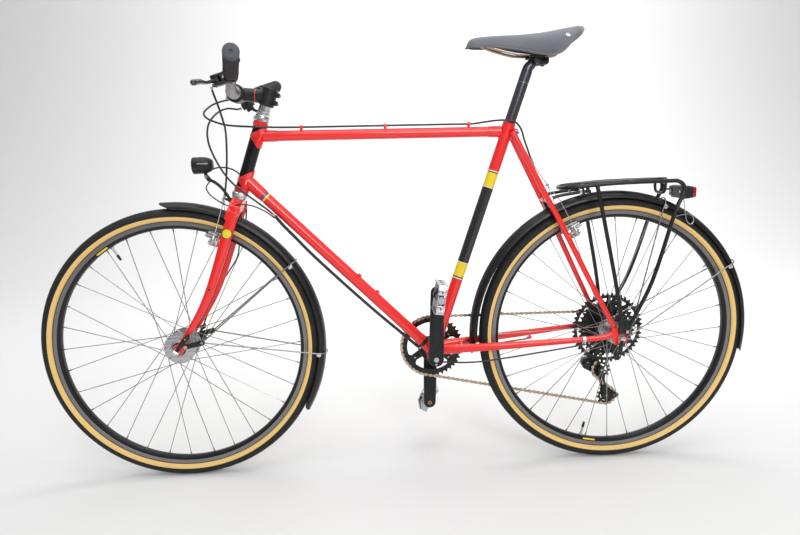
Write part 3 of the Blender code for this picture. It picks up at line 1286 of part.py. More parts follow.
def make_saddle():
    """A shell from a coarse grid bent down at its sides, with rails under it."""
    shape = bmesh.new()
    bmesh.ops.create_grid(shape, x_segments=10, y_segments=6, size=0.5)
    for vert in shape.verts:
        x = -0.3789 + (vert.co.x + 0.5) * 0.2834
        around = vert.co.y * math.pi
        drop = saddle_line(x, SADDLE_SKIRT) * (1 - math.cos(around)) ** 1.3
        vert.co = (x, saddle_line(x, SADDLE_HALF) * math.sin(around) * 1.02,
                   saddle_line(x, SADDLE_TOP) - drop)
    item = mesh_object("saddle", shape, Matrix.Identity(4))
    shell = item.modifiers.new("shell", "SOLIDIFY")
    shell.thickness = 0.0045
    shell.offset = -1
    rails = []
    for side in (-1, 1):
        points = [(-0.3570, 0.0060, 1.0850), (-0.3480, 0.0100, 1.0730), (-0.3200, 0.0160, 1.0620),
                  (-0.2750, 0.0205, 1.0500), (-0.2450, RAIL_Y, RAIL_Z), (-0.1750, RAIL_Y, RAIL_Z),
                  (-0.1500, 0.0260, 1.0530), (-0.1320, 0.0380, 1.0760), (-0.1240, 0.0440, 1.0980)]
        rails.append(tube("rail", [Vector((x, side * y, z)) for x, y, z in points], RAIL_R, 6))
    join(item, *rails)
    node("saddle", item, SADDLE_GREY, 0.6)


# Cables, whole and along their real routes
HOUSING_R = 0.0024
INNER_R = 0.0008


def make_cables():
    """Front brake cable, rear brake cable, and the gear and light cables as one bundle."""
    housing = [(-0.9560, -0.1560, 0.9680), (-0.9570, -0.1400, 0.9560), (-0.9540, -0.1180, 0.9330),
               (-0.9510, -0.0950, 0.9050), (-0.9500, -0.0750, 0.8780), (-0.9560, -0.0480, 0.8353),
               (-0.9650, -0.0220, 0.7884), (-0.9745, -0.0050, 0.7440), (-0.9802, -0.0005, 0.7197)]
    front = tube("front_brake_cable", smooth_route(housing), HOUSING_R, 6)
    yoke = Vector((-0.9833, 0, 0.7100))
    join(front, tube("inner", [Vector((-0.9800, 0, 0.7225)), yoke], INNER_R, 6))
    join(front, rod("yoke", yoke - STEER_AHEAD * 0.004, yoke + STEER_AHEAD * 0.004, 0.0040, 8))
    for side in (-1, 1):
        anchor = brake_point(True, side, 0.0300, 0.0190, ARM_DEPTH / 2)
        join(front, tube("straddle", [yoke, anchor], INNER_R, 6))
    node("front_brake_cable", front, BLACK, 0.5)

    housing = [(-0.9560, 0.1470, 0.9660), (-0.9640, 0.1300, 0.9640), (-0.9800, 0.1050, 0.9630),
               (-1.0050, 0.0650, 0.9500), (-1.0184, 0.0200, 0.9285), (-1.0096, -0.0060, 0.9140),
               (-0.9886, -0.0200, 0.9030), (-0.9592, -0.0290, 0.8940), (-0.9256, -0.0330, 0.8900),
               (-0.8877, -0.0320, 0.8880), (-0.8505, -0.0240, 0.8866), (-0.8160, -0.0100, 0.8866),
               (-0.7900, -0.0040, 0.8866), (-0.7000, -0.0040, 0.8866), (-0.4400, -0.0040, 0.8866),
               (-0.3700, -0.0040, 0.8866),
               (-0.3344, -0.0080, 0.8905), (-0.3080, -0.0170, 0.8930), (-0.2850, -0.0230, 0.8925),
               (-0.2630, -0.0240, 0.8870), (-0.2480, -0.0190, 0.8700), (-0.2380, -0.0110, 0.8450),
               (-0.2270, -0.0040, 0.8200), (-0.2170, 0.0000, 0.7940)]
    rear = tube("rear_brake_cable", smooth_route(housing), HOUSING_R, 6)
    stop = rod("stop", (-0.2195, 0, 0.8010), (-0.2130, 0, 0.7830), 0.0045, 8)
    yoke = Vector((-0.1753, 0, 0.7330))
    join(rear, stop, tube("inner", [Vector((-0.2150, 0, 0.7880)), yoke], INNER_R, 6))
    join(rear, rod("yoke", yoke - Vector((0.004, 0, 0.002)), yoke + Vector((0.004, 0, 0.002)),
                   0.0040, 8))
    for side in (-1, 1):
        anchor = brake_point(False, side, 0.0300, 0.0190, ARM_DEPTH / 2)
        join(rear, tube("straddle", [yoke, Vector((-0.1500, side * 0.0300, 0.6940)), anchor],
                        INNER_R, 6))
    node("rear_brake_cable", rear, BLACK, 0.5)

    below = DOWN_NORMAL * -1
    sleeve_lift = MAIN_TUBE_R + 0.0012 + 0.0040 + 0.0004
    gear = [SHIFT_PIVOT + Vector((-0.0190, -0.0030, -0.0080)), (-0.9570, 0.1060, 0.9400),
            (-0.9760, 0.0800, 0.9400), (-0.9936, 0.0500, 0.9280), (-1.0065, 0.0200, 0.9060),
            (-1.0096, 0.0000, 0.8822), (-1.0067, -0.0100, 0.8558), (-0.9971, -0.0190, 0.8295),
            (-0.9813, -0.0260, 0.7984), (-0.9611, -0.0310, 0.7683), (-0.9362, -0.0330, 0.7427),
            (-0.9070, -0.0310, 0.7190), (-0.8779, -0.0250, 0.6949), (-0.8560, -0.0190, 0.6740)]
    sleeve = [Vector((-0.8560, -0.0190, 0.6740))]
    for along, y, sag in ((0.010, -0.0150, 0.0), (0.050, -0.0080, 0.003), (0.110, -0.0030, 0.007),
                          (0.220, 0.0, 0.008), (0.330, 0.0, 0.006), (0.420, 0.0, 0.002),
                          (0.470, 0.0, 0.0)):
        sleeve.append(DOWN_TOP + DOWN_DIR * along + below * (sleeve_lift + sag) + ACROSS * y)
    bundle_end = sleeve[-1]
    under = [bundle_end - ACROSS * 0.0023, (-0.4975, -0.0040, 0.2985), (-0.4700, -0.0070, 0.2830),
             (-0.4400, -0.0180, 0.2845),
             (-0.3987, -0.0400, 0.2890), (-0.3541, -0.0520, 0.2935), (-0.3040, -0.0580, 0.3010),
             (-0.2286, -0.0620, 0.3120), (-0.1532, -0.0660, 0.3240), (-0.0905, -0.0690, 0.3340)]
    item = tube("shift_and_light_cables", smooth_route(gear), HOUSING_R, 6)
    join(item, tube("sleeve", smooth_route(sleeve), 0.0040, 8),
         tube("light", smooth_route(under), 0.0021, 8))
    gear_end = [bundle_end + ACROSS * 0.0023, (-0.4975, 0.0040, 0.2985), (-0.4650, 0.0120, 0.2835),
                (-0.4200, 0.0260, 0.2880),
                (-0.3600, 0.0440, 0.3000), (-0.2800, 0.0520, 0.3100), (-0.2000, 0.0590, 0.3170)]
    join(item, tube("gear wire", smooth_route(gear_end), 0.0019, 6))
    node("shift_and_light_cables", item, BLACK, 0.5)


# Assembly
make_head_tube()
make_top_tube()
make_down_tube()
make_seat_tube()
make_chain_stays()
make_seat_stays()
make_fork()
make_headset()
make_stem()
make_handlebar()
make_lever(-1, "left")
make_lever(1, "right")
make_shift_lever()
for brake_front, word in ((True, "front"), (False, "rear")):
    for brake_side, hand in ((-1, "left"), (1, "right")):
        brake_arm(word + "_" + hand + "_brake_arm", brake_front, brake_side)
make_tyre("front_tyre", FRONT_AXLE)
make_tyre("rear_tyre", REAR_AXLE)
make_rim("front_rim", FRONT_AXLE)
make_rim("rear_rim", REAR_AXLE)
make_hubs()
make_axle("front_axle", FRONT_AXLE, FRONT_SPACING, FORK_Y + 0.0025, -0.0443, 0.0443)
make_axle("rear_axle", REAR_AXLE, REAR_SPACING, DROPOUT_OUT, -0.0565, 0.0623)
make_lever_cam("front_qr_lever", FRONT_AXLE, -FORK_Y - 0.0025 - 0.0096, (0.63, 0, 0.78), 0.058)
make_lever_cam("rear_qr_lever", REAR_AXLE, -DROPOUT_OUT - 0.0096, (-0.20, 0, -1), 0.055)
make_cassette()
make_chainring()
make_cranks()
make_pedal("left_pedal", -1, math.radians(8))
make_pedal("right_pedal", 1, math.radians(30))
make_chain()
make_derailleur()
make_mudguards()
make_rack()
make_tail_light()
make_headlight()
make_seatpost()
make_saddle()
make_cables()
hang("steering_axis", steer(0.5),
     ["fork", "stem_adapter", "stem", "handlebar", "left_grip", "right_grip", "left_lever_body",
      "right_lever_body", "front_fender", "front_fender_stays", "headlight_bracket", "front_axle",
      "front_brake_cable"])
hang("front_wheel_axis", FRONT_AXLE, ["front_tyre", "front_rim", "front_hub"])
hang("rear_wheel_axis", REAR_AXLE, ["rear_tyre", "rear_rim", "rear_hub"])
hang("crank_axis", BB, ["left_crank", "right_crank", "chainring"])
hang("seatpost_axis", seat(POST_TOP), ["seatpost", "saddle"])
hang("headlight_axis", LAMP_HINGE, ["headlight"])
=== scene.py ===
# %% [markdown]
# # A touring-equipped road bicycle
#
# This script dresses a bicycle whose solids and joints were made first. Every solid of that
# model is a named node on a named body, so a wheel, a crank or a brake lever already knows what
# it turns with. Here each one gets the shape, the finish and the small parts that the eye
# expects: round tubes with sockets at the joints, a tyre with tan sides, a chain of real links.

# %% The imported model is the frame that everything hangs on
from math import (asin, atan2, copysign, cos, degrees, exp, pi, radians, sin, sqrt, tau)

import bmesh
import bpy
import numpy as np
from mathutils import Matrix, Vector


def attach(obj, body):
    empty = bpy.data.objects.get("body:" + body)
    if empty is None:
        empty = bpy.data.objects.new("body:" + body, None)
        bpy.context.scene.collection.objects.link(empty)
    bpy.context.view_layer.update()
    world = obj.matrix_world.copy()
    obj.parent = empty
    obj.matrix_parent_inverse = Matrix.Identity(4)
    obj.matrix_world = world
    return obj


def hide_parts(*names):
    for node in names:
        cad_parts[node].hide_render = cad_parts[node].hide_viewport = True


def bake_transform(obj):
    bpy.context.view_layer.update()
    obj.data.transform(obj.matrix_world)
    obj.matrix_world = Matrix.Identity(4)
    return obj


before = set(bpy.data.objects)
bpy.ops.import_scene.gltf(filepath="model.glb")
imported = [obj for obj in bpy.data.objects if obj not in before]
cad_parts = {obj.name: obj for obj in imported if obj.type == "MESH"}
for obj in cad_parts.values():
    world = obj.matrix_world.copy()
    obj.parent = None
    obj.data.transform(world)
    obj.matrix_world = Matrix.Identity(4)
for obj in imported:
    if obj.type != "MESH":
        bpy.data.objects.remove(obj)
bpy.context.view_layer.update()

# %% [markdown]

# %% [markdown]
# ## The bicycle's own directions
#
# A bicycle is drawn from a few lines: the two axles, the bottom bracket, the steering axis and
# the seat tube. Forward is -X, the rider's left is -Y and up is +Z. A point given as a distance
# up one of those lines is far easier to think about than three coordinates, so `steer` and
# `seat` turn one into the other.

# %% The lines that the bicycle is drawn on
ACROSS = Vector((0, 1, 0))
WHEEL_R = 0.349
RIM_R = 0.317
FRONT_AXLE = Vector((-1.11, 0, WHEEL_R))
REAR_AXLE = Vector((0, 0, WHEEL_R))
BB = Vector((-0.469, 0, WHEEL_R - 0.038))
HEAD_ANGLE = radians(70.7)
SEAT_ANGLE = radians(71.2)
STEER_UP = Vector((cos(HEAD_ANGLE), 0, sin(HEAD_ANGLE)))
STEER_AHEAD = Vector((-sin(HEAD_ANGLE), 0, cos(HEAD_ANGLE)))
STEER_FOOT = FRONT_AXLE - STEER_AHEAD * 0.0352
SEAT_UP = Vector((cos(SEAT_ANGLE), 0, sin(SEAT_ANGLE)))
SEAT_BACK = Vector((sin(SEAT_ANGLE), 0, -cos(SEAT_ANGLE)))


def steer(along, ahead=0.0, side=0.0):
    """A point up the steering axis, ahead of it and to one side."""
    return STEER_FOOT + STEER_UP * along + STEER_AHEAD * ahead + ACROSS * side


def seat(along, behind=0.0, side=0.0):
    """A point up the seat tube, behind it and to one side."""
    return BB + SEAT_UP * along + SEAT_BACK * behind + ACROSS * side


SIDES = ((-1, "left"), (1, "right"))


def sided(point, side):
    """A point given for the rider's right, on either side."""
    return Vector((point[0], side * point[1], point[2]))


print("steering axis meets the ground", round(STEER_FOOT.x - STEER_UP.x / STEER_UP.z * STEER_FOOT.z, 3))

# %% [markdown]
# ## Camera
#
# The camera stands a little in front of the cranks, about as high as the top tube, and looks
# slightly down. Its lens and tilt were worked out from the two wheels, whose true size is known:
# both are round, and both stand on the same floor.

# %% The camera that saw the bicycle
camera = bpy.data.objects.new("camera", bpy.data.cameras.new("camera"))
bpy.context.scene.collection.objects.link(camera)
camera.data.sensor_width = 36
camera.data.lens = 28.23
camera.data.clip_end = 60
pitch, yaw, roll = (radians(value) for value in (9.86, 2.713, -1.259))
level = Matrix(((1, 0, 0), (0, 0, -1), (0, 1, 0)))
turn = Matrix(((cos(yaw), -sin(yaw), 0), (sin(yaw), cos(yaw), 0), (0, 0, 1)))
nod = Matrix(((1, 0, 0), (0, cos(pitch), -sin(pitch)), (0, sin(pitch), cos(pitch))))
lean = Matrix(((cos(roll), -sin(roll), 0), (sin(roll), cos(roll), 0), (0, 0, 1)))
right, down, ahead = lean @ nod @ level @ turn
camera.matrix_world = Matrix.LocRotScale(Vector((-0.6256, -1.5705, 0.8067)),
                                         Matrix((right, -down, -ahead)).transposed().to_quaternion(),
                                         None)
bpy.context.scene.camera = camera
print("camera stands", round(camera.location.z, 2), "m high")

# %% [markdown]
# ## Studio
#
# The bicycle stands on white paper that curves up behind it, so that no horizon shows. A very
# large lamp overhead gives the pale shadow under the tyres, one beside the camera lights the side
# that is seen, and one behind brightens the paper. The world's own light is dim at the horizon
# and brighter overhead: black lacquer and polished metal mirror whatever lies behind the camera,
# and an even white there would leave them grey and flat.


# %% Paper, sky and three soft lamps
def soft_lamp(name, place, size, power, towards=(-0.55, 0, 0.5)):
    """A large square lamp that faces a point on the bicycle."""
    data = bpy.data.lights.new(name, "AREA")
    data.size = size
    data.energy = power
    lamp = bpy.data.objects.new(name, data)
    lamp.location = place
    lamp.rotation_mode = "QUATERNION"
    lamp.rotation_quaternion = (Vector(towards) - Vector(place)).to_track_quat("-Z", "Y")
    bpy.context.scene.collection.objects.link(lamp)


def paper_sweep():
    """A wide floor that curves up into a wall far behind the bicycle."""
    shape = bmesh.new()
    line = [(-9, 0), (2.4, 0)]
    for k in range(1, 13):
        angle = pi / 2 * k / 12
        line.append((2.4 + 2.2 * sin(angle), 2.2 - 2.2 * cos(angle)))
    line.append((4.6, 7))
    rows = [[shape.verts.new((x, y, z)) for x in (-13, 13)] for y, z in line]
    for low, high in zip(rows, rows[1:]):
        shape.faces.new((low[0], low[1], high[1], high[0]))
    mesh = bpy.data.meshes.new("floor")
    shape.to_mesh(mesh)
    shape.free()
    mesh.shade_smooth()
    paper = bpy.data.materials.new("studio paper")
    paper.use_nodes = True
    shader = paper.node_tree.nodes["Principled BSDF"]
    shader.inputs["Base Color"].default_value = (0.8, 0.8, 0.795, 1)
    shader.inputs["Roughness"].default_value = 0.9
    shader.inputs["Specular IOR Level"].default_value = 0.2
    mesh.materials.append(paper)
    floor = bpy.data.objects.new("floor", mesh)
    bpy.context.scene.collection.objects.link(floor)


def dim_horizon():
    """A world that is dark low down and lighter overhead."""
    world = bpy.data.worlds.new("studio")
    bpy.context.scene.world = world
    world.use_nodes = True
    tree = world.node_tree
    where = tree.nodes.new("ShaderNodeTexCoord")
    split = tree.nodes.new("ShaderNodeSeparateXYZ")
    rise = tree.nodes.new("ShaderNodeMapRange")
    for label, value in (("From Min", 0.0), ("From Max", 0.85), ("To Min", 0.14), ("To Max", 0.75)):
        rise.inputs[label].default_value = value
    tree.links.new(where.outputs["Generated"], split.inputs["Vector"])
    tree.links.new(split.outputs["Z"], rise.inputs["Value"])
    background = tree.nodes["Background"]
    background.inputs["Color"].default_value = (0.98, 0.99, 1.0, 1)
    tree.links.new(rise.outputs["Result"], background.inputs["Strength"])


dim_horizon()
bpy.context.scene.view_settings.view_transform = "Standard"
paper_sweep()
soft_lamp("overhead", (-0.4, -0.3, 3.4), 3.0, 44)
soft_lamp("camera side", (0.2, -3.3, 2.3), 1.6, 58)
soft_lamp("paper light", (0.2, 1.4, 3.2), 2.0, 120, (0.2, 4.6, 1.4))

# %% [markdown]
# ## Effects that several finishes share
#
# Real surfaces are never one flat value. Paint has a faint ripple, rubber and plastic have grain,
# and a fine dust lies on what faces up. Each effect is a node group with named inputs, made once
# and placed in many materials with its own numbers. The shader itself stays in the material.


# %% Node groups for grain, ripple and settled dust
def effect(name, inputs, output):
    """An empty node group with float inputs, one float output and its two end nodes."""
    tree = bpy.data.node_groups.new(name, "ShaderNodeTree")
    for label, value in inputs.items():
        socket = tree.interface.new_socket(name=label, in_out="INPUT", socket_type="NodeSocketFloat")
        socket.default_value = value
    tree.interface.new_socket(name=output, in_out="OUTPUT", socket_type="NodeSocketFloat")
    return tree, tree.nodes.new("NodeGroupInput"), tree.nodes.new("NodeGroupOutput")


def noise_in(tree, scale, detail=3.0):
    """A noise texture on the piece itself, with its scale from a socket."""
    place = tree.nodes.new("ShaderNodeTexCoord")
    noise = tree.nodes.new("ShaderNodeTexNoise")
    noise.inputs["Detail"].default_value = detail
    tree.links.new(place.outputs["Object"], noise.inputs["Vector"])
    tree.links.new(scale, noise.inputs["Scale"])
    return noise.outputs["Fac"]


def make_grain():
    """Noise spread between two values, for roughness."""
    tree, start, end = effect("grain", {"Scale": 60, "Low": 0.3, "High": 0.5}, "Value")
    spread = tree.nodes.new("ShaderNodeMapRange")
    spread.inputs["From Min"].default_value = 0.3
    spread.inputs["From Max"].default_value = 0.7
    tree.links.new(noise_in(tree, start.outputs["Scale"]), spread.inputs["Value"])
    tree.links.new(start.outputs["Low"], spread.inputs["To Min"])
    tree.links.new(start.outputs["High"], spread.inputs["To Max"])
    tree.links.new(spread.outputs["Result"], end.inputs["Value"])
    return tree


def make_ripple():
    """Two sizes of noise added up, for the height of a bump."""
    tree, start, end = effect("ripple", {"Scale": 200, "Fine": 0.3}, "Height")
    finer = tree.nodes.new("ShaderNodeMath")
    finer.operation = "MULTIPLY"
    finer.inputs[1].default_value = 5.0
    tree.links.new(start.outputs["Scale"], finer.inputs[0])
    total = tree.nodes.new("ShaderNodeMath")
    total.operation = "MULTIPLY_ADD"
    tree.links.new(noise_in(tree, finer.outputs[0], 2.0), total.inputs[0])
    tree.links.new(start.outputs["Fine"], total.inputs[1])
    tree.links.new(noise_in(tree, start.outputs["Scale"], 1.0), total.inputs[2])
    tree.links.new(total.outputs[0], end.inputs["Height"])
    return tree


def make_dust():
    """A mask that is strongest on faces that look up, and broken by noise."""
    tree, start, end = effect("settled dust", {"Scale": 25, "Amount": 0.2}, "Mask")
    facing = tree.nodes.new("ShaderNodeSeparateXYZ")
    surface = tree.nodes.new("ShaderNodeNewGeometry")
    tree.links.new(surface.outputs["Normal"], facing.inputs["Vector"])
    upward = tree.nodes.new("ShaderNodeMapRange")
    upward.inputs["From Min"].default_value = 0.2
    tree.links.new(facing.outputs["Z"], upward.inputs["Value"])
    broken = tree.nodes.new("ShaderNodeMath")
    broken.operation = "MULTIPLY"
    tree.links.new(upward.outputs["Result"], broken.inputs[0])
    tree.links.new(noise_in(tree, start.outputs["Scale"]), broken.inputs[1])
    scaled = tree.nodes.new("ShaderNodeMath")
    scaled.operation = "MULTIPLY"
    tree.links.new(broken.outputs[0], scaled.inputs[0])
    tree.links.new(start.outputs["Amount"], scaled.inputs[1])
    tree.links.new(scaled.outputs[0], end.inputs["Mask"])
    return tree


GRAIN = make_grain()
RIPPLE = make_ripple()
DUST = make_dust()
print("effects:", GRAIN.name, RIPPLE.name, DUST.name)

# %% [markdown]
# ## A finish
#
# Every material here starts from the same recipe: a colour with a little dust on top, a
# roughness that wanders between two values, and a faint bump. What differs between lacquer,
# rubber, anodised alloy and plastic is only the numbers, and a constant such as the clear coat
# is set on the shader's own socket.

# %% The recipe for a finish
GREY_DUST = (0.32, 0.31, 0.29, 1)


def place_group(tree, group, **values):
    """A shared effect in a material, with its own values."""
    node = tree.nodes.new("ShaderNodeGroup")
    node.node_tree = group
    for label, value in values.items():
        node.inputs[label].default_value = value
    return node


def finish(name, colour, rough, metallic=0.0, grain=60.0, ripple=250.0, bump=0.04, dust=0.12,
           **sockets):
    """A Principled material with wandering roughness, a faint bump and a little dust."""
    material = bpy.data.materials.new(name)
    material.use_nodes = True
    tree = material.node_tree
    shader = tree.nodes["Principled BSDF"]
    shader.inputs["Metallic"].default_value = metallic
    for label, value in sockets.items():
        shader.inputs[label.replace("_", " ")].default_value = value
    mask = place_group(tree, DUST, Amount=dust)
    mix = tree.nodes.new("ShaderNodeMix")
    mix.data_type = "RGBA"
    mix.inputs["A"].default_value = (*colour, 1)
    mix.inputs["B"].default_value = GREY_DUST
    tree.links.new(mask.outputs["Mask"], mix.inputs["Factor"])
    tree.links.new(mix.outputs["Result"], shader.inputs["Base Color"])
    wander = place_group(tree, GRAIN, Scale=grain, Low=rough[0], High=rough[1])
    tree.links.new(wander.outputs["Value"], shader.inputs["Roughness"])
    relief = place_group(tree, RIPPLE, Scale=ripple)
    bumps = tree.nodes.new("ShaderNodeBump")
    bumps.inputs["Strength"].default_value = bump
    bumps.inputs["Distance"].default_value = 0.001
    tree.links.new(relief.outputs["Height"], bumps.inputs["Height"])
    tree.links.new(bumps.outputs["Normal"], shader.inputs["Normal"])
    return material


# %% [markdown]
# ## Paint, metal, rubber and plastic
#
# The frame is bright red under a clear lacquer, so it has a sharp highlight over a slightly
# softer one. The headset cups and the rear hub are polished alloy, the front hub and the brakes
# satin. Most other parts are black, and it is their roughness that tells them apart: anodised
# cranks, semi-gloss mudguards, dull tyres.

# %% Every finish on the bicycle
RED = finish("red lacquer", (0.88, 0.012, 0.012), (0.28, 0.38), ripple=90, bump=0.015, dust=0.03,
             Coat_Weight=0.6, Coat_Roughness=0.06)
HEAD_BLACK = finish("black lacquer", (0.006, 0.006, 0.007), (0.25, 0.35), ripple=90, bump=0.015,
                    dust=0.0, Coat_Weight=0.25, Coat_Roughness=0.08, Specular_IOR_Level=0.2)
GUARD = finish("semi-gloss black", (0.008, 0.008, 0.009), (0.28, 0.38), ripple=160, bump=0.05,
               dust=0.02, Specular_IOR_Level=0.42)
PAINTED = finish("black rack paint", (0.005, 0.005, 0.006), (0.28, 0.4), ripple=220, bump=0.06,
                 dust=0.04)
ANODISED = finish("black anodised alloy", (0.022, 0.023, 0.025), (0.38, 0.52), 0.6, bump=0.03)
PLASTIC = finish("black moulded plastic", (0.006, 0.006, 0.007), (0.34, 0.5), bump=0.08, dust=0.04)
ALLOY = finish("polished alloy", (0.7, 0.7, 0.715), (0.16, 0.3), 1.0, bump=0.015, dust=0.08)
SATIN = finish("satin alloy", (0.52, 0.52, 0.535), (0.28, 0.42), 1.0, bump=0.03, dust=0.08)
STEEL = finish("stainless wire", (0.32, 0.31, 0.295), (0.2, 0.32), 1.0, bump=0.01, dust=0.0)
TRACK = finish("turned brake track", (0.25, 0.24, 0.242), (0.3, 0.46), 0.85, bump=0.03, dust=0.0)
RIM_BLACK = finish("black rim wall", (0.008, 0.008, 0.01), (0.3, 0.42), 0.3, bump=0.02, dust=0.0)
BAR_GREY = finish("grey anodised bar", (0.27, 0.26, 0.27), (0.34, 0.48), 0.7, bump=0.03)
TREAD = finish("tread rubber", (0.01, 0.01, 0.011), (0.6, 0.8), ripple=700, bump=0.5, dust=0.12)
TAN = finish("tan sidewall", (0.86, 0.58, 0.2), (0.55, 0.75), grain=180, ripple=900, bump=0.35,
             dust=0.1)
GRIP = finish("soft grip rubber", (0.026, 0.024, 0.024), (0.7, 0.88), ripple=900, bump=0.6, dust=0.05)
GRIP_END = finish("grip end cap", (0.062, 0.07, 0.084), (0.45, 0.6), ripple=900, bump=0.3)
VINYL = finish("saddle cover", (0.125, 0.135, 0.16), (0.3, 0.42), ripple=1100, bump=0.45,
               Sheen_Weight=0.4)
HOUSING = finish("cable housing", (0.02, 0.02, 0.023), (0.3, 0.45), bump=0.02, dust=0.05)
CHAIN_METAL = finish("oiled outer link", (0.52, 0.42, 0.31), (0.22, 0.4), 1.0, grain=300, bump=0.05)
CHAIN_DARK = finish("oiled inner link", (0.33, 0.235, 0.165), (0.28, 0.46), 1.0, grain=300)
POST_BLACK = finish("polished black alloy", (0.08, 0.084, 0.096), (0.2, 0.32), 0.7, bump=0.02)
COPPER = finish("copper-coloured bolt", (0.62, 0.3, 0.15), (0.25, 0.4), 1.0, bump=0.02)
RAIL = finish("bronze-coloured rail", (0.42, 0.33, 0.27), (0.25, 0.38), 1.0, bump=0.02)
YELLOW = finish("yellow transfer", (0.9, 0.66, 0.02), (0.25, 0.35), ripple=90, bump=0.01, dust=0.03,
                Coat_Weight=0.6)
VIOLET = finish("violet transfer", (0.13, 0.03, 0.3), (0.25, 0.35), ripple=90, bump=0.01, dust=0.03,
                Coat_Weight=0.6)
WHITE = finish("white transfer", (0.8, 0.8, 0.8), (0.25, 0.35), ripple=90, bump=0.01, dust=0.03,
               Coat_Weight=0.6)
BLACK_BAND = finish("black transfer", (0.01, 0.014, 0.012), (0.25, 0.35), ripple=90, bump=0.01,
                    dust=0.03, Coat_Weight=0.6)
RED_LENS = finish("red lens", (0.62, 0.012, 0.01), (0.08, 0.16), bump=0.01, dust=0.0,
                  Transmission_Weight=0.35)
AMBER = finish("amber reflector", (0.85, 0.22, 0.01), (0.1, 0.2), ripple=500, bump=0.3, dust=0.0,
               Transmission_Weight=0.25)
CLEAR = finish("clear lens", (0.92, 0.93, 0.95), (0.03, 0.08), bump=0.01, dust=0.0,
               Transmission_Weight=0.9)
MIRROR = finish("lamp reflector", (0.9, 0.9, 0.91), (0.05, 0.12), 1.0, bump=0.01, dust=0.0)
print(len(bpy.data.materials), "finishes")

# %% [markdown]
# ## Shapes
#
# Nearly every part of a bicycle is one of four things: something turned on a lathe, a tube that
# follows a line, a flat plate cut to an outline, or a small block. The makers below build those
# straight into meshes. Doing it in code keeps every edge where the drawing puts it, and a few
# more sides cost nothing here, so round things look round.


# %% Meshes from rings of points
def wear(shape, material, matrix=None, sharp=35):
    """A finished mesh object: outward faces, smooth between its sharp edges."""
    bmesh.ops.recalc_face_normals(shape, faces=shape.faces)
    mesh = bpy.data.meshes.new("shape")
    shape.to_mesh(mesh)
    shape.free()
    if matrix is not None:
        mesh.transform(matrix)
    mesh.shade_smooth()
    mesh.set_sharp_from_angle(angle=radians(sharp))
    mesh.materials.append(material)
    item = bpy.data.objects.new("shape", mesh)
    bpy.context.scene.collection.objects.link(item)
    return item


def skin(shape, rings, closed=False):
    """Faces between rings of vertices; a ring of one vertex is a point."""
    pairs = list(zip(rings, rings[1:])) + ([(rings[-1], rings[0])] if closed else [])
    for low, high in pairs:
        count = max(len(low), len(high))
        for k in range(count):
            corners = [low[k % len(low)], low[(k + 1) % len(low)], high[(k + 1) % len(high)],
                       high[k % len(high)]]
            corners = list(dict.fromkeys(corners))
            if len(corners) > 2:
                shape.faces.new(corners)


def toward(place, direction):
    """A matrix whose Z axis points along a direction."""
    spin = Vector((0, 0, 1)).rotation_difference(Vector(direction).normalized())
    return Matrix.Translation(place) @ spin.to_matrix().to_4x4()


def polar(radius, angle, centre=(0, 0)):
    """A point in a plane, from a distance and an angle."""
    return (centre[0] + radius * cos(angle), centre[1] + radius * sin(angle))


def lathe(profile, place, axis, material, steps=64, closed=False):
    """Turn a profile of (radius, height) about an axis; closed makes a ring-shaped solid."""
    shape = bmesh.new()
    rings = []
    for radius, height in profile:
        count = steps if radius > 1e-6 else 1
        rings.append([shape.verts.new((*polar(radius, tau * k / steps), height)) for k in range(count)])
    skin(shape, rings, closed)
    return wear(shape, material, toward(place, axis))


def rod(start, end, radius, material, end_radius=None, soft=0.0006, steps=32):
    """A round bar with softened ends."""
    start = Vector(start)
    end = Vector(end)
    length = (end - start).length
    last = radius if end_radius is None else end_radius
    profile = [(0, 0), (radius - soft, 0), (radius, soft), (last, length - soft), (last - soft, length),
               (0, length)]
    return lathe(profile, start, end - start, material, steps)


def flow(points, parts=6):
    """A smooth curve through a few points."""
    given = [Vector(point) for point in points]
    ends = [given[0] * 2 - given[1]] + given + [given[-1] * 2 - given[-2]]
    route = []
    for before, here, there, after in zip(ends, ends[1:], ends[2:], ends[3:]):
        for part in range(parts):
            t = part / parts
            route.append(0.5 * (2 * here + (there - before) * t + (2 * before - 5 * here + 4
                                                                   * there - after) * t
                                * t + (3 * here - before - 3 * there + after) * t ** 3))
    return route + [given[-1]]


def pipe(points, radius, material, sides=20, flat=1.0, closed=False):
    """A tube along points; radius is one value or one for each point, flat squeezes it in Y."""
    route = [Vector(point) for point in points]
    radii = radius if isinstance(radius, (list, tuple)) else [radius] * len(route)
    shape = bmesh.new()
    rings = []
    up = Vector((0.3, 0.9, 0.31))
    for index, point in enumerate(route):
        before = route[index - 1] if index or closed else point
        after = route[(index + 1) % len(route)] if index + 1 < len(route) or closed else point
        heading = (after - before).normalized()
        up = (up - heading * up.dot(heading)).normalized()
        beside = heading.cross(up)
        ring = []
        for k in range(sides):
            angle = tau * k / sides
            reach = (beside * cos(angle) + up * sin(angle)) * radii[index]
            ring.append(shape.verts.new(point + Vector((reach.x, reach.y * flat, reach.z))))
        rings.append(ring)
    skin(shape, rings, closed)
    if not closed:
        shape.faces.new(rings[0])
        shape.faces.new(rings[-1])
    return wear(shape, material)


def spread(values, parts=6):
    """Values for the points of a flow, from those of its given points."""
    steps = [np.linspace(a, b, parts, endpoint=False) for a, b in zip(values, values[1:])]
    return [float(value) for value in np.concatenate(steps)] + [values[-1]]


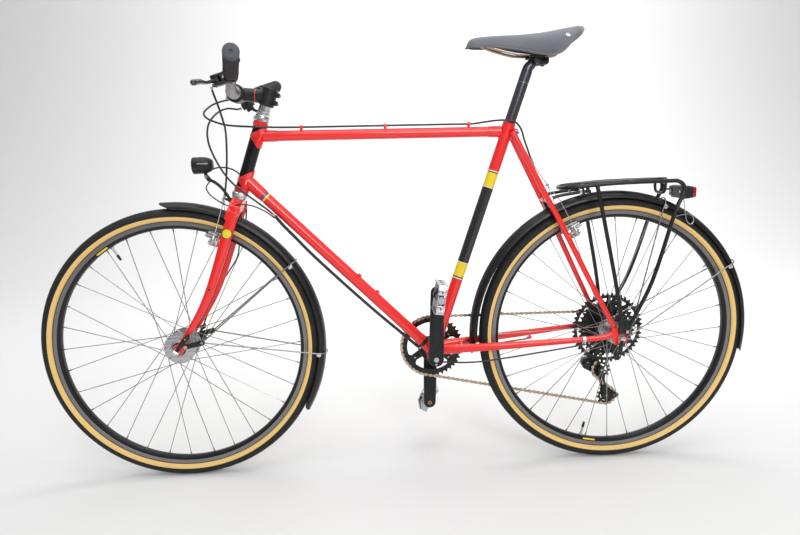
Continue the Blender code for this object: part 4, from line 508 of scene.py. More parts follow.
def block(centre, size, material, x_axis=(1, 0, 0), z_axis=(0, 0, 1), soft=0.0008):
    """A box with rounded edges, turned to two of its axes."""
    shape = bmesh.new()
    bmesh.ops.create_cube(shape, size=1)
    bmesh.ops.scale(shape, vec=size, verts=shape.verts)
    bmesh.ops.bevel(shape, geom=list(shape.edges) + list(shape.verts), offset=soft, segments=3,
                    profile=0.5, affect="EDGES")
    x_axis = Vector(x_axis).normalized()
    z_axis = Vector(z_axis).normalized()
    matrix = Matrix((x_axis, z_axis.cross(x_axis), z_axis)).transposed().to_4x4()
    matrix.translation = centre
    return wear(shape, material, matrix)


def plate(outline, thickness, matrix, material, holes=(), soft=0.0003):
    """A flat outline with holes and softened edges, in the XY plane of a matrix."""
    curve = bpy.data.curves.new("outline", "CURVE")
    curve.dimensions = "2D"
    curve.fill_mode = "BOTH"
    curve.extrude = thickness / 2 - soft
    curve.bevel_depth = soft
    curve.bevel_resolution = 1
    curve.offset = -soft
    for loop in (outline, *holes):
        spline = curve.splines.new("POLY")
        spline.points.add(len(loop) - 1)
        spline.use_cyclic_u = True
        for index, (x, y) in enumerate(loop):
            spline.points[index].co = (x, y, 0, 1)
    holder = bpy.data.objects.new("outline", curve)
    bpy.context.scene.collection.objects.link(holder)
    graph = bpy.context.evaluated_depsgraph_get()
    mesh = bpy.data.meshes.new_from_object(holder.evaluated_get(graph))
    shape = bmesh.new()
    shape.from_mesh(mesh)
    bmesh.ops.remove_doubles(shape, verts=shape.verts, dist=0.000005)
    bpy.data.objects.remove(holder)
    bpy.data.curves.remove(curve)
    bpy.data.meshes.remove(mesh)
    return wear(shape, material, matrix, 25)


def side_plate(outline, thickness, y, centre, material, holes=(), soft=0.0003):
    """A plate in the plane of the wheels, its outline given from a centre."""
    matrix = Matrix(((1, 0, 0, centre[0]), (0, 0, -1, y), (0, 1, 0, centre[2]), (0, 0, 0, 1)))
    return plate(outline, thickness, matrix, material, holes, soft)


# %% [markdown]
# ## Putting parts together
#
# A brake arm, a pedal or a hub is made of a dozen shapes, but it moves as one thing. `gather`
# merges the shapes into one mesh that keeps each shape's finish, lets it ride on its body, and
# hides the solid it stands for. The solid itself stays in the physics.


# %% One object from many shapes
def gather(name, body, items, *solids):
    """Merge shapes into one object that rides on a body and stands for these solids."""
    whole = bmesh.new()
    finishes = []
    for item in items:
        mesh = item.data
        for material in mesh.materials:
            if material not in finishes:
                finishes.append(material)
        places = np.array([finishes.index(material) for material in mesh.materials])
        index = np.zeros(len(mesh.polygons), np.int32)
        mesh.polygons.foreach_get("material_index", index)
        mesh.polygons.foreach_set("material_index", places[index].astype(np.int32))
        whole.from_mesh(mesh)
        bpy.data.objects.remove(item)
        bpy.data.meshes.remove(mesh)
    mesh = bpy.data.meshes.new(name)
    whole.to_mesh(mesh)
    whole.free()
    for material in finishes:
        mesh.materials.append(material)
    piece = bpy.data.objects.new(name, mesh)
    bpy.context.scene.collection.objects.link(piece)
    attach(piece, body)
    if solids:
        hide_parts(*solids)
    print(name, "rides on", body, "with", len(mesh.polygons), "faces")
    return piece


def slanted(item, place, direction):
    """Cut a shape off at a plane and close it; what the direction points at goes."""
    shape = bmesh.new()
    shape.from_mesh(item.data)
    cut = bmesh.ops.bisect_plane(shape, geom=list(shape.verts) + list(shape.edges) + list(shape.faces),
                                 plane_co=place, plane_no=direction, clear_outer=True)
    edges = [part for part in cut["geom_cut"] if isinstance(part, bmesh.types.BMEdge)]
    bmesh.ops.holes_fill(shape, edges=edges)
    bmesh.ops.recalc_face_normals(shape, faces=shape.faces)
    shape.to_mesh(item.data)
    shape.free()
    return item

# %% [markdown]
# ## Tubes and lugs
#
# The frame is brazed: each joint is a lug, a thin cast socket that wraps both tubes. Its edge
# ends in a point, which spreads the load and is what makes the joint look drawn rather than
# glued. A lug here is a sleeve turned round the head tube and cut by two slanting planes, so the
# point falls where the planes meet. The head tube itself is black between its two lugs.

# %% Head tube, top tube and down tube
HEAD_R = 0.0159
LUG_R = HEAD_R + 0.0023
TOP_TUBE_R = 0.0127
MAIN_TUBE_R = 0.0143
TOP_TUBE_Z = 0.867
DOWN_TOP = Vector((-0.8284, 0, 0.6685))
DOWN_DIR = (Vector((-0.5676, 0, 0.4096)) - DOWN_TOP).normalized()
DOWN_NORMAL = Vector((-DOWN_DIR.z, 0, DOWN_DIR.x))


def sleeve(place, axis, low, high, radius, bore, material, soft=0.0005, steps=64):
    """A ring-shaped solid from low to high up an axis."""
    profile = [(bore, low), (radius - soft, low), (radius, low + soft), (radius, high - soft),
               (radius - soft, high), (bore, high)]
    return lathe(profile, place, axis, material, steps, closed=True)


def pointed_lug(low, high, tip, tip_ahead, above, below):
    """A sleeve round the head tube whose front runs to a point, the tip."""
    lug = sleeve(steer(0), STEER_UP, low, high, LUG_R, HEAD_R + 0.0001, RED, 0.0008)
    point = steer(tip, tip_ahead)
    for rise, normal_up in ((above, 1), (below, -1)):
        normal = STEER_UP * normal_up * cos(rise) + STEER_AHEAD * sin(rise)
        slanted(lug, point, normal)
    return lug


def cable_guide(x):
    """A brazed-on ring that the brake cable runs through."""
    ring = sleeve((x - 0.004, -0.004, 0.8866), (1, 0, 0), 0, 0.008, 0.0046, 0.0031, RED, 0.0006, 24)
    foot = block((x, -0.004, 0.881), (0.0065, 0.0042, 0.006), RED)
    return [ring, foot]


head = sleeve(steer(0), STEER_UP, 0.421, 0.598, HEAD_R, 0.0135, HEAD_BLACK)
gather("head_tube_black", "frame", [head], "head_tube")

top_parts = [rod((steer(0.5611).x + 0.014, 0, TOP_TUBE_Z), (-0.2945, 0, TOP_TUBE_Z), TOP_TUBE_R, RED,
                 steps=64),
             sleeve(steer(0), STEER_UP, 0.585, 0.5978, LUG_R, HEAD_R + 0.0001, RED, 0.001),
             pointed_lug(0.535, 0.59, 0.56, 0.0175, radians(41), radians(42)),
             rod((steer(0.5611).x + 0.015, 0, TOP_TUBE_Z), (steer(0.5611).x + 0.05, 0, TOP_TUBE_Z),
                 TOP_TUBE_R + 0.0016, RED, TOP_TUBE_R + 0.001, steps=64),
             rod((-0.326, 0, TOP_TUBE_Z), (-0.295, 0, TOP_TUBE_Z), TOP_TUBE_R + 0.001, RED,
                 TOP_TUBE_R + 0.0018, steps=64)]
for guide_x in (-0.7836, -0.58, -0.3751):
    top_parts += cable_guide(guide_x)
gather("top_tube_lugged", "frame", top_parts, "top_tube")

down_parts = [rod(DOWN_TOP - DOWN_DIR * 0.137, BB - DOWN_DIR * 0.012, MAIN_TUBE_R, RED, steps=64),
              sleeve(steer(0), STEER_UP, 0.4213, 0.433, LUG_R, HEAD_R + 0.0001, RED, 0.001),
              pointed_lug(0.429, 0.495, 0.449, 0.0175, radians(42), radians(40)),
              rod(DOWN_TOP - DOWN_DIR * 0.132, DOWN_TOP - DOWN_DIR * 0.08, MAIN_TUBE_R + 0.0018, RED,
                  MAIN_TUBE_R + 0.0011, steps=64),
              rod(BB - DOWN_DIR * 0.052, BB - DOWN_DIR * 0.016, MAIN_TUBE_R + 0.001, RED,
                  MAIN_TUBE_R + 0.0018, steps=64)]
for low, high, material in ((-0.0785, -0.0725, VIOLET), (-0.0725, -0.0675, YELLOW)):
    down_parts.append(sleeve(DOWN_TOP, DOWN_DIR, low, high, MAIN_TUBE_R + 0.00012, MAIN_TUBE_R - 0.0005,
                             material, 0.0001))
for spot in (Vector((-0.6647, 0, 0.506)), Vector((-0.6202, 0, 0.4618))):
    down_parts += [rod(spot + DOWN_NORMAL * 0.012, spot + DOWN_NORMAL * 0.0165, 0.006, RED),
                   rod(spot + DOWN_NORMAL * 0.0165, spot + DOWN_NORMAL * 0.0194, 0.0048, SATIN)]
band_at = DOWN_TOP + DOWN_DIR * 0.466
down_parts += [sleeve(band_at, DOWN_DIR, 0, 0.01, MAIN_TUBE_R + 0.0018, MAIN_TUBE_R - 0.0005, PLASTIC),
               block(band_at + DOWN_DIR * 0.005 - DOWN_NORMAL * 0.015, (0.0095, 0.015, 0.006), PLASTIC,
                     DOWN_DIR, DOWN_NORMAL)]
gather("down_tube_lugged", "frame", down_parts, "down_tube")

# %% [markdown]
# ## Seat tube
#
# The seat tube carries the frame's only large colour: a black panel between two yellow bands,
# edged by fine white lines. Transfers lie flat on a tube, so the simplest true way is to stack
# rings of the same radius, each with its own finish. The panel stays bare.

# %% Seat tube with its bands, the bottom bracket shell and the seat lug
SEAT_TOP = 0.608
BANDS = [(0.012, 0.2015, RED), (0.2015, 0.2042, WHITE), (0.2042, 0.2075, BLACK_BAND),
         (0.2075, 0.244, YELLOW), (0.244, 0.2458, WHITE), (0.2458, 0.4425, BLACK_BAND),
         (0.4425, 0.4443, WHITE), (0.4443, 0.481, YELLOW), (0.481, 0.4835, BLACK_BAND),
         (0.4835, 0.4862, WHITE), (0.4862, 0.606, RED)]
seat_parts = [sleeve(BB, SEAT_UP, low, high, MAIN_TUBE_R, 0.0139, material, 0.00002) for low, high,
              material in BANDS]
seat_parts += [sleeve(BB, SEAT_UP, 0.566, SEAT_TOP + 0.0004, MAIN_TUBE_R + 0.002, 0.014, RED, 0.0008),
               sleeve(BB, SEAT_UP, 0.018, 0.05, MAIN_TUBE_R + 0.0014, 0.014, RED, 0.0008),
               sleeve(BB, ACROSS, -0.034, 0.034, 0.02, 0.0125, RED, 0.001)]
for shell_side in (-1, 1):
    seat_parts.append(sleeve(BB + ACROSS * shell_side * 0.04, ACROSS, -0.0058, 0.0058, 0.0178, 0.0125,
                             PLASTIC, 0.0008))
seat_parts += [block((-0.261, 0, 0.864), (0.015, 0.0195, 0.0195), RED, SEAT_BACK, SEAT_UP, 0.004),
               rod((-0.2565, -0.0135, 0.8635), (-0.2565, 0.0135, 0.8635), 0.0058, ALLOY),
               rod((-0.2565, -0.0142, 0.8635), (-0.2565, 0.0142, 0.8635), 0.0028, PLASTIC)]
gather("seat_tube_banded", "frame", seat_parts, "seat_tube")

# %% [markdown]
# ## Stays and dropouts
#
# Four thin stays hold the rear wheel. The chain stays are squeezed oval so that the tyre clears
# them, and both pairs taper towards the dropouts, the slotted plates that take the axle. A tube
# that follows a smooth curve with a radius for every point gives the taper in one go.

# %% Chain stays, seat stays and the plates between them
DROPOUT_Y = 0.0678
DROPOUT_OUT = 0.0703
SLOT_R = 0.0052
PLATE_HALF = 0.0025
CLEARANCE = 0.0003


def slot_arc(parts=12):
    """The round end of an axle slot, from its right side to its left."""
    return [polar(SLOT_R, pi * k / parts) for k in range(parts + 1)]


def circle(radius, points=32, centre=(0, 0)):
    return [polar(radius, tau * k / points, centre) for k in range(points)]


def dropout(side):
    """The rear dropout; the right one carries the hanger for the derailleur."""
    outline = [(-0.0225, -0.006), (-0.0215, 0.012), (-0.012, 0.026), (0.008, 0.0265), (0.019, 0.022),
               (0.0255, 0.008), (0.0225, -0.004), (0.015, -0.01)]
    if side > 0:
        outline += [(0.019, -0.026), (0.016, -0.037), (0.006, -0.038), (0.003, -0.024)]
    outline += [(SLOT_R, -0.02)] + slot_arc() + [(-SLOT_R, -0.0185), (-0.014, -0.0175)]
    return side_plate(outline, 0.005, side * DROPOUT_Y, REAR_AXLE, RED, soft=0.001)


CHAIN_STAY = [(-0.455, 0.0215, 0.319), (-0.385, 0.0312, 0.324), (-0.3665, 0.0345, 0.3253),
              (-0.3, 0.043, 0.33), (-0.2008, 0.052, 0.3368), (-0.1, 0.0615, 0.3445),
              (-0.052, 0.065, 0.349), (-0.0285, 0.0672, 0.3545), (-0.019, 0.0675, 0.3635),
              (-0.0172, 0.0675, 0.3755)]
CHAIN_STAY_R = [0.011, 0.011, 0.0108, 0.01, 0.0085, 0.0072, 0.0068, 0.0066, 0.0065, 0.006]
SEAT_STAY = [(-0.27, 0.019, 0.866), (-0.1809, 0.034, 0.6957), (-0.1534, 0.039, 0.6447),
             (-0.0923, 0.051, 0.5222), (-0.0398, 0.062, 0.4188), (-0.0185, 0.0672, 0.378)]
SEAT_STAY_R = [0.0072, 0.007, 0.007, 0.0068, 0.0064, 0.0058]


def chain_stay(side):
    route = flow([sided(point, side) for point in CHAIN_STAY])
    lug = flow([sided(point, side) for point in CHAIN_STAY[:2]], 4)[:4]
    yield pipe(route, spread(CHAIN_STAY_R), RED, 28, 0.78)
    yield pipe(lug, 0.0122, RED, 28, 0.8)
    yield dropout(side)
    if side < 0:
        yield rod((-0.3955, -0.03, 0.3232), (-0.3955, 0.033, 0.3232), 0.006, RED)
        yield sleeve((-0.0955, -0.0615, 0.3449), (1, -0.09, 0.08), 0, 0.0085, 0.0083, 0.006, ALLOY,
                     0.0006, 32)
        yield block((-0.0912, -0.063, 0.3352), (0.0075, 0.0045, 0.007), ALLOY)
    else:
        yield rod((-0.208, 0.059, 0.3185), (-0.194, 0.06, 0.32), 0.0038, RED)
        yield block((-0.201, 0.056, 0.323), (0.006, 0.004, 0.008), RED)


def brake_frame(front):
    """A brake pivot, the directions up its tube and along its stud, and two distances."""
    if front:
        return steer(0.287, -0.003), STEER_UP, STEER_AHEAD, 0.0475, 0.0142
    return (Vector((-0.1333, 0, 0.6044)), Vector((-0.4463, 0, 0.8949)), Vector((0.8949, 0, 0.4463)),
            0.043, 0.0095)


def brake_point(front, side, up, out, along):
    """A point up from the pivot, outward from it, and along the stud."""
    pivot, up_axis, stud_axis, offset, foot = brake_frame(front)
    return (pivot + up_axis * up + stud_axis * (foot + along) + ACROSS * side * (offset + out))


ARM_DEPTH = 0.0195


def stud(front, side):
    """The brazed-on stud that a brake arm turns on, and its bolt."""
    foot = brake_frame(front)[4]
    points = [brake_point(front, side, 0, 0, along)
              for along in (-foot, -0.0006, ARM_DEPTH + 0.0004, ARM_DEPTH + 0.004)]
    # The thin black rod that ends at the bolt head's face is painted shade for its hex socket.
    socket = points[2] - brake_frame(front)[2] * -0.0037
    return [rod(points[0], points[1], 0.007, RED),
            rod(points[1], points[2], 0.0042, ALLOY),
            rod(points[2], points[3], 0.0063, ALLOY),
            rod(points[2], socket, 0.0026, PLASTIC)]


def seat_stay(side):
    route = [sided(point, side) for point in SEAT_STAY]
    yield pipe(flow(route), spread(SEAT_STAY_R), RED, 28)
    yield rod(route[0], route[0] + (route[1] - route[0]).normalized() * 0.016, 0.0074, RED)
    yield pipe([route[0] + Vector((0, -side * 0.0035, 0.0045)), route[0]], [0.003, 0.0072], RED)
    yield from stud(False, side)
    if side < 0:
        yield rod((-0.182, -0.034, 0.6965), (-0.182, 0.035, 0.6965), 0.0055, RED)
        yield rod((-0.182, -0.01, 0.6965), (-0.182, 0.01, 0.6965), 0.0068, RED)


for stay_side, word in SIDES:
    gather(word + "_chain_stay_tapered", "frame", chain_stay(stay_side), word + "_chain_stay")
    gather(word + "_seat_stay_tapered", "frame", seat_stay(stay_side), word + "_seat_stay")

# %% [markdown]
# ## Fork, headset and stem
#
# The fork blades are oval at the crown, round and thin at the tips, and swept forward only near
# the wheel: that sweep is the rake, which makes the steering steady. A plain yellow disc sits
# high on each blade. Above the frame, a polished adapter carries a modern black stem.

# %% Fork with its crown, tips and discs
CUP_TOP = 0.612
FORK_Y = 0.0528
BLADE = [(0.385, -0.003, 0.0405, 0.0138), (0.34, -0.003, 0.043, 0.0136), (0.287, -0.003, 0.047, 0.0128),
         (0.23, -0.003, 0.0495, 0.0115), (0.17, -0.001, 0.051, 0.0102), (0.12, 0.005, 0.052, 0.009),
         (0.08, 0.0135, 0.0525, 0.008), (0.045, 0.0228, 0.0527, 0.007), (0.016, 0.031, 0.0528, 0.006)]
CROWN = [(-0.053, 0.35), (-0.052, 0.372), (-0.036, 0.393), (-0.019, 0.4027), (0.019, 0.4027),
         (0.036, 0.393), (0.052, 0.372), (0.053, 0.35), (0.03, 0.35), (0.029, 0.364), (0.024, 0.3695),
         (-0.024, 0.3695), (-0.029, 0.364), (-0.03, 0.35)]
TIP = [(-0.0085, -0.004), (-0.0085, 0.0085), (0.0, 0.016), (0.015, 0.022), (0.028, 0.019),
       (0.03, 0.008), (0.014, -0.002), (0.01, -0.011),
       (SLOT_R, -0.0125)] + slot_arc() + [(-SLOT_R, -0.0105)]


def fork_disc(side):
    """A plain yellow disc laid over the round outer face of a blade, with a thin black edge."""
    for reach, lift, material in ((0.0124, 0.0003, BLACK_BAND), (0.0109, 0.0005, YELLOW)):
        shape = bmesh.new()
        rings = []
        for share in (0.05, 0.4, 0.7, 0.9, 1.0):
            ring = []
            for k in range(40):
                along = reach * share * sin(tau * k / 40)
                ahead = reach * share * cos(tau * k / 40)
                bulge = 0.0096 * sqrt(1 - (ahead / 0.0134) ** 2)
                out = 0.0446 - 0.0755 * along + bulge + lift
                ring.append(shape.verts.new(steer(0.319 + along, ahead - 0.003, side * out)))
            rings.append(ring)
        shape.faces.new(rings[0])
        skin(shape, rings)
        yield wear(shape, material)


def fork_parts():
    crown_matrix = Matrix((-ACROSS, STEER_UP, STEER_AHEAD)).transposed().to_4x4()
    crown_matrix.translation = steer(0)
    yield rod(steer(0.38), steer(CUP_TOP - 0.0005), 0.0127, SATIN)
    yield plate(CROWN, 0.028, crown_matrix, RED, soft=0.004)
    for side in (-1, 1):
        route = [steer(along, forward, side * y) for along, forward, y, radius in BLADE]
        yield pipe(flow(route), spread([row[3] for row in BLADE]), RED, 32, 0.72)
        yield from stud(True, side)
        yield rod(steer(0.1755, -0.001, side * 0.05), steer(0.1755, -0.001, side * 0.06), 0.005, RED)
        # The thin black disc on the eyelet's face is painted shade for its threaded hole.
        yield rod(steer(0.1755, -0.001, side * 0.06), steer(0.1755, -0.001, side * 0.0604), 0.0026,
                  PLASTIC, soft=0.0001)
        yield side_plate(TIP, 0.005, side * FORK_Y, FRONT_AXLE, RED, soft=0.001)
        yield from fork_disc(side)


gather("fork_raked", "steering", fork_parts(), "fork")

# %% Headset cups and the stem adapter
lower = lathe([(0.0131, 0.403), (0.018, 0.403), (0.019, 0.404), (0.019, 0.4085), (0.02, 0.4095),
               (0.0205, 0.411), (0.0205, 0.416), (0.0185, 0.418), (0.0185, 0.4207), (0.0131, 0.4207)],
              steer(0), STEER_UP, ALLOY, 64, True)
gather("lower_headset_cup_polished", "frame", [lower], "lower_headset_cup")
upper = lathe([(0.0131, 0.5983), (0.019, 0.5983), (0.02, 0.5995), (0.02, 0.6045), (0.0188, 0.6058),
               (0.0178, 0.6062), (0.0178, 0.6105), (0.0168, 0.612), (0.0131, 0.612)], steer(0),
              STEER_UP, ALLOY, 64, True)
gather("upper_headset_cup_polished", "frame", [upper], "upper_headset_cup")


def spanner_nut(low, high, radius):
    """A headset nut with flats for a spanner."""
    nut_matrix = toward(steer((low + high) / 2), STEER_UP)
    return plate(circle(radius, 8), high - low, nut_matrix, ALLOY, soft=0.0006)


adapter_parts = [spanner_nut(CUP_TOP + 0.0004, 0.619, 0.0168),
                 rod(steer(0.619), steer(0.626), 0.015, ALLOY, steps=48),
                 rod(steer(0.6262), steer(0.636), 0.0148, ALLOY, steps=48),
                 rod(steer(0.636), steer(0.679), 0.0143, ALLOY, steps=48)]
gather("stem_adapter_polished", "steering", adapter_parts, "stem_adapter")

# %% Stem
STEM_AT = steer(0.659)
BAR_AT = Vector((-0.934, 0, 0.9675))


def stem_parts():
    reach = (BAR_AT - STEM_AT).normalized()
    cross = reach.cross(ACROSS)
    yield sleeve(steer(0), STEER_UP, 0.6365, 0.68, 0.019, 0.0146, PLASTIC, 0.002)
    yield pipe([STEM_AT + reach * 0.012, STEM_AT + reach * 0.024, BAR_AT - reach * 0.018],
               [0.0175, 0.0163, 0.0158], PLASTIC, 32)
    yield sleeve(BAR_AT, ACROSS, -0.021, 0.021, 0.0215, 0.0162, PLASTIC, 0.0016)
    ring_at = STEM_AT + reach * 0.03
    yield sleeve(ring_at, reach, -0.0009, 0.0009, 0.01645, 0.015, RED, 0.0002)
    for side in (-1, 1):
        for lift in (0.6495, 0.669):
            yield block(steer(lift, -0.019, side * 0.0062), (0.013, 0.0085, 0.012), PLASTIC,
                        STEER_AHEAD, STEER_UP, 0.0036)
        for lift in (0.013, -0.013):
            bolt = BAR_AT + reach * 0.015 + cross * lift + ACROSS * side * 0.015
            yield rod(bolt, bolt + reach * 0.0068, 0.0038, SATIN)
    for lift in (0.649, 0.669):
        yield rod(steer(lift, -0.0225, -0.012), steer(lift, -0.0225, 0.012), 0.004, ANODISED)


gather("stem_black", "steering", stem_parts(), "stem")

# %% [markdown]
# ## Tyres
#
# A gravel tyre has a black tread of small blocks on a light, tan casing. The casing and the
# tread's base are turned; the blocks are then set out in staggered rows across the crown. They
# are real raised blocks, since a bump would leave the tyre's edge perfectly round against the
# light.

# %% A turned casing and its rows of blocks
TYRE_R = 0.019
CROWN_R = WHEEL_R - TYRE_R
BLOCKS = 280
BLOCK_ROWS = (-82, -70, -58, -46, -34, -22, -10, 10, 22, 34, 46, 58, 70, 82)


def arc(radius, first, last, steps, centre=0.0):
    """Profile points (radius, height) on a circle, from one angle in degrees to another."""
    angles = np.radians(np.linspace(first, last, steps))
    return [(centre + radius * cos(a), radius * sin(a)) for a in angles]


def tread_blocks(axle):
    """Staggered rows of small raised blocks, each a cut-off pyramid."""
    shape = bmesh.new()
    half = pi / BLOCKS
    for row, middle in enumerate(BLOCK_ROWS):
        long = 0.86 if abs(middle) > 60 else 0.72
        for k in range(BLOCKS):
            turn_to = tau * (k + 0.5 * (row % 2)) / BLOCKS
            loops = []
            for height, size in ((0.0178, 1.0), (TYRE_R, 0.72)):
                loop = []
                for u, v in ((-1, 0), (-0.3, -1), (0.3, -1), (1, 0), (0.3, 1), (-0.3, 1)):
                    around = radians(middle + 5.3 * v * size)
                    angle = turn_to + half * u * long * size
                    radius = CROWN_R + height * cos(around)
                    loop.append(shape.verts.new((*polar(radius, angle), height * sin(around))))
                loops.append(loop)
            skin(shape, loops)
            shape.faces.new(loops[0])
            shape.faces.new(loops[1])
    return wear(shape, TREAD, toward(axle, ACROSS), 20)


def tyre_parts(axle):
    """Tan casing with beads in the rim, and a black tread cap over its crown."""
    outside = arc(0.0181, 122, -122, 41, CROWN_R)
    inside = arc(0.016, -100, 100, 21, CROWN_R)
    casing = [(0.31, 0.0098), (0.3175, 0.0098)] + outside
    casing += [(0.3175, -0.0098), (0.31, -0.0098), (0.31, -0.0072)] + inside
    casing += [(0.31, 0.0072)]
    cap = arc(0.01835, 92, -92, 33, CROWN_R) + arc(0.0176, -92, 92, 33, CROWN_R)
    yield lathe(casing, axle, ACROSS, TAN, 160, True)
    yield lathe(cap, axle, ACROSS, TREAD, 160, True)
    for side in (-1, 1):
        edge = [(RIM_R, side * 0.0102), (RIM_R, side * 0.0121), (0.3181, side * 0.0126),
                (0.3187, side * 0.012), (0.3187, side * 0.0102)]
        yield lathe(edge, axle, ACROSS, TREAD, 128, True)
    yield tread_blocks(axle)


for word, axle in (("front", FRONT_AXLE), ("rear", REAR_AXLE)):
    gather(word + "_tyre_treaded", word + "_wheel", tyre_parts(axle), word + "_tyre")

# %% [markdown]
# ## Rims
#
# The rim is a black channel with a grey band on each side, where the brake blocks have worn it
# bright. A valve comes through beside a small transfer, and every spoke ends in a nipple.

# %% Rims with brake tracks, valves and nipples
RIM_WELL_R = 0.2988
RIM_HALF = 0.012
SPOKES = 32
VALVES = {"front": radians(120.8), "rear": radians(-104)}


def on_wheel(axle, radius, angle, across=0.0):
    """A point on a wheel, its angle measured upwards from the back."""
    return axle + Vector((radius * cos(angle), across, radius * sin(angle)))


def spoke_routes(axle, flanges):
    """Three-cross lacing: each spoke's hole in the flange and its end in the rim."""
    routes = []
    step = tau / (SPOKES // 2)
    for index, (flange_y, hole_r) in enumerate(flanges):
        side = 1 if flange_y > 0 else -1
        for k in range(SPOKES // 2):
            turning = 1 if k % 2 else -1
            start = step * k + index * step / 2
            end = start + turning * 3 * step
            routes.append((on_wheel(axle, hole_r, start, flange_y + turning * 0.0012),
                           on_wheel(axle, RIM_WELL_R, end, side * 0.003 + turning * 0.0012)))
    return routes


def rim_label(axle, angle, side):
    """A plain yellow transfer on the rim's wall beside the valve."""
    shape = bmesh.new()
    rows = []
    for radius, across in ((0.3012, 0.0098), (0.3048, 0.0109)):
        rows.append([shape.verts.new(on_wheel(axle, radius, angle + part * 0.018,
                                              side * (across + 0.0003))) for part in range(-3, 4)])
    skin(shape, [rows[0], rows[1]])
    return wear(shape, YELLOW)


def rim_parts(axle, angle, flanges):
    half = RIM_HALF
    walls = [(0.3076, half - 0.0003), (0.3012, 0.0098), (0.2996, 0.0072), (RIM_WELL_R, 0.004)]
    mirrored_walls = [(radius, -across) for radius, across in reversed(walls)]
    channel = [(0.3076, half - 0.0016)] + walls + mirrored_walls
    channel += [(0.3076, -half + 0.0016), (0.3095, -half + 0.0016), (0.3095, half - 0.0016)]
    yield lathe(channel, axle, ACROSS, RIM_BLACK, 128, True)
    for side in (-1, 1):
        track = [(0.3076, side * (half - 0.0016)), (0.3076, side * (half - 0.0004)),
                 (0.308, side * half), (0.3135, side * half), (0.3137, side * (half - 0.0004)),
                 (RIM_R, side * (half - 0.0004)), (RIM_R, side * (half - 0.0012)),
                 (0.316, side * (half - 0.0016))]
        yield lathe(track, axle, ACROSS, TRACK, 128, True)
        yield rim_label(axle, angle + 0.07, side)
    for hole, end in spoke_routes(axle, flanges):
        back = (hole - end).normalized()
        yield rod(end, end + back * 0.009, 0.0019, STEEL, 0.0016, 0.0003, 10)
    stem = on_wheel(axle, RIM_WELL_R + 0.002, angle)
    inward = (axle - stem).normalized()
    yield rod(stem, stem + inward * 0.029, 0.003, SATIN, steps=16)
    yield rod(stem + inward * 0.003, stem + inward * 0.006, 0.0052, SATIN, steps=16)
    yield rod(stem + inward * 0.025, stem + inward * 0.04, 0.0036, PLASTIC, 0.003, steps=16)


FRONT_FLANGES = ((-0.026, 0.0358), (0.026, 0.0358))
REAR_FLANGES = ((-0.033, 0.0225), (0.0195, 0.0225))
for word, axle, flanges in (("front", FRONT_AXLE, FRONT_FLANGES), ("rear", REAR_AXLE, REAR_FLANGES)):
    gather(word + "_rim_with_valve", word + "_wheel", rim_parts(axle, VALVES[word], flanges),
           word + "_rim")

# %% [markdown]
# ## Hubs and spokes
#
# The front hub is large because it also makes the current for the lamps. Every flange has a hole
# for each of its spokes. A spoke is a thin wire with a flat head, pulled through its hole and
# crossed three times on its way to the rim.

# %% Hubs, spokes and axles


def stack(place, axis, sections, material, steps=40, soft=0.0005):
    """Round sections up an axis, each (low, high, radius)."""
    axis = Vector(axis).normalized()
    return [rod(Vector(place) + axis * low, Vector(place) + axis * high, radius, material, soft=soft,
                steps=steps) for low, high, radius in sections]


def spokes(axle, flanges):
    for hole, end in spoke_routes(axle, flanges):
        outward = 1 if hole.y > 0 else -1
        head = hole + ACROSS * outward * 0.0012
        yield pipe([head, hole, hole.lerp(end, 0.015), end], 0.001, STEEL, 8)
        yield rod(head, head + ACROSS * outward * 0.001, 0.0018, STEEL, soft=0.0002, steps=10)


def flange(axle, y, radius, hole_r):
    """A hub flange with a hole for every spoke."""
    holes = [circle(0.0012, 8, polar(hole_r, a)) for a in (tau * (k + 0.5) / 16 for k in range(16))]
    return side_plate(circle(radius, 96), 0.0042, y, axle, SATIN, holes, 0.0008)


def front_hub():
    shell = [(0.0067, -0.044), (0.0132, -0.044), (0.014, -0.0432), (0.014, -0.034), (0.017, -0.03),
             (0.025, -0.027), (0.028, -0.0232), (0.0272, -0.012), (0.0272, 0.012), (0.028, 0.0232),
             (0.025, 0.027), (0.017, 0.03), (0.014, 0.034), (0.014, 0.0432), (0.0132, 0.044),
             (0.0067, 0.044)]
    yield lathe(shell, FRONT_AXLE, ACROSS, SATIN, 96, True)
    for y, hole_r in FRONT_FLANGES:
        yield flange(FRONT_AXLE, y, 0.0394, hole_r)
        outward = copysign(1.0, y)
        yield rod(FRONT_AXLE + ACROSS * outward * 0.032, FRONT_AXLE + ACROSS * outward * 0.0365, 0.0172,
                  PLASTIC, soft=0.0012, steps=64)
    yield from spokes(FRONT_AXLE, FRONT_FLANGES)


def rear_hub():
    shell = [(0.0067, -0.056), (0.0112, -0.056), (0.012, -0.0552), (0.0122, -0.04), (0.015, -0.035),
             (0.0165, -0.03), (0.013, -0.018), (0.0128, 0.01), (0.0165, 0.0165), (0.019, 0.0195),
             (0.019, 0.0219), (0.0067, 0.0219)]
    yield lathe(shell, REAR_AXLE, ACROSS, ALLOY, 64, True)
    for y, hole_r in REAR_FLANGES:
        yield flange(REAR_AXLE, y, 0.0259, hole_r)
    yield from spokes(REAR_AXLE, REAR_FLANGES)


gather("front_hub_spoked", "front_wheel", front_hub(), "front_hub")
gather("rear_hub_spoked", "rear_wheel", rear_hub(), "rear_hub")


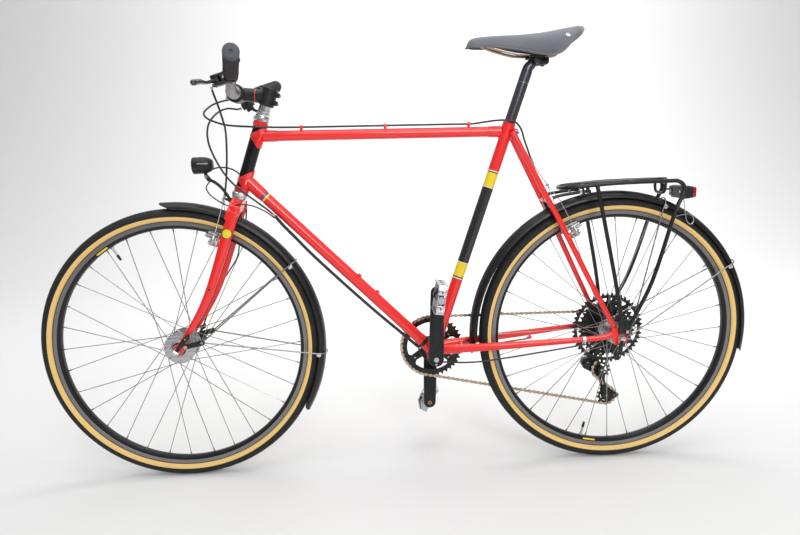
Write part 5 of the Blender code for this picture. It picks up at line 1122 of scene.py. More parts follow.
def axle_parts(axle, spacing, out, left_in, right_in):
    """Axle, locknuts and the skewer's end nut, with its flutes."""
    half = spacing / 2
    yield from stack(axle, ACROSS, [(-out - 0.0036, -out - 0.0003, 0.0085), (-half, left_in, 0.0088),
                                    (left_in, right_in, 0.006), (right_in, half, 0.0088)], SATIN)
    yield from stack(axle, ACROSS, [(-out - 0.0003, -half, 0.0046), (half, out + 0.0003, 0.0046)],
                     STEEL)
    outline = [polar(0.0088 + 0.0006 * (k % 2), tau * k / 24) for k in range(24)]
    yield side_plate(outline, 0.011, out + 0.0059, axle, PLASTIC, soft=0.0008)


gather("front_axle_skewer", "steering", axle_parts(FRONT_AXLE, 0.1, 0.0556, -0.0443, 0.0443),
       "front_axle")
gather("rear_axle_skewer", "frame", axle_parts(REAR_AXLE, 0.13, DROPOUT_OUT, -0.0565, 0.0623),
       "rear_axle")


def skewer_lever(axle, y, pointing, length):
    """A quick-release lever: a cam across the skewer's end and a curved, flattened arm."""
    pointing = Vector(pointing).normalized()
    hinge = pointing.cross(ACROSS).normalized()
    centre = axle + ACROSS * y
    points = [centre, centre + pointing * length * 0.35 - ACROSS * 0.003,
              centre + pointing * length * 0.7 - ACROSS * 0.0035, centre + pointing * length]
    yield rod(centre - hinge * 0.0062, centre + hinge * 0.0062, 0.0058, ALLOY)
    yield pipe(flow(points), spread([0.0046, 0.005, 0.0062, 0.0044]), PLASTIC, 20, 0.6)
    for step in (0.55, 0.75):
        spot = centre + pointing * length * step - ACROSS * 0.0062
        yield rod(spot, spot - ACROSS * 0.0006, 0.0016, WHITE, soft=0.0001, steps=12)


gather("front_release_lever", "front_release",
       skewer_lever(FRONT_AXLE, -FORK_Y - 0.0121, (0.63, 0, 0.78), 0.058), "front_qr_lever")
gather("rear_release_lever", "rear_release",
       skewer_lever(REAR_AXLE, -DROPOUT_OUT - 0.0096, (-0.2, 0, -1), 0.055), "rear_qr_lever")

# %% [markdown]
# ## Sprockets and chainring
#
# A toothed wheel is a flat plate with a row of teeth half an inch apart. The large sprockets
# are mostly air: wedge-shaped windows leave a few webs that carry the load. One outline maker
# serves the eleven sprockets, the chainring and both pulleys.

# %% Toothed plates
PITCH = 0.0127
CHAIN_Y = 0.042
GEARS = (11, 13, 15, 17, 19, 21, 24, 28, 32, 37, 46)
GEAR_STEP = 0.0037
GEAR_IN_USE = 21
CHAINRING_TEETH = 40
PULLEY_TEETH = 12


def pitch_radius(teeth):
    """The circle that the chain's pins lie on."""
    return PITCH / 2 / sin(pi / teeth)


def windows(inner, outer, count, web, phase=0.0, parts=5):
    """Curved openings between two radii, with straight webs between them."""
    loops = []
    for k in range(count):
        middle = tau * k / count + phase
        loop = []
        for radius, direction in ((outer, 1), (inner, -1)):
            half = pi / count - web / 2 / radius
            for part in range(parts + 1):
                angle = middle + direction * half * (1 - 2 * part / parts)
                loop.append(polar(radius, angle))
        loops.append(loop)
    return loops


def teeth_outline(teeth, phase=0.0, root=0.004, tip=0.0028):
    """Rounded valleys for the rollers and blunt tips between them."""
    radius = pitch_radius(teeth)
    step = tau / teeth
    outline = []
    for k in range(teeth):
        start = phase + step * k
        for part, rise in ((-0.2, -0.6), (0, -1), (0.2, -0.6), (0.4, tip / root),
                           (0.5, tip / root + 0.05), (0.6, tip / root)):
            outline.append(polar(radius + root * rise, start + step * part))
    return outline


def cassette():
    """Eleven sprockets on their carrier, the largest nearest the spokes."""
    yield from stack(REAR_AXLE, ACROSS, [(0.0226, 0.0622, 0.0168)], PLASTIC)
    in_use = GEARS.index(GEAR_IN_USE)
    for index, teeth in enumerate(GEARS):
        y = CHAIN_Y + (in_use - index) * GEAR_STEP
        radius = pitch_radius(teeth) - 0.008
        holes = []
        if teeth >= 28:
            holes = windows(0.033, radius - 0.0035, 9, 0.011, index * 0.12)
        elif teeth >= 24:
            holes = windows(0.029, radius + 0.0005, 9, 0.008, index * 0.12)
        material = ANODISED if index % 2 else GUARD
        yield side_plate(teeth_outline(teeth, index * 0.07), 0.0018, y, REAR_AXLE, material, holes,
                         0.0003)
    ring_y = CHAIN_Y + in_use * GEAR_STEP
    yield from stack(REAR_AXLE, ACROSS, [(ring_y, ring_y + 0.0022, 0.0165)], SATIN)
    for k in range(5):
        spot = on_wheel(REAR_AXLE, 0.027, tau * k / 5, 0.0225)
        yield rod(spot, spot + ACROSS * 0.019, 0.003, PLASTIC, steps=12)


gather("cassette_toothed", "sprockets", cassette(), "cassette")

# %% [markdown]
# ## Chain
#
# A roller chain alternates wide outer links and narrow inner ones. The route is worked out as a
# belt round four circles, then cut into equal steps of half an inch, and a link is copied to
# each step. The chainring and the pulleys are turned so that its pins fall between their teeth.

# %% The chain's route and its links
GUIDE_AT = Vector((-0.006, CHAIN_Y, 0.227))
TENSION_AT = Vector((0.0105, CHAIN_Y, 0.153))
WRAPPED = [(BB.x, BB.z, pitch_radius(CHAINRING_TEETH), 1), (0, WHEEL_R, pitch_radius(GEAR_IN_USE), 1),
           (GUIDE_AT.x, GUIDE_AT.z, pitch_radius(PULLEY_TEETH), -1),
           (TENSION_AT.x, TENSION_AT.z, pitch_radius(PULLEY_TEETH), 1)]


def belt(circles):
    """A dense closed route of tangents and arcs round circles, each (x, z, radius, turn)."""
    spans = []
    for first, second in zip(circles, circles[1:] + circles[:1]):
        start = Vector(first[:2])
        line = Vector(second[:2]) - start
        tilt = asin((first[3] * first[2] - second[3] * second[2]) / line.length)
        heading = atan2(line.y, line.x) - tilt
        normal = Vector((-sin(heading), cos(heading)))
        spans.append((start + normal * first[3] * first[2],
                      Vector(second[:2]) + normal * second[3] * second[2]))
    route = []
    for index, (x, z, radius, turning) in enumerate(circles):
        arrive = spans[index - 1][1] - Vector((x, z))
        leave = spans[index][0] - Vector((x, z))
        first = atan2(arrive.y, arrive.x)
        sweep = (first - atan2(leave.y, leave.x)) * turning % tau
        parts = max(2, round(sweep * radius / 0.001))
        for part in range(parts + 1):
            angle = first - turning * sweep * part / parts
            route.append(Vector((x + radius * cos(angle), z + radius * sin(angle))))
    return route


def even_steps(route, step):
    """Points along a closed route, evenly spaced at nearly the given step."""
    ends = route[1:] + route[:1]
    lengths = [(there - here).length for here, there in zip(route, ends)]
    marks = np.cumsum([0] + lengths)
    count = 2 * round(marks[-1] / step / 2)
    at = np.arange(count) * marks[-1] / count
    closed = route + route[:1]
    xs = np.interp(at, marks, [point.x for point in closed])
    zs = np.interp(at, marks, [point.y for point in closed])
    return [Vector((float(x), float(z))) for x, z in zip(xs, zs)]


PINS = even_steps(belt(WRAPPED), PITCH)


def pin_phase(centre, teeth):
    """The turn of a toothed wheel that puts its valleys under the chain's pins."""
    near = [pin - Vector((centre[0], centre[2])) for pin in PINS]
    near = [pin for pin in near if abs(pin.length - pitch_radius(teeth)) < 0.0002]
    middle = near[len(near) // 2]
    return atan2(middle.y, middle.x)


def waisted(length, wide=0.0042, narrow=0.0017):
    """The outline of a link plate, from one pin to the next along X."""
    near = [polar(wide, pi / 2 + pi * k / 8) for k in range(9)]
    far = [polar(wide, -pi / 2 + pi * k / 8, (length, 0)) for k in range(9)]
    return near + [(length / 2, -narrow)] + far + [(length / 2, narrow)]


def prism(shape, outline, low, high, start, along, beyond):
    """A straight-sided plate between two distances across, added to a mesh."""
    rings = []
    for y in (low, high):
        rings.append([shape.verts.new((start.x + along.x * u + beyond.x * v, y,
                                       start.y + along.y * u + beyond.y * v)) for u, v in outline])
    skin(shape, rings)
    shape.faces.new(rings[0])
    shape.faces.new(rings[1])


def chain_links(odd):
    """Every second link: an outer one with its pins, or an inner one with its rollers."""
    shape = bmesh.new()
    near, far = (0.0013, 0.0019) if odd else (0.002, 0.0026)
    pairs = list(zip(PINS, PINS[1:] + PINS[:1]))[odd::2]
    for start, end in pairs:
        line = end - start
        along = line.normalized()
        beyond = Vector((-along.y, along.x))
        for side in (-1, 1):
            prism(shape, waisted(line.length), CHAIN_Y + side * near, CHAIN_Y + side * far, start,
                  along, beyond)
        for at in (start, end):
            radius, half = (0.0035, 0.0012) if odd else (0.0018, 0.0029)
            prism(shape, circle(radius, 12), CHAIN_Y - half, CHAIN_Y + half, at, along, beyond)
    return wear(shape, CHAIN_DARK if odd else CHAIN_METAL, sharp=30)


gather("chain_links", "frame", [chain_links(0), chain_links(1)], "chain")

# %% [markdown]
# ## Cranks and pedals
#
# The right crank carries the chainring on four arms. Both cranks are black forged arms with
# bevelled edges and a shallow trough along the face. The pedals are plain cages: two toothed
# plates that grip a shoe, joined round a body that turns on the crank's spindle.

# %% Chainring and cranks
ARM_IN = 0.068
ARM_OUT = 0.08
CRANK_LENGTH = 0.17
SPIDER_R = 0.0545
CRANK_TILT = radians(1.5)
ARM_ANGLES = [radians(angle) for angle in (34, 144, 214, 324)]


def capsule(start, end, first, last, steps=12):
    """The outline round two circles."""
    start = Vector(start)
    end = Vector(end)
    heading = atan2(end.y - start.y, end.x - start.x)
    outline = []
    for centre, radius, turn_to in ((start, first, heading + pi / 2), (end, last, heading - pi / 2)):
        for k in range(steps + 1):
            angle = turn_to + pi * k / steps
            outline.append(polar(radius, angle, centre))
    return outline


def chainring():
    outline = teeth_outline(CHAINRING_TEETH, pin_phase(BB, CHAINRING_TEETH), 0.0038, 0.0028)
    hole = []
    for k in range(96):
        angle = tau * k / 96
        off = min(abs((degrees(angle - arm) + 180) % 360 - 180) for arm in ARM_ANGLES)
        ease = min(max((off - 5) / 9, 0), 1)
        radius = 0.049 + 0.0165 * ease * ease * (3 - 2 * ease)
        hole.append(polar(radius, angle))
    yield side_plate(outline, 0.002, CHAIN_Y, BB, GUARD, [hole], 0.0003)
    for angle in ARM_ANGLES:
        spot = on_wheel(BB, SPIDER_R, angle, CHAIN_Y - 0.0028)
        yield rod(spot, spot + ACROSS * 0.0032, 0.005, ANODISED, steps=24)
        yield rod(spot - ACROSS * 0.0002, spot, 0.0024, SATIN, soft=0.0001, steps=12)


gather("chainring_toothed", "crankset", chainring(), "chainring")


def crank_end(side):
    """The pedal end of a crank: left up, right down."""
    up = -side
    return BB + Vector((sin(CRANK_TILT) * up, 0, cos(CRANK_TILT) * up)) * CRANK_LENGTH


def crank_parts(side):
    """One arm with its trough, its boss, the pedal's spindle and two bolts."""
    end = crank_end(side)
    reach = (end.x - BB.x, end.z - BB.z)
    unit = Vector(reach).normalized()
    yield side_plate(capsule((0, 0), reach, 0.019, 0.0165), ARM_OUT - ARM_IN - 0.0012,
                     side * (ARM_IN + ARM_OUT - 0.0012) / 2, BB, ANODISED, soft=0.0034)
    rails = capsule(unit * 0.03, unit * 0.142, 0.0128, 0.0112)
    trough = capsule(unit * 0.032, unit * 0.14, 0.0088, 0.0076)
    yield side_plate(rails, 0.0012, side * (ARM_OUT - 0.0006), BB, ANODISED, [trough], 0.0004)
    if side > 0:
        yield side_plate(rails, 0.001, side * (ARM_IN - 0.0004), BB, ANODISED, [trough], 0.0003)
    yield from stack(BB, ACROSS * side, [(0.046, 0.07, 0.0172), (ARM_OUT - 0.0014, ARM_OUT, 0.0118)],
                     ANODISED)
    yield from stack(BB, ACROSS * side, [(ARM_OUT - 0.0006, ARM_OUT + 0.0003, 0.0062)], SATIN,
                     soft=0.0002)
    yield from stack(end, ACROSS * side, [(0.074, 0.0822, 0.0082), (0.0822, 0.165, 0.0052)], SATIN)
    yield from stack(end, ACROSS * side, [(0.0668, 0.0684, 0.009)], PLASTIC)
    if side > 0:
        yield block(end + ACROSS * 0.0668, (0.0092, 0.0016, 0.0092), COPPER, (0.8, 0, 0.6),
                    (-0.6, 0, 0.8), 0.0003)
        yield from stack(end, ACROSS, [(0.0656, 0.0668, 0.0026)], PLASTIC, soft=0.0001)
    if side < 0:
        low = BB - Vector((unit.x, 0, unit.y)) * 0.0118
        yield rod(low - ACROSS * 0.077, low - ACROSS * 0.0802, 0.0028, SATIN, steps=16)
    else:
        yield from stack(BB, ACROSS, [(0.044, 0.059, 0.0166)], ANODISED)
        yield from stack(BB, ACROSS, [(-0.078, 0.06, 0.012)], STEEL)
        for angle in ARM_ANGLES:
            tip = polar(SPIDER_R, angle)
            yield side_plate(capsule((0, 0), tip, 0.0125, 0.009), 0.0045, CHAIN_Y + 0.00355, BB,
                             ANODISED, soft=0.0008)
            bolt = on_wheel(BB, SPIDER_R, angle, CHAIN_Y + 0.0054)
            yield rod(bolt, bolt + ACROSS * 0.0012, 0.0042, SATIN, steps=20)


for side, word in SIDES:
    gather(word + "_crank_forged", "crankset", crank_parts(side), word + "_crank")


# %% Pedals
def toothed_rail(length, depth, height, matrix):
    """A cage plate whose upper and lower edges are cut into small teeth."""
    count = 10
    upper = []
    for k in range(count):
        x = -length / 2 + length * k / count
        upper += [(x, height / 2 - 0.0022), (x + length / count * 0.35, height / 2),
                  (x + length / count * 0.65, height / 2)]
    upper.append((length / 2, height / 2 - 0.0022))
    lower = [(x, -y) for x, y in reversed(upper)]
    holes = [capsule((x - 0.005, 0), (x + 0.005, 0), 0.0038, 0.0038, 6)
             for x in (-length * 0.3, 0, length * 0.3)]
    return plate(upper + lower, depth, matrix, SATIN, holes)


def pedal_parts(side, turn_to):
    """Body, two toothed rails, end plates and the outer reflector plate."""
    end = crank_end(side)
    centre = end + ACROSS * side * 0.127
    outward = ACROSS * side
    along = Vector((sin(turn_to), 0, cos(turn_to)))
    normal = along.cross(outward)
    yield from stack(centre, outward, [(-0.0448, -0.021, 0.0122), (-0.021, 0.036, 0.0092)], ANODISED)
    yield from stack(centre, outward, [(0.036, 0.0392, 0.0088)], SATIN)
    for face in (-1, 1):
        matrix = Matrix((outward, normal, outward.cross(normal))).transposed().to_4x4()
        matrix.translation = centre + along * face * 0.034 - outward * 0.005
        yield toothed_rail(0.074, 0.0022, 0.0235, matrix)
        corner = centre + along * face * 0.0335 + outward * 0.0315
        inner = centre + along * face * 0.0245 + outward * 0.0392
        yield block(corner.lerp(inner, 0.5), (0.015, 0.0024, 0.018), ALLOY, inner - corner, normal)
    yield block(centre - outward * 0.0408, (0.069, 0.0032, 0.019), SATIN, along, normal, 0.001)
    for face in (-1, 1):
        spot = centre + along * face * 0.019 + outward * 0.0392
        yield block(spot, (0.0125, 0.003, 0.02), ALLOY, along, normal, 0.001)
        yield block(spot + outward * 0.0014, (0.0056, 0.001, 0.003), PLASTIC, along, normal, 0.0002)
        for lift in (-0.0086, 0.0086):
            rib = centre + along * face * 0.007 + outward * 0.0385 + normal * lift
            yield block(rib, (0.014, 0.0022, 0.002), SATIN, along, normal, 0.0004)
    for out in (-0.015, 0.015):
        yield block(centre + outward * out, (0.066, 0.006, 0.0075), SATIN, along, normal, 0.001)


for side, word, turn_to in ((-1, "left", radians(8)), (1, "right", radians(30))):
    gather(word + "_pedal_cage", word + "_pedal_body", pedal_parts(side, turn_to), word + "_pedal")

# %% [markdown]
# ## Derailleur
#
# The derailleur hangs from the right dropout. Its knuckle is fixed, a pair of links carries the
# body sideways under the sprockets, and a long sprung cage with two small toothed wheels takes
# up the slack of the chain. Each part is on a body of its own, so each gets its own piece.

# %% Knuckle, link arm, cage and pulleys
HANGER_AT = REAR_AXLE + Vector((0.0115, 0, -0.03))
KNUCKLE_AT = Vector((-0.04, 0.06, 0.242))
LINK_AT = HANGER_AT + Vector((-0.017, DROPOUT_OUT + 0.005, -0.025))
LINK_AXIS = (KNUCKLE_AT - LINK_AT).cross(ACROSS).normalized()


def rounded(outline, parts=3):
    """A smooth closed outline through the corners of another."""
    ring = [Vector((x, y, 0)) for x, y in outline]
    smooth = flow(ring[-2:] + ring + ring[:2], parts)
    return [(point.x, point.y) for point in smooth[2 * parts:-2 * parts - 1]]


def knuckle():
    out = DROPOUT_OUT + CLEARANCE
    yield from stack(HANGER_AT, ACROSS,
                     [(out, out + 0.0112, 0.0104), (out + 0.0112, out + 0.0122, 0.007)], PLASTIC)
    yield from stack(HANGER_AT, ACROSS, [(out + 0.0118, out + 0.0126, 0.004)], SATIN, soft=0.0002)
    yield block(HANGER_AT + Vector((-0.01, out + 0.006, -0.011)), (0.013, 0.01, 0.013), PLASTIC,
                soft=0.002)


def link_arm():
    """Two slanting links from the knuckle to the body, and the round body itself."""
    span = KNUCKLE_AT - LINK_AT
    yield rod(LINK_AT - LINK_AXIS * 0.007, LINK_AT + LINK_AXIS * 0.007, 0.0058, PLASTIC)
    for lift, radius in ((0.0035, 0.0052), (-0.0035, 0.0046)):
        points = [LINK_AT + LINK_AXIS * lift, LINK_AT + span * 0.35 + ACROSS * 0.004,
                  LINK_AT + span * 0.7 + ACROSS * 0.003 + LINK_AXIS * lift,
                  KNUCKLE_AT + LINK_AXIS * lift]
        yield pipe(flow(points), radius, PLASTIC if lift > 0 else ANODISED, 16, 0.8)
    yield from stack(KNUCKLE_AT, ACROSS, [(-0.0088, 0.01, 0.015), (0.01, 0.011, 0.0118)], ANODISED,
                     soft=0.0012)
    body = rounded([(-0.015, 0.008), (0.002, 0.016), (0.026, 0.012), (0.036, 0.002), (0.033, -0.009),
                    (0.01, -0.013), (-0.01, -0.012)])
    yield side_plate(body, 0.013, KNUCKLE_AT.y, KNUCKLE_AT, PLASTIC, soft=0.003)
    yield from stack(KNUCKLE_AT, ACROSS, [(0.0106, 0.0116, 0.0055)], SATIN, soft=0.0002)
    barb = KNUCKLE_AT + Vector((0.012, 0.008, 0.008))
    yield rod(barb, barb + Vector((0.008, 0.001, 0.007)), 0.003, SATIN)


CAGE_OUT = [(-0.047, 0.015), (-0.048, 0.005), (-0.029, -0.006), (-0.008, -0.024), (0.002, -0.05),
            (0.006, -0.084), (0.015, -0.088), (0.048, -0.079), (0.05, -0.07), (0.03, -0.062),
            (0.018, -0.048), (0.011, -0.01), (0.008, 0.007), (-0.002, 0.012), (-0.016, 0.012),
            (-0.03, 0.022)]
CAGE_IN = [(-0.0085, 0.007), (-0.008, -0.01), (0.002, -0.042), (0.0055, -0.062), (0.005, -0.08),
           (0.015, -0.0875), (0.03, -0.085), (0.048, -0.0775), (0.049, -0.07), (0.032, -0.06),
           (0.021, -0.056), (0.013, -0.04), (0.008, -0.01), (0.008, 0.006), (0.0, 0.0105)]


def cage():
    slot = capsule((0.003, -0.026), (0.008, -0.044), 0.0024, 0.0024, 8)
    tail = [circle(0.0032, 16, (0.039, -0.0745)), circle(0.0026, 16, (0.029, -0.067))]
    yield side_plate(rounded(CAGE_OUT), 0.0015, CHAIN_Y + 0.0052, GUIDE_AT, PLASTIC, [slot] + tail)
    yield side_plate(rounded(CAGE_IN), 0.0015, CHAIN_Y - 0.0052, GUIDE_AT, PLASTIC, [slot] + tail)
    for centre in (GUIDE_AT, TENSION_AT):
        yield rod(centre - ACROSS * 0.0062, centre + ACROSS * 0.0064, 0.003, SATIN)
        yield rod(centre + ACROSS * 0.006, centre + ACROSS * 0.0072, 0.0042, SATIN)
    yield rod((KNUCKLE_AT.x, CHAIN_Y + 0.005, KNUCKLE_AT.z),
              (KNUCKLE_AT.x, KNUCKLE_AT.y + 0.005, KNUCKLE_AT.z), 0.005, SATIN)


def pulley(centre):
    outline = teeth_outline(PULLEY_TEETH, pin_phase(centre, PULLEY_TEETH), 0.004, 0.0026)
    holes = [circle(0.0056, 24)] + windows(0.01, 0.016, 6, 0.004, 0.2)
    hub = [(0.0034, -0.0037), (0.0068, -0.0037), (0.0073, -0.003), (0.0073, 0.003), (0.0068, 0.0037),
           (0.0034, 0.0037)]
    return [side_plate(outline, 0.0019, CHAIN_Y, centre, PLASTIC, holes),
            lathe(hub, centre, ACROSS, SATIN, 40, True)]


gather("derailleur_knuckle_bolted", "frame", knuckle(), "derailleur_knuckle")
gather("derailleur_links", "gear_arm", link_arm(), "derailleur_arm")
gather("derailleur_cage_plates", "gear_cage", cage(), "derailleur_cage")
gather("guide_pulley_toothed", "upper_pulley", pulley(GUIDE_AT), "guide_pulley")
gather("tension_pulley_toothed", "lower_pulley", pulley(TENSION_AT), "tension_pulley")

# %% [markdown]
# ## Cantilever brakes
#
# Each brake is two arms on studs, one on each side of the tyre. The cable pulls the outer tips
# up and in, and the inner ends press the blocks on the rim. An arm is a bent forging with one
# bolt that holds the block's post and another that grips the cable.

# %% Four brake arms
PAD_HEIGHT = 0.0185
PAD_GAP = 0.0022
PAD_HALF = 0.0045


def brake_arm(front, side):
    """Boss, curved arm, cable bolt, block holder and rubber block."""
    stud_axis = brake_frame(front)[2]
    up_axis = brake_frame(front)[1]
    offset, foot = brake_frame(front)[3:]
    middle = ARM_DEPTH / 2

    def at(up, out, along=middle):
        return brake_point(front, side, up, out, along)

    boss = [(0.0048, 0), (0.008, 0), (0.0085, 0.0005), (0.0085, ARM_DEPTH - 0.0005), (0.008, ARM_DEPTH),
            (0.0048, ARM_DEPTH)]
    outer = flow([at(0.024, 0.0205), at(0.012, 0.0255), at(0.002, 0.0225), at(-0.001, 0.0062)])
    inner = flow([at(0.003, -0.006), at(0.011, -0.0095), at(PAD_HEIGHT, -0.0105)])
    pad_y = RIM_HALF + PAD_GAP + PAD_HALF
    pad_at = at(PAD_HEIGHT, pad_y - offset)
    pad_dir = stud_axis - up_axis * (foot + middle) / 0.3
    yield lathe(boss, at(0, 0, 0), stud_axis, SATIN, 40, True)
    yield pipe(outer, spread([0.0042, 0.0046, 0.0048, 0.005]), SATIN, 20)
    yield pipe(inner, spread([0.0046, 0.0044, 0.0048]), SATIN, 20)
    yield rod(at(0.024, 0.0205, 0.003), at(0.024, 0.0205, ARM_DEPTH + 0.006), 0.0042, STEEL)
    yield rod(at(0.024, 0.0205, ARM_DEPTH + 0.006), at(0.024, 0.0205, ARM_DEPTH + 0.01), 0.0034,
              PLASTIC)
    yield rod(at(0.011, -0.0095), at(0.011, -0.0095, ARM_DEPTH + 0.012), 0.004, STEEL)
    yield rod(at(0.011, -0.0095, ARM_DEPTH + 0.012), at(0.011, -0.0095, ARM_DEPTH + 0.018), 0.0034,
              SATIN)
    yield rod(at(PAD_HEIGHT, -0.003), at(PAD_HEIGHT, pad_y + 0.002 - offset), 0.0036, SATIN)
    yield block(pad_at + ACROSS * side * 0.0022, (0.046, 0.004, 0.0088), SATIN, pad_dir, up_axis)
    yield block(pad_at - ACROSS * side * 0.001, (0.048, 0.0066, 0.0095), TREAD, pad_dir, up_axis,
                0.0012)
    # Each groove across the rubber block is a thin strip of darker, glossier black wrapped round it:
    # painted shade standing in for the cut.
    for part in (-0.014, 0, 0.014):
        groove_shade_strip = pad_at + pad_dir.normalized() * part - ACROSS * side * 0.0008
        yield block(groove_shade_strip, (0.0012, 0.0072, 0.0099), PLASTIC, pad_dir, up_axis, 0.0002)


for front, place in ((True, "front"), (False, "rear")):
    for side, word in SIDES:
        gather("_".join((place, word, "brake")), "_".join((place, word, "arm")), brake_arm(front, side),
               "_".join((place, word, "brake_arm")))

# %% [markdown]
# ## Handlebar, grips and levers
#
# The bar is a satin grey tube that thickens at the stem and sweeps back to the hands. Its grips
# are soft, ribbed sleeves that widen towards a round cap, with a clamp ring at each end. A brake
# lever turns on a pin in a forked body, and the shifter hangs under the right side of the bar.

# %% Handlebar and grips
BAR_R = 0.0159
BAR_END_R = 0.0111
BAR_POINTS = [(-0.934, 0.0, 0.9675), (-0.934, 0.03, 0.9675), (-0.933, 0.055, 0.9678),
              (-0.93, 0.08, 0.969), (-0.923, 0.115, 0.9745), (-0.912, 0.162, 0.985),
              (-0.9075, 0.185, 0.9895), (-0.886, 0.278, 1.011), (-0.8815, 0.2975, 1.0155)]
BAR_RADII = [BAR_R, BAR_R, BAR_R, 0.0125] + [BAR_END_R] * 5
GRIP_DIR = (Vector(BAR_POINTS[-1]) - Vector(BAR_POINTS[-3])).normalized()


def bar_point(side, y):
    """A point on the handlebar's axis at a distance from the middle."""
    for (x0, y0, z0), (x1, y1, z1) in zip(BAR_POINTS, BAR_POINTS[1:]):
        if y <= y1:
            t = (y - y0) / (y1 - y0)
            return Vector((x0 + (x1 - x0) * t, side * y, z0 + (z1 - z0) * t))


def handlebar():
    right_side = [Vector(point) for point in BAR_POINTS]
    left_side = [sided(point, -1) for point in reversed(right_side[1:])]
    route = left_side + right_side
    radii = BAR_RADII[:0:-1] + BAR_RADII
    yield pipe(flow(route, 5), spread(radii, 5), BAR_GREY, 40)
    for side in (-1, 1):
        edge = bar_point(side, 0.042)
        yield sleeve(edge, ACROSS, -0.0006, 0.0006, BAR_R + 0.00012, BAR_R - 0.0005, WHITE, 0.0001)


def grip(side):
    """Ribbed rubber, two clamp rings, a small nub and a round end face."""
    start = bar_point(side, 0.1925)
    along = sided(GRIP_DIR, side)
    outside = [(0.008, 0.016)]
    for k in range(13):
        at = 0.011 + 0.0068 * k
        wide = 0.0163 + 0.0002 * k / 12
        outside += [(at, wide - 0.0009), (at + 0.0016, wide), (at + 0.005, wide),
                    (at + 0.0066, wide - 0.0009)]
    profile = [(0.0114, 0.008)] + [(radius, at) for at, radius in outside]
    profile += [(0.0166, 0.102), (0.0166, 0.106), (0.0114, 0.106)]
    yield lathe(profile, start, along, GRIP, 56, True)
    yield sleeve(start, along, 0.0002, 0.0076, 0.0168, 0.0114, PLASTIC, 0.001, 48)
    yield sleeve(start, along, 0.1064, 0.114, 0.0167, 0.0114, GRIP_END, 0.0008, 48)
    yield lathe([(0.003, 0.112), (0.016, 0.112), (0.0166, 0.114), (0.0162, 0.1156), (0.0146, 0.1164),
                 (0.004, 0.1162), (0.003, 0.115)], start, along, GRIP_END, 48, True)
    # A black disc closes the bottom of the end cap's small hole: painted shade for the hole.
    yield rod(start + along * 0.1116, start + along * 0.115, 0.0032, PLASTIC, steps=20)
    nub = start + along * 0.066 + Vector((0.015, 0, 0.001))
    yield block(nub, (0.007, 0.009, 0.006), GRIP, (1, 0, 0.1), along, 0.0022)
    ring_bolt = start + along * 0.004 + Vector((-0.014, 0, -0.006))
    yield rod(ring_bolt, ring_bolt + Vector((-0.003, 0, -0.0012)), 0.0026, SATIN, steps=16)


gather("handlebar_swept", "steering", handlebar(), "handlebar")
for side, word in SIDES:
    gather(word + "_grip_ribbed", "steering", grip(side), word + "_grip")

# %% Brake levers and their bodies
LEVER_PIVOT = Vector((-0.939, 0.18, 0.977))
LEVER_AXIS = Vector((-0.4637, -0.0962, 0.8807)).normalized()
SHIFT_PIVOT = Vector((-0.929, 0.118, 0.95))


def lever_body(side):
    """Clamp, forked body, pin and cable adjuster."""
    pivot = sided(LEVER_PIVOT, side)
    axis = sided(LEVER_AXIS, side)
    at_bar = bar_point(side, 0.174)
    along = sided(GRIP_DIR, side)
    reach = (pivot - at_bar).normalized()
    span = (pivot - at_bar).length
    yield sleeve(at_bar - along * 0.007, along, 0, 0.014, 0.0155, 0.0114, PLASTIC, 0.0012, 48)
    for face in (-1, 1):
        yield block(at_bar + reach * (span / 2 + 0.003) + axis * face * 0.0092,
                    (span + 0.012, 0.0175, 0.006), PLASTIC, reach, axis, 0.0026)
    yield block(at_bar + reach * 0.013, (0.0215, 0.017, 0.0215), PLASTIC, reach, axis, 0.003)
    yield rod(pivot - axis * 0.0108, pivot + axis * 0.0108, 0.0025, SATIN)
    yield rod(pivot + axis * 0.0118, pivot + axis * 0.0126, 0.0034, SATIN, steps=24)
    dot = at_bar + reach * span * 0.55 - along * 0.0086
    yield rod(dot, dot + along * 0.018, 0.0022, SATIN, steps=16)
    barrel = sided((-0.951, 0.159, 0.969), side)
    inner = at_bar + reach * 0.018 + sided((0, -0.006, -0.003), side)
    yield rod(inner, barrel, 0.0042, PLASTIC)
    yield rod(inner.lerp(barrel, 0.45), inner.lerp(barrel, 0.85), 0.0048, SATIN, steps=16)
    clamp_bolt = at_bar + Vector((0.004, 0, -0.0135))
    yield rod(clamp_bolt, clamp_bolt + Vector((0, 0, -0.002)), 0.0034, SATIN, steps=20)


def shifter():
    """The gear shifter's clamp, round case and window."""
    at_bar = bar_point(1, 0.134)
    along = GRIP_DIR
    below = Vector((-0.007, 0, -0.0125))
    yield sleeve(at_bar, along, -0.006, 0.006, 0.015, 0.0114, PLASTIC, 0.001, 48)
    yield from stack(SHIFT_PIVOT, LEVER_AXIS,
                     [(-0.006, 0.011, 0.0165), (0.011, 0.017, 0.015), (0.017, 0.02, 0.012)], PLASTIC,
                     soft=0.0016)
    yield rod(bar_point(1, 0.132) + below, bar_point(1, 0.172) + below, 0.0038, PLASTIC)
    yield rod(SHIFT_PIVOT + LEVER_AXIS * 0.01, at_bar + below, 0.006, PLASTIC)
    yield rod(SHIFT_PIVOT - LEVER_AXIS * 0.015, SHIFT_PIVOT, 0.003, SATIN)


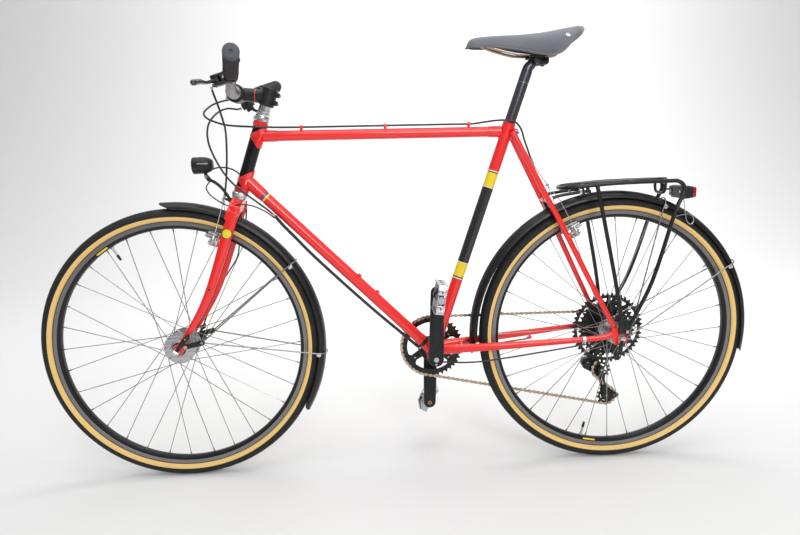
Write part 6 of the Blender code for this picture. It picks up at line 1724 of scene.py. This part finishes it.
def brake_lever(side):
    """A flattened two-finger blade with a rounded tip, and its boss on the pin."""
    pivot = sided(LEVER_PIVOT, side)
    axis = sided(LEVER_AXIS, side)
    points = [LEVER_PIVOT, (-0.947, 0.193, 0.9738), (-0.953, 0.215, 0.969), (-0.957, 0.245, 0.9675),
              (-0.9605, 0.28, 0.962)]
    blade = flow([sided(point, side) for point in points])
    boss = [(0.0029, -0.0058), (0.0074, -0.0058), (0.008, -0.005), (0.008, 0.005), (0.0074, 0.0058),
            (0.0029, 0.0058)]
    tip = sided((-0.9608, 0.283, 0.9615), side)
    knob = [(0, -0.006), (0.003, -0.0053), (0.0052, -0.003), (0.006, 0), (0.0052, 0.003),
            (0.003, 0.0053), (0, 0.006)]
    yield lathe(boss, pivot, axis, ANODISED, 40, True)
    yield pipe(blade, spread([0.005, 0.004, 0.0036, 0.0056, 0.006]), POST_BLACK, 24)
    yield lathe(knob, tip, ACROSS, POST_BLACK, 32)
    link = pivot + Vector((0.002, 0, -0.007))
    yield rod(link - axis * 0.005, link + axis * 0.005, 0.0034, SATIN, steps=20)


def shift_paddle():
    low = SHIFT_PIVOT - LEVER_AXIS * 0.0105
    boss = [(0.0034, -0.0038), (0.0094, -0.0038), (0.01, -0.003), (0.01, 0.003), (0.0094, 0.0038),
            (0.0034, 0.0038)]
    points = flow([low + Vector((0.006, 0.007, -0.001)), low + Vector((0.016, 0.02, -0.004)),
                   low + Vector((0.03, 0.034, -0.002))])
    pad = low + Vector((0.03, 0.034, -0.0015))
    return [lathe(boss, low, LEVER_AXIS, PLASTIC, 40, True),
            pipe(points, spread([0.0038, 0.0036, 0.0048]), PLASTIC, 20, 0.9),
            block(pad, (0.012, 0.009, 0.0062), GRIP, (1, 1, 0), LEVER_AXIS, 0.0022)]


gather("left_lever_body_forked", "steering", lever_body(-1), "left_lever_body")
gather("right_lever_body_forked", "steering", [*lever_body(1), *shifter()], "right_lever_body")
for side, word in SIDES:
    gather(word + "_brake_blade", word + "_lever", brake_lever(side), word + "_brake_lever")
gather("shift_paddle", "thumb_lever", shift_paddle(), "shift_lever")

# %% [markdown]
# ## Mudguards
#
# A mudguard is a strip of sheet, rolled to a shallow arch across and bent round the wheel. Its
# long edges are rolled over into a small bead, which stiffens them and takes the light as a thin
# line. The strip is swept here point by point, and narrows to a rounded end.

# %% Swept sheets with beaded edges
FRONT_ARCH = (FRONT_AXLE, 0.3646, radians(94), radians(-30), 0.047)
REAR_ARCH = (Vector((-0.008, 0, 0.349)), 0.3664, radians(190), radians(-10), 0.046)
ARCH_DROP = 0.0165
SHEET = 0.0015
WIRE_R = 0.0018
EYE_HALF = 0.002


def arch_point(arch, angle, around, lift=0.0):
    """A point on the outside of a mudguard: an angle along it, another across it."""
    centre, radius, first, last, width = arch
    r = radius + lift - (ARCH_DROP + lift) * (1 - cos(around))
    y = (width / 2 + lift) * sin(around)
    return centre + Vector((r * cos(angle), y, r * sin(angle)))


def arch_angle(arch, part):
    """The angle at a share of the way along a mudguard."""
    return arch[2] + (arch[3] - arch[2]) * part


def narrowing(part):
    """How wide the strip is near its ends, as a share of its full width."""
    if part < 0.036:
        return 0.34 + 0.66 * (part / 0.036) ** 0.8
    edge = (1 - part) / 0.022
    return 1.0 if edge >= 1 else 0.62 + 0.38 * sqrt(max(0.0, 1 - (1 - edge) ** 2))


def swept_sheet(arch, steps=140, across=18):
    """A closed strip of sheet with a faint ridge along its middle."""
    shape = bmesh.new()
    rings = []
    for step in range(steps + 1):
        part = step / steps
        angle = arch_angle(arch, part)
        reach = pi / 2 * narrowing(part)
        ring = []
        for side, lift in ((1, 0.0), (-1, -SHEET)):
            for k in range(across + 1):
                around = side * reach * (2 * k / across - 1)
                ridge = 0.0008 * exp(-(around / 0.16) ** 2)
                ring.append(shape.verts.new(arch_point(arch, angle, around, lift - 0.0008 + ridge)))
        rings.append(ring)
    skin(shape, rings)
    shape.faces.new(rings[0])
    shape.faces.new(rings[-1])
    return wear(shape, GUARD)


def beads(arch):
    """The rolled edges and a folded lip across each end."""
    for side in (-1, 1):
        edge = [arch_point(arch, arch_angle(arch, step / 120), side * pi / 2 * narrowing(step / 120),
                           -0.0014) for step in range(121)]
        yield pipe(edge, 0.0012, GUARD, 10)
    for part in (0.0, 1.0):
        angle = arch_angle(arch, part)
        reach = pi / 2 * narrowing(part)
        lip = [arch_point(arch, angle, reach * k / 8, -0.001) for k in range(-8, 9)]
        yield pipe(lip, 0.0013, GUARD, 10)


def wire_clamp(arch, angle):
    """A small bright clamp and bolt at each edge, where a wire passes the mudguard."""
    radial = Vector((cos(angle), 0, sin(angle)))
    along = Vector((-sin(angle), 0, cos(angle)))
    for side in (-1, 1):
        edge = arch_point(arch, angle, side * pi / 2, 0.0016)
        yield block(edge - radial * 0.001 - along * 0.004, (0.011, 0.004, 0.0085), ALLOY, radial, along,
                    0.001)
        bolt = edge - along * 0.005 - radial * 0.001
        yield rod(bolt, bolt + ACROSS * side * 0.0052, 0.003, ALLOY, steps=20)
        yield rod(edge - along * 0.012, edge + along * 0.002, 0.0012, STEEL, steps=12)


def stay_wire(arch, angle, start):
    """A wire from one eye, over the mudguard and back to the other side's eye."""
    lift = WIRE_R + 0.0013
    low = arch_point(arch, angle, -pi / 2, lift)
    radial = Vector((cos(angle), 0, sin(angle)))
    side = [start, low - radial * 0.012]
    over = [arch_point(arch, angle, -pi / 2 + pi * k / 16, lift) for k in range(17)]
    other = [sided(point, -1) for point in reversed(side)]
    return pipe(side + over + other, WIRE_R, STEEL, 14)


def front_stays():
    """A link on each fork end, two wires over the mudguard and their clamps."""
    link_start = FRONT_AXLE + Vector((0.024, 0, 0.012))
    link_end = FRONT_AXLE + Vector((0.064, 0, 0.021))
    y = FORK_Y + PLATE_HALF + CLEARANCE + EYE_HALF
    for side in (-1, 1):
        tip = (link_end.x - link_start.x, link_end.z - link_start.z)
        yield side_plate(capsule((0, 0), tip, 0.006, 0.007), 0.004, side * y, link_start, PLASTIC,
                         soft=0.0008)
        bolt = link_start + ACROSS * side * (y + 0.0018)
        yield rod(bolt, bolt + ACROSS * side * 0.0036, 0.0045, SATIN, steps=24)
        grub = link_end + ACROSS * side * (y + 0.0018)
        yield rod(grub, grub + ACROSS * side * 0.0016, 0.0034, STEEL, steps=20)
    for angle in (radians(35.5), radians(-4.5)):
        yield stay_wire(FRONT_ARCH, angle, link_end - ACROSS * y)
        yield from wire_clamp(FRONT_ARCH, angle)


def rear_stays():
    y = DROPOUT_OUT + CLEARANCE + EYE_HALF
    eye = REAR_AXLE + Vector((0.0185, 0, 0.003))
    for side in (-1, 1):
        yield rod(eye + ACROSS * side * (y - 0.002), eye + ACROSS * side * (y + 0.004), 0.0054, STEEL,
                  steps=28)
        yield rod(eye + ACROSS * side * (y + 0.0038), eye + ACROSS * side * (y + 0.0048), 0.0036,
                  PLASTIC, steps=20)
    for angle in (radians(69.0), radians(29.0)):
        yield stay_wire(REAR_ARCH, angle, eye - ACROSS * (y + 0.002))
        yield from wire_clamp(REAR_ARCH, angle)


tab = block(steer(0.3655, 0.001), (0.024, 0.018, 0.0074), GUARD, STEER_AHEAD, STEER_UP)
gather("front_mudguard", "steering", [swept_sheet(FRONT_ARCH), tab, *beads(FRONT_ARCH)], "front_fender")
hook = block((-0.177, 0, 0.6812), (0.012, 0.016, 0.02), GUARD, (0.895, 0, 0.446), (-0.446, 0, 0.895),
             0.0014)
foot = block((-0.3806, 0, 0.3232), (0.0168, 0.014, 0.01), GUARD, soft=0.0014)
rear_sheet = REAR_ARCH[:2] + (radians(187), ) + REAR_ARCH[3:]
gather("rear_mudguard", "frame", [swept_sheet(rear_sheet, 200), hook, foot, *beads(rear_sheet)],
       "rear_fender")
gather("front_mudguard_stays", "steering", front_stays(), "front_fender_stays")
gather("rear_mudguard_stays", "frame", rear_stays(), "rear_fender_stays")

# %% [markdown]
# ## Rack
#
# The rack is one long tube bent into a loop: it starts at the left foot, runs up the leg and
# forward along the top, round the front and back down to the right foot. Shorter tubes, a plate
# and two struts finish it, all painted black in one go.

# %% Rack with its legs, struts and feet
RACK_R = 0.005
RACK_FOOT = REAR_AXLE + Vector((0.012, 0, 0.017))
RACK_HALF = [(-0.1445, 0.0, 0.7247), (-0.143, 0.016, 0.725), (-0.137, 0.033, 0.7262),
             (-0.121, 0.045, 0.7282), (-0.095, 0.05, 0.7305), (-0.0106, 0.055, 0.7361),
             (0.115, 0.056, 0.7385), (0.134, 0.0565, 0.737), (0.1455, 0.0575, 0.729),
             (0.1482, 0.059, 0.7153), (0.143, 0.061, 0.7), (0.1241, 0.064, 0.656),
             (0.0749, 0.07, 0.4945), (0.025, 0.0755, 0.393)]


def rack_parts():
    foot_y = DROPOUT_OUT + CLEARANCE + RACK_R + 0.0002
    half = RACK_HALF + [(RACK_FOOT.x, foot_y, RACK_FOOT.z)]
    route = [sided(point, -1) for point in reversed(half[1:])] + [Vector(p) for p in half]
    inner = [Vector((x + 0.014 * max(0.0, 1 - y / 0.05), y * 0.62, z - 0.0004)) for x, y,
             z in RACK_HALF[:6]]
    inner = [sided(point, -1) for point in reversed(inner[1:])] + inner
    yield pipe(flow(route, 5), RACK_R, PAINTED, 20)
    yield pipe(flow(inner, 5), 0.0036, PAINTED, 16)
    for side in (-1, 1):
        front_leg = [(-0.069, side * 0.052, 0.732), (-0.064, side * 0.06, 0.71),
                     (-0.0197, side * 0.068, 0.4997), (-0.0005, side * 0.0758, 0.39),
                     (RACK_FOOT.x, side * foot_y, RACK_FOOT.z)]
        yield pipe(flow(front_leg, 5), RACK_R, PAINTED, 20)
        yield rod((-0.088, side * 0.048, 0.731), (-0.088, side * 0.045, 0.716), 0.0045, PAINTED)
        strut = flow([(-0.08, side * 0.044, 0.7172), (-0.1, side * 0.045, 0.716),
                      (-0.15, side * 0.046, 0.7095), (-0.174, side * 0.045, 0.7035)])
        yield pipe(strut, 0.004, PAINTED, 20)
        clamp = (-0.105, side * 0.045, 0.7172)
        yield block(clamp, (0.0075, 0.011, 0.0125), ALLOY, (1, 0, 0.1), soft=0.0014)
        yield rod(RACK_FOOT + ACROSS * side * (DROPOUT_OUT + CLEARANCE),
                  RACK_FOOT + ACROSS * side * (foot_y + 0.005), 0.0072, PAINTED)
        yield rod(RACK_FOOT + ACROSS * side * (foot_y + 0.0046),
                  RACK_FOOT + ACROSS * side * (foot_y + 0.006), 0.0042, SATIN, steps=20)
        yield block((0.003, side * (DROPOUT_OUT + 0.0042), 0.378), (0.023, 0.0064, 0.035), PAINTED,
                    soft=0.0022)
        stem = RACK_FOOT + Vector((0.002, side * foot_y, 0.03))
        yield pipe([RACK_FOOT + ACROSS * side * foot_y, stem], [0.0066, 0.0052], PAINTED, 20, 0.7)
    for x, y, z in ((-0.095, 0.05, 0.7305), (0.03, 0.0555, 0.737), (0.115, 0.056, 0.7385)):
        yield rod((x, -y, z), (x, y, z), 0.0045, PAINTED)
    yield block((0.01, 0, 0.7392), (0.23, 0.03, 0.0044), PAINTED, (1, 0, 0.038), (-0.038, 0, 1), 0.0012)
    hoop = [Vector((0.115, side * y, z)) for side, y, z in ((-1, 0.03, 0.7375), (-1, 0.027, 0.716),
                                                            (-1, 0.016, 0.708), (1, 0.016, 0.708),
                                                            (1, 0.027, 0.716), (1, 0.03, 0.7375))]
    yield pipe(flow(hoop), 0.0035, PAINTED, 16)
    yield block((0.1585, 0, 0.71), (0.003, 0.076, 0.024), PAINTED)
    for side in (-1, 1):
        yield block((0.154, side * 0.048, 0.713), (0.012, 0.024, 0.004), PAINTED)
        yield rod((0.156, side * 0.025, 0.71), (0.154, side * 0.025, 0.71), 0.004, SATIN, steps=20)


gather("rack_tubular", "frame", rack_parts(), "rack")

# %% [markdown]
# ## Lamps
#
# The tail light is a black housing with a red lens that wraps its back, and a small reflector in
# the middle. The headlight is a short black barrel with a mirror behind a clear lens. It tilts
# on a bolt between the ears of its bracket, which also carries the brake cable's guide.

# %% Tail light and headlight


def tail_light():
    yield block((0.169, 0, 0.708), (0.018, 0.074, 0.032), PLASTIC, soft=0.004)
    yield block((0.18, 0, 0.708), (0.013, 0.072, 0.029), PLASTIC, soft=0.004)
    yield block((0.188, 0, 0.708), (0.011, 0.07, 0.025), RED_LENS, soft=0.0036)
    yield block((0.192, 0, 0.708), (0.0056, 0.028, 0.017), AMBER, soft=0.0016)
    for side in (-1, 1):
        yield block((0.187, side * 0.032, 0.708), (0.011, 0.008, 0.026), RED_LENS, soft=0.003)
    for k in range(5):
        yield block((0.1918, 0.019 + 0.004 * k - 0.004, 0.708), (0.005, 0.0009, 0.02), RED_LENS,
                    soft=0.0002)


LAMP_HINGE = Vector((-1.019, 0, 0.7732))
LAMP_CENTRE = Vector((-1.027, 0, 0.8004))


def lamp_bracket():
    """The stalk from the fork crown, forked ears, their bolt and the cable guide."""
    base = steer(0.39, 0.0143)
    stalk = [base + STEER_AHEAD * 0.0045 + STEER_UP * 0.002, Vector((-0.978, 0.008, 0.733)),
             Vector((-0.9899, 0.0085, 0.748)), Vector((-1.003, 0.005, 0.7595)),
             Vector((-1.012, 0.0, 0.7648))]
    yield block(base + STEER_AHEAD * 0.0025, (0.005, 0.02, 0.02), PLASTIC, STEER_AHEAD, STEER_UP,
                0.0014)
    yield rod(base + STEER_AHEAD * 0.0048, base + STEER_AHEAD * 0.0072, 0.0046, SATIN, steps=6)
    yield pipe(flow(stalk), 0.0038, PLASTIC, 20)
    down_line = Vector((0.6, 0, -0.8)).normalized()
    above = down_line.cross(ACROSS)
    yield block(LAMP_HINGE + down_line * 0.0105, (0.004, 0.0136, 0.0084), PLASTIC, down_line, above)
    for side in (-1, 1):
        yield block(LAMP_HINGE + ACROSS * side * 0.0058 + down_line * 0.0045, (0.016, 0.0028, 0.0088),
                    PLASTIC, down_line, above, 0.0012)
        head = LAMP_HINGE + ACROSS * side * 0.007
        yield rod(head, head + ACROSS * side * 0.0024, 0.0038, SATIN, steps=20)
    yield rod(LAMP_HINGE - ACROSS * 0.0072, LAMP_HINGE + ACROSS * 0.0072, 0.002, SATIN)
    hanger = [base + STEER_AHEAD * 0.004 - ACROSS * 0.0045, Vector((-0.972, -0.003, 0.716)),
              Vector((-0.9765, -0.001, 0.7175))]
    yield pipe(flow(hanger), 0.003, PLASTIC, 16)
    yield lathe([(0.0017, 0), (0.0056, 0), (0.006, 0.0005), (0.006, 0.0026), (0.0054, 0.003),
                 (0.0017, 0.003)], (-0.9812, 0, 0.716), (0.15, 0, 1), SATIN, 28, True)


def headlight():
    """Barrel with a heel, a bright rim, mirror bowl, lens and the neck to its hinge."""
    beam = Vector((-1, 0, -0.03)).normalized()
    back = LAMP_CENTRE - beam * 0.025
    shell = [(0.0, 0.0), (0.0105, 0.0), (0.0125, 0.0012), (0.0165, 0.007), (0.019, 0.015),
             (0.02, 0.024), (0.0203, 0.033), (0.0203, 0.0462), (0.0196, 0.0476), (0.0183, 0.0476),
             (0.018, 0.0455), (0.0172, 0.04), (0.012, 0.033), (0.0, 0.031)]
    bowl = [(0.0, 0.032), (0.0115, 0.0338), (0.0166, 0.04), (0.0178, 0.044), (0.017, 0.044),
            (0.0158, 0.0404), (0.011, 0.0346), (0.0, 0.0328)]
    lens = [(0.0, 0.0492), (0.012, 0.0484), (0.0178, 0.0468), (0.0182, 0.0456), (0.0, 0.0472)]
    yield lathe(shell, back, beam, PLASTIC, 72)
    yield lathe(bowl, back, beam, MIRROR, 64)
    yield lathe(lens, back, beam, CLEAR, 64)
    yield sleeve(back, beam, 0.04, 0.0424, 0.0205, 0.02, PLASTIC, 0.0003)
    for height in (-0.5, 0.5):
        yield block(LAMP_CENTRE + Vector((0.004, -0.0196, height * 0.008)), (0.026, 0.0016, 0.0026),
                    SATIN if height > 0 else PLASTIC, soft=0.0006)
    yield rod(LAMP_HINGE - ACROSS * 0.004, LAMP_HINGE + ACROSS * 0.004, 0.005, PLASTIC)
    yield block(LAMP_HINGE.lerp(LAMP_CENTRE, 0.35) + Vector((0.001, 0, 0)), (0.0074, 0.0074, 0.016),
                PLASTIC, soft=0.0012)


gather("tail_light_lens", "frame", tail_light(), "tail_light")
gather("headlight_bracket_bent", "steering", lamp_bracket(), "headlight_bracket")
gather("headlight_barrel", "lamp", headlight(), "headlight")

# %% [markdown]
# ## Saddle and seatpost
#
# The saddle is a thin moulded shell, stretched between a nose piece and a cantle plate and held
# by rivets, with no padding. Its skirt drops deepest just behind the middle. Two bronze-coloured
# rails spring it, and the seatpost's clamp grips them on a short bent neck.

# %% Saddle shell from smooth curves
SADDLE_X = [-0.3795, -0.374, -0.361, -0.316, -0.255, -0.209, -0.179, -0.148, -0.124, -0.1085, -0.0955]
SADDLE_TOP = [1.072, 1.0815, 1.0875, 1.092, 1.0942, 1.0975, 1.101, 1.1055, 1.1085, 1.11, 1.1115]
SADDLE_HALF = [0.009, 0.014, 0.0185, 0.0225, 0.032, 0.05, 0.066, 0.074, 0.066, 0.042, 0.008]
SADDLE_SKIRT = [0.005, 0.0125, 0.0195, 0.0258, 0.037, 0.053, 0.0575, 0.042, 0.027, 0.014, 0.0045]
RAIL_Z = 1.046
RAIL_Y = 0.0215


def smooth_value(x, values):
    """A value along the saddle, on a smooth curve through its stations."""
    route = flow([(at, 0, value) for at, value in zip(SADDLE_X, values)], 8)
    return float(np.interp(x, [point.x for point in route], [point.z for point in route]))


def saddle_point(x, around, inward=0.0):
    """A point on the shell: a distance along it and an angle down from its top."""
    drop = smooth_value(x, SADDLE_SKIRT) * (1 - cos(around)) ** 1.3
    half = smooth_value(x, SADDLE_HALF) - inward
    dip = 0.003 * exp(-(around / 0.35) ** 2) * max(0.0, min(1.0, (x + 0.34) / 0.12))
    return Vector((x, half * sin(around) * 1.02, smooth_value(x, SADDLE_TOP) - drop - dip - inward))


def saddle_shell(along=72, across=32):
    shape = bmesh.new()
    rings = []
    for step in range(along + 1):
        x = SADDLE_X[0] + (SADDLE_X[-1] - SADDLE_X[0]) * step / along
        ring = [shape.verts.new(saddle_point(x, pi / 2 * (2 * k / across - 1)))
                for k in range(across + 1)]
        ring += [shape.verts.new(saddle_point(x, pi / 2 * (1 - 2 * k / across), 0.0042))
                 for k in range(across + 1)]
        rings.append(ring)
    skin(shape, rings)
    shape.faces.new(rings[0])
    shape.faces.new(rings[-1])
    return wear(shape, VINYL, sharp=50)


def saddle_parts():
    """Shell, edge welt, rivets, nose and cantle plates, and the two rails."""
    yield saddle_shell()
    for side in (-1, 1):
        edge = [saddle_point(SADDLE_X[0] + (SADDLE_X[-1] - SADDLE_X[0]) * step / 60, side * pi / 2,
                             0.0018) for step in range(61)]
        yield pipe(edge, 0.0026, VINYL, 12)
        for x, around, radius in ((-0.152, 1.18, 0.0062), (-0.12, 0.5, 0.0046)):
            spot = saddle_point(x, side * around)
            out = (spot - saddle_point(x, side * around, 0.0042)).normalized()
            yield lathe([(0, 0.0014), (radius * 0.7, 0.001), (radius, 0.0), (radius, -0.002),
                         (0, -0.002)], spot, out, ALLOY, 32)
        rail = [(-0.357, 0.006, 1.085), (-0.348, 0.01, 1.073), (-0.32, 0.016, 1.062),
                (-0.275, 0.0205, 1.05), (-0.245, RAIL_Y, RAIL_Z), (-0.175, RAIL_Y, RAIL_Z),
                (-0.15, 0.026, 1.053), (-0.132, 0.038, 1.076), (-0.124, 0.044, 1.098)]
        yield pipe(flow([sided(point, side) for point in rail]), 0.0035, RAIL, 18)
        yield block((-0.128, side * 0.04, 1.088), (0.024, 0.026, 0.008), PLASTIC, (1, 0, 0.2),
                    soft=0.0024)
        yield rod((-0.129, side * 0.043, 1.087), (-0.127, side * 0.043, 1.08), 0.0032, SATIN, steps=20)
    yield block((-0.122, 0, 1.096), (0.02, 0.08, 0.005), PLASTIC, (1, 0, 0.18), soft=0.0018)
    yield block((-0.36, 0, 1.079), (0.02, 0.015, 0.01), PLASTIC, (1, 0, 0.2), soft=0.0028)


def seatpost_parts():
    """Post, bent neck, yoke, two-part clamp and its bolt."""
    top = seat(0.748)
    neck = flow([seat(0.726), seat(0.744), Vector((-0.2215, 0, 1.024)), Vector((-0.212, 0, 1.034))])
    yield rod(seat(0.4), seat(0.738), 0.0136, POST_BLACK, steps=64)
    yield pipe(neck, spread([0.0134, 0.013, 0.0124, 0.01]), POST_BLACK, 32)
    yield block((-0.195, 0, 1.031), (0.03, 0.034, 0.017), PLASTIC, (1, 0, 0.1), soft=0.005)
    yield rod((-0.211, -0.0265, 1.0325), (-0.211, 0.0265, 1.0325), 0.0086, PLASTIC, steps=40)
    yield sleeve(top, SEAT_UP, -0.04, -0.0392, 0.0137, 0.013, SATIN, 0.0001)
    for side in (-1, 1):
        for lift, tall in ((0.0046, 0.005), (-0.0046, 0.0056)):
            yield block((-0.211, side * RAIL_Y, RAIL_Z + lift), (0.038, 0.012, tall), PLASTIC,
                        soft=0.0014)
    for x in (-0.196, -0.227):
        yield rod((x, 0, 1.039), (x + 0.003, 0, 1.021), 0.0028, SATIN, steps=20)
        yield rod((x + 0.003, 0, 1.024), (x + 0.0036, 0, 1.02), 0.0044, PLASTIC, steps=20)


gather("saddle_riveted", "seat", saddle_parts(), "saddle")
gather("seatpost_clamped", "seat", seatpost_parts(), "seatpost")

# %% [markdown]
# ## Cables and wires
#
# A brake cable is a steel wire in a black housing, and every end of the housing sits in a small
# metal cap. The cables that run from the handlebar to the frame would have to bend when it turns;
# here each one is merged into a single mesh that stays where it is drawn.

# %% Brake and gear cables
HOUSING_R = 0.0024
INNER_R = 0.001
BUNDLE_R = 0.004


def housing(points, radius=HOUSING_R, material=HOUSING, parts=8):
    """A housing along a smooth route, with a metal cap on each end."""
    route = flow(points, parts)
    caps = []
    for end, inner in ((route[0], route[2]), (route[-1], route[-3])):
        line = (inner - end).normalized()
        caps.append(rod(end - line * 0.001, end + line * 0.008, radius + 0.0006, SATIN, steps=16))
    return [pipe(route, radius, material, 14)] + caps


def straddle(front, yoke):
    """The wire from a yoke down to the bolts of both brake arms."""
    yield rod(yoke - STEER_AHEAD * 0.004, yoke + STEER_AHEAD * 0.004, 0.0038, SATIN, steps=24)
    for side in (-1, 1):
        anchor = brake_point(front, side, 0.03, 0.019, ARM_DEPTH / 2)
        points = [yoke, anchor] if front else [yoke, Vector((-0.15, side * 0.03, 0.694)), anchor]
        yield pipe(points, INNER_R, ALLOY, 8)


front_line = [(-0.956, -0.156, 0.968), (-0.957, -0.14, 0.956), (-0.954, -0.118, 0.933),
              (-0.951, -0.095, 0.905), (-0.95, -0.075, 0.878), (-0.956, -0.048, 0.8353),
              (-0.965, -0.022, 0.7884), (-0.9745, -0.005, 0.744), (-0.9802, -0.0005, 0.7197)]
front_yoke = Vector((-0.9833, 0, 0.71))
gather("front_brake_cable_housed", "steering", [*housing(front_line), pipe([Vector((-0.98, 0, 0.7225)),
                                                                            front_yoke], INNER_R, STEEL,
                                                                           8),
                                                *straddle(True, front_yoke)], "front_brake_cable")


def bending(name, items, start, end, *solids):
    """Shapes merged into one cable that stays where it is drawn; start and end are not used."""
    cable = gather(name, "frame", items, *solids)
    placed = cable.matrix_world.copy()
    cable.parent = None
    cable.matrix_world = placed
    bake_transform(cable)


rear_line = [(-0.956, 0.147, 0.966), (-0.964, 0.13, 0.964), (-0.98, 0.105, 0.963),
             (-1.005, 0.065, 0.95), (-1.0184, 0.02, 0.9285), (-1.0096, -0.006, 0.914),
             (-0.9886, -0.02, 0.903), (-0.9592, -0.029, 0.894), (-0.9256, -0.033, 0.89),
             (-0.8877, -0.032, 0.888), (-0.8505, -0.024, 0.8866), (-0.816, -0.01, 0.8866),
             (-0.79, -0.004, 0.8866), (-0.7, -0.004, 0.8866), (-0.44, -0.004, 0.8866),
             (-0.37, -0.004, 0.8866), (-0.3344, -0.008, 0.8905), (-0.308, -0.017, 0.893),
             (-0.285, -0.023, 0.8925), (-0.263, -0.024, 0.887), (-0.248, -0.019, 0.87),
             (-0.238, -0.011, 0.845), (-0.227, -0.004, 0.82), (-0.217, 0.0, 0.794)]
rear_yoke = Vector((-0.1753, 0, 0.733))
rear_parts = [*housing(rear_line), *straddle(False, rear_yoke)]
rear_parts += [rod((-0.2195, 0, 0.801), (-0.213, 0, 0.783), 0.0044, SATIN, steps=24),
               pipe([Vector((-0.215, 0, 0.788)), rear_yoke], INNER_R, STEEL, 8)]
bending("rear_brake_cable_housed", rear_parts, (-0.985, 0.105, 0.963), (-0.816, -0.01, 0.8866),
        "rear_brake_cable")


def gear_and_light_runs():
    """The gear housing, the sleeve under the down tube and the two wires behind it."""
    gear = [SHIFT_PIVOT + Vector((-0.019, -0.003, -0.008)), (-0.957, 0.106, 0.94), (-0.976, 0.08, 0.94),
            (-0.9936, 0.05, 0.928), (-1.0065, 0.02, 0.906), (-1.0096, 0.0, 0.8822),
            (-1.0067, -0.01, 0.8558), (-0.9971, -0.019, 0.8295), (-0.9813, -0.026, 0.7984),
            (-0.9611, -0.031, 0.7683), (-0.9362, -0.033, 0.7427), (-0.907, -0.031, 0.719),
            (-0.8779, -0.025, 0.6949), (-0.856, -0.019, 0.674)]
    lift = MAIN_TUBE_R + 0.0012 + BUNDLE_R + 0.0004
    bundle = [Vector((-0.856, -0.019, 0.674))]
    for along, y, sag in ((0.01, -0.015, 0.0), (0.05, -0.008, 0.003), (0.11, -0.003, 0.007),
                          (0.22, 0.0, 0.008), (0.33, 0.0, 0.006), (0.42, 0.0, 0.002), (0.47, 0.0, 0.0)):
        bundle.append(DOWN_TOP + DOWN_DIR * along - DOWN_NORMAL * (lift + sag) + ACROSS * y)
    end = bundle[-1]
    light = [end - ACROSS * 0.0023, (-0.4975, -0.004, 0.2985), (-0.47, -0.007, 0.283),
             (-0.44, -0.018, 0.2845), (-0.3987, -0.04, 0.289), (-0.3541, -0.052, 0.2935),
             (-0.304, -0.058, 0.301), (-0.2286, -0.062, 0.312), (-0.1532, -0.066, 0.324),
             (-0.0905, -0.069, 0.334)]
    wire = [end + ACROSS * 0.0023, (-0.4975, 0.004, 0.2985), (-0.465, 0.012, 0.2835),
            (-0.42, 0.026, 0.288), (-0.36, 0.044, 0.3), (-0.28, 0.052, 0.31), (-0.2, 0.059, 0.317)]
    yield from housing(gear)
    yield pipe(flow(bundle, 8), BUNDLE_R, HOUSING, 16)
    yield pipe(flow(light, 8), 0.0021, HOUSING, 12)
    yield pipe(flow(wire, 8), 0.0019, HOUSING, 12)


bending("gear_and_light_cables", gear_and_light_runs(), (-0.976, 0.08, 0.94), (-0.878, -0.025, 0.695),
        "shift_and_light_cables")

# %% [markdown]
# ## Thin wires of the lamps
#
# The current comes from the front hub. Thin two-core wires run from its plug up the right fork
# blade to the headlight, and from there under the frame to the tail light. They are too thin to
# matter to the physics, but their loose loops are part of how a fitted bicycle looks.

# %% Lamp wires and the hub's plug
WIRE = 0.0012
crossing = [(-1.0085, 0, 0.7649), (-1.0208, -0.004, 0.7483), (-1.0133, -0.01, 0.7315),
            (-0.9901, -0.022, 0.7146), (-0.9614, -0.036, 0.7028), (-0.9346, -0.038, 0.7059),
            (-0.9073, -0.032, 0.7012), (-0.8806, -0.024, 0.6877), (-0.8583, -0.018, 0.6695)]
bending("light_wire_to_frame", [pipe(flow(crossing, 8), WIRE + 0.0004, HOUSING, 10)],
        (-0.9901, -0.022, 0.7146), (-0.87, -0.021, 0.679))

lamp_lead = [(-1.0055, 0, 0.7902), (-0.9905, 0.004, 0.7942), (-0.9729, 0.012, 0.7934),
             (-0.9556, 0.0215, 0.7863), (-0.9429, 0.028, 0.7724), (-0.936, 0.032, 0.74),
             (-0.935, 0.039, 0.7), (-0.942, 0.045, 0.65), (-0.959, 0.05, 0.605),
             (-0.969, 0.054, 0.5654), (-0.989, 0.056, 0.534), (-1.016, 0.057, 0.496),
             (-1.0373, 0.058, 0.4585), (-1.0531, 0.059, 0.4249), (-1.069, 0.058, 0.388)]
lead = gather("headlight_wire", "steering", [pipe(flow(lamp_lead, 8), WIRE + 0.0007, HOUSING, 10)])
placed = lead.matrix_world.copy()
lead.parent = None
lead.matrix_world = placed
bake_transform(lead)

wedge = [(0.009, -0.006), (0.0495, 0.001), (0.0495, 0.006), (0.0343, 0.0238), (0.0096, 0.009)]
plug = [side_plate(wedge, 0.005, 0.0472, FRONT_AXLE, PLASTIC, soft=0.0012),
        block((-1.0705, 0.054, 0.3815), (0.016, 0.008, 0.013), PLASTIC, (1, 0, 0.5), soft=0.002),
        rod((-1.0705, 0.054, 0.3815), (-1.077, 0.048, 0.37), 0.0034, PLASTIC)]
gather("hub_plug", "steering", plug)

tail_loop = [(0.17, -0.015, 0.693), (0.17, -0.022, 0.674), (0.171, -0.027, 0.654),
             (0.1745, -0.0285, 0.637), (0.1835, -0.029, 0.6275), (0.191, -0.029, 0.632),
             (0.1922, -0.0285, 0.642), (0.1855, -0.03, 0.65), (0.17, -0.038, 0.654),
             (0.148, -0.05, 0.653), (0.129, -0.059, 0.651)]
gather("tail_light_wire", "frame", [pipe(flow(tail_loop, 8), WIRE, SATIN, 10)])
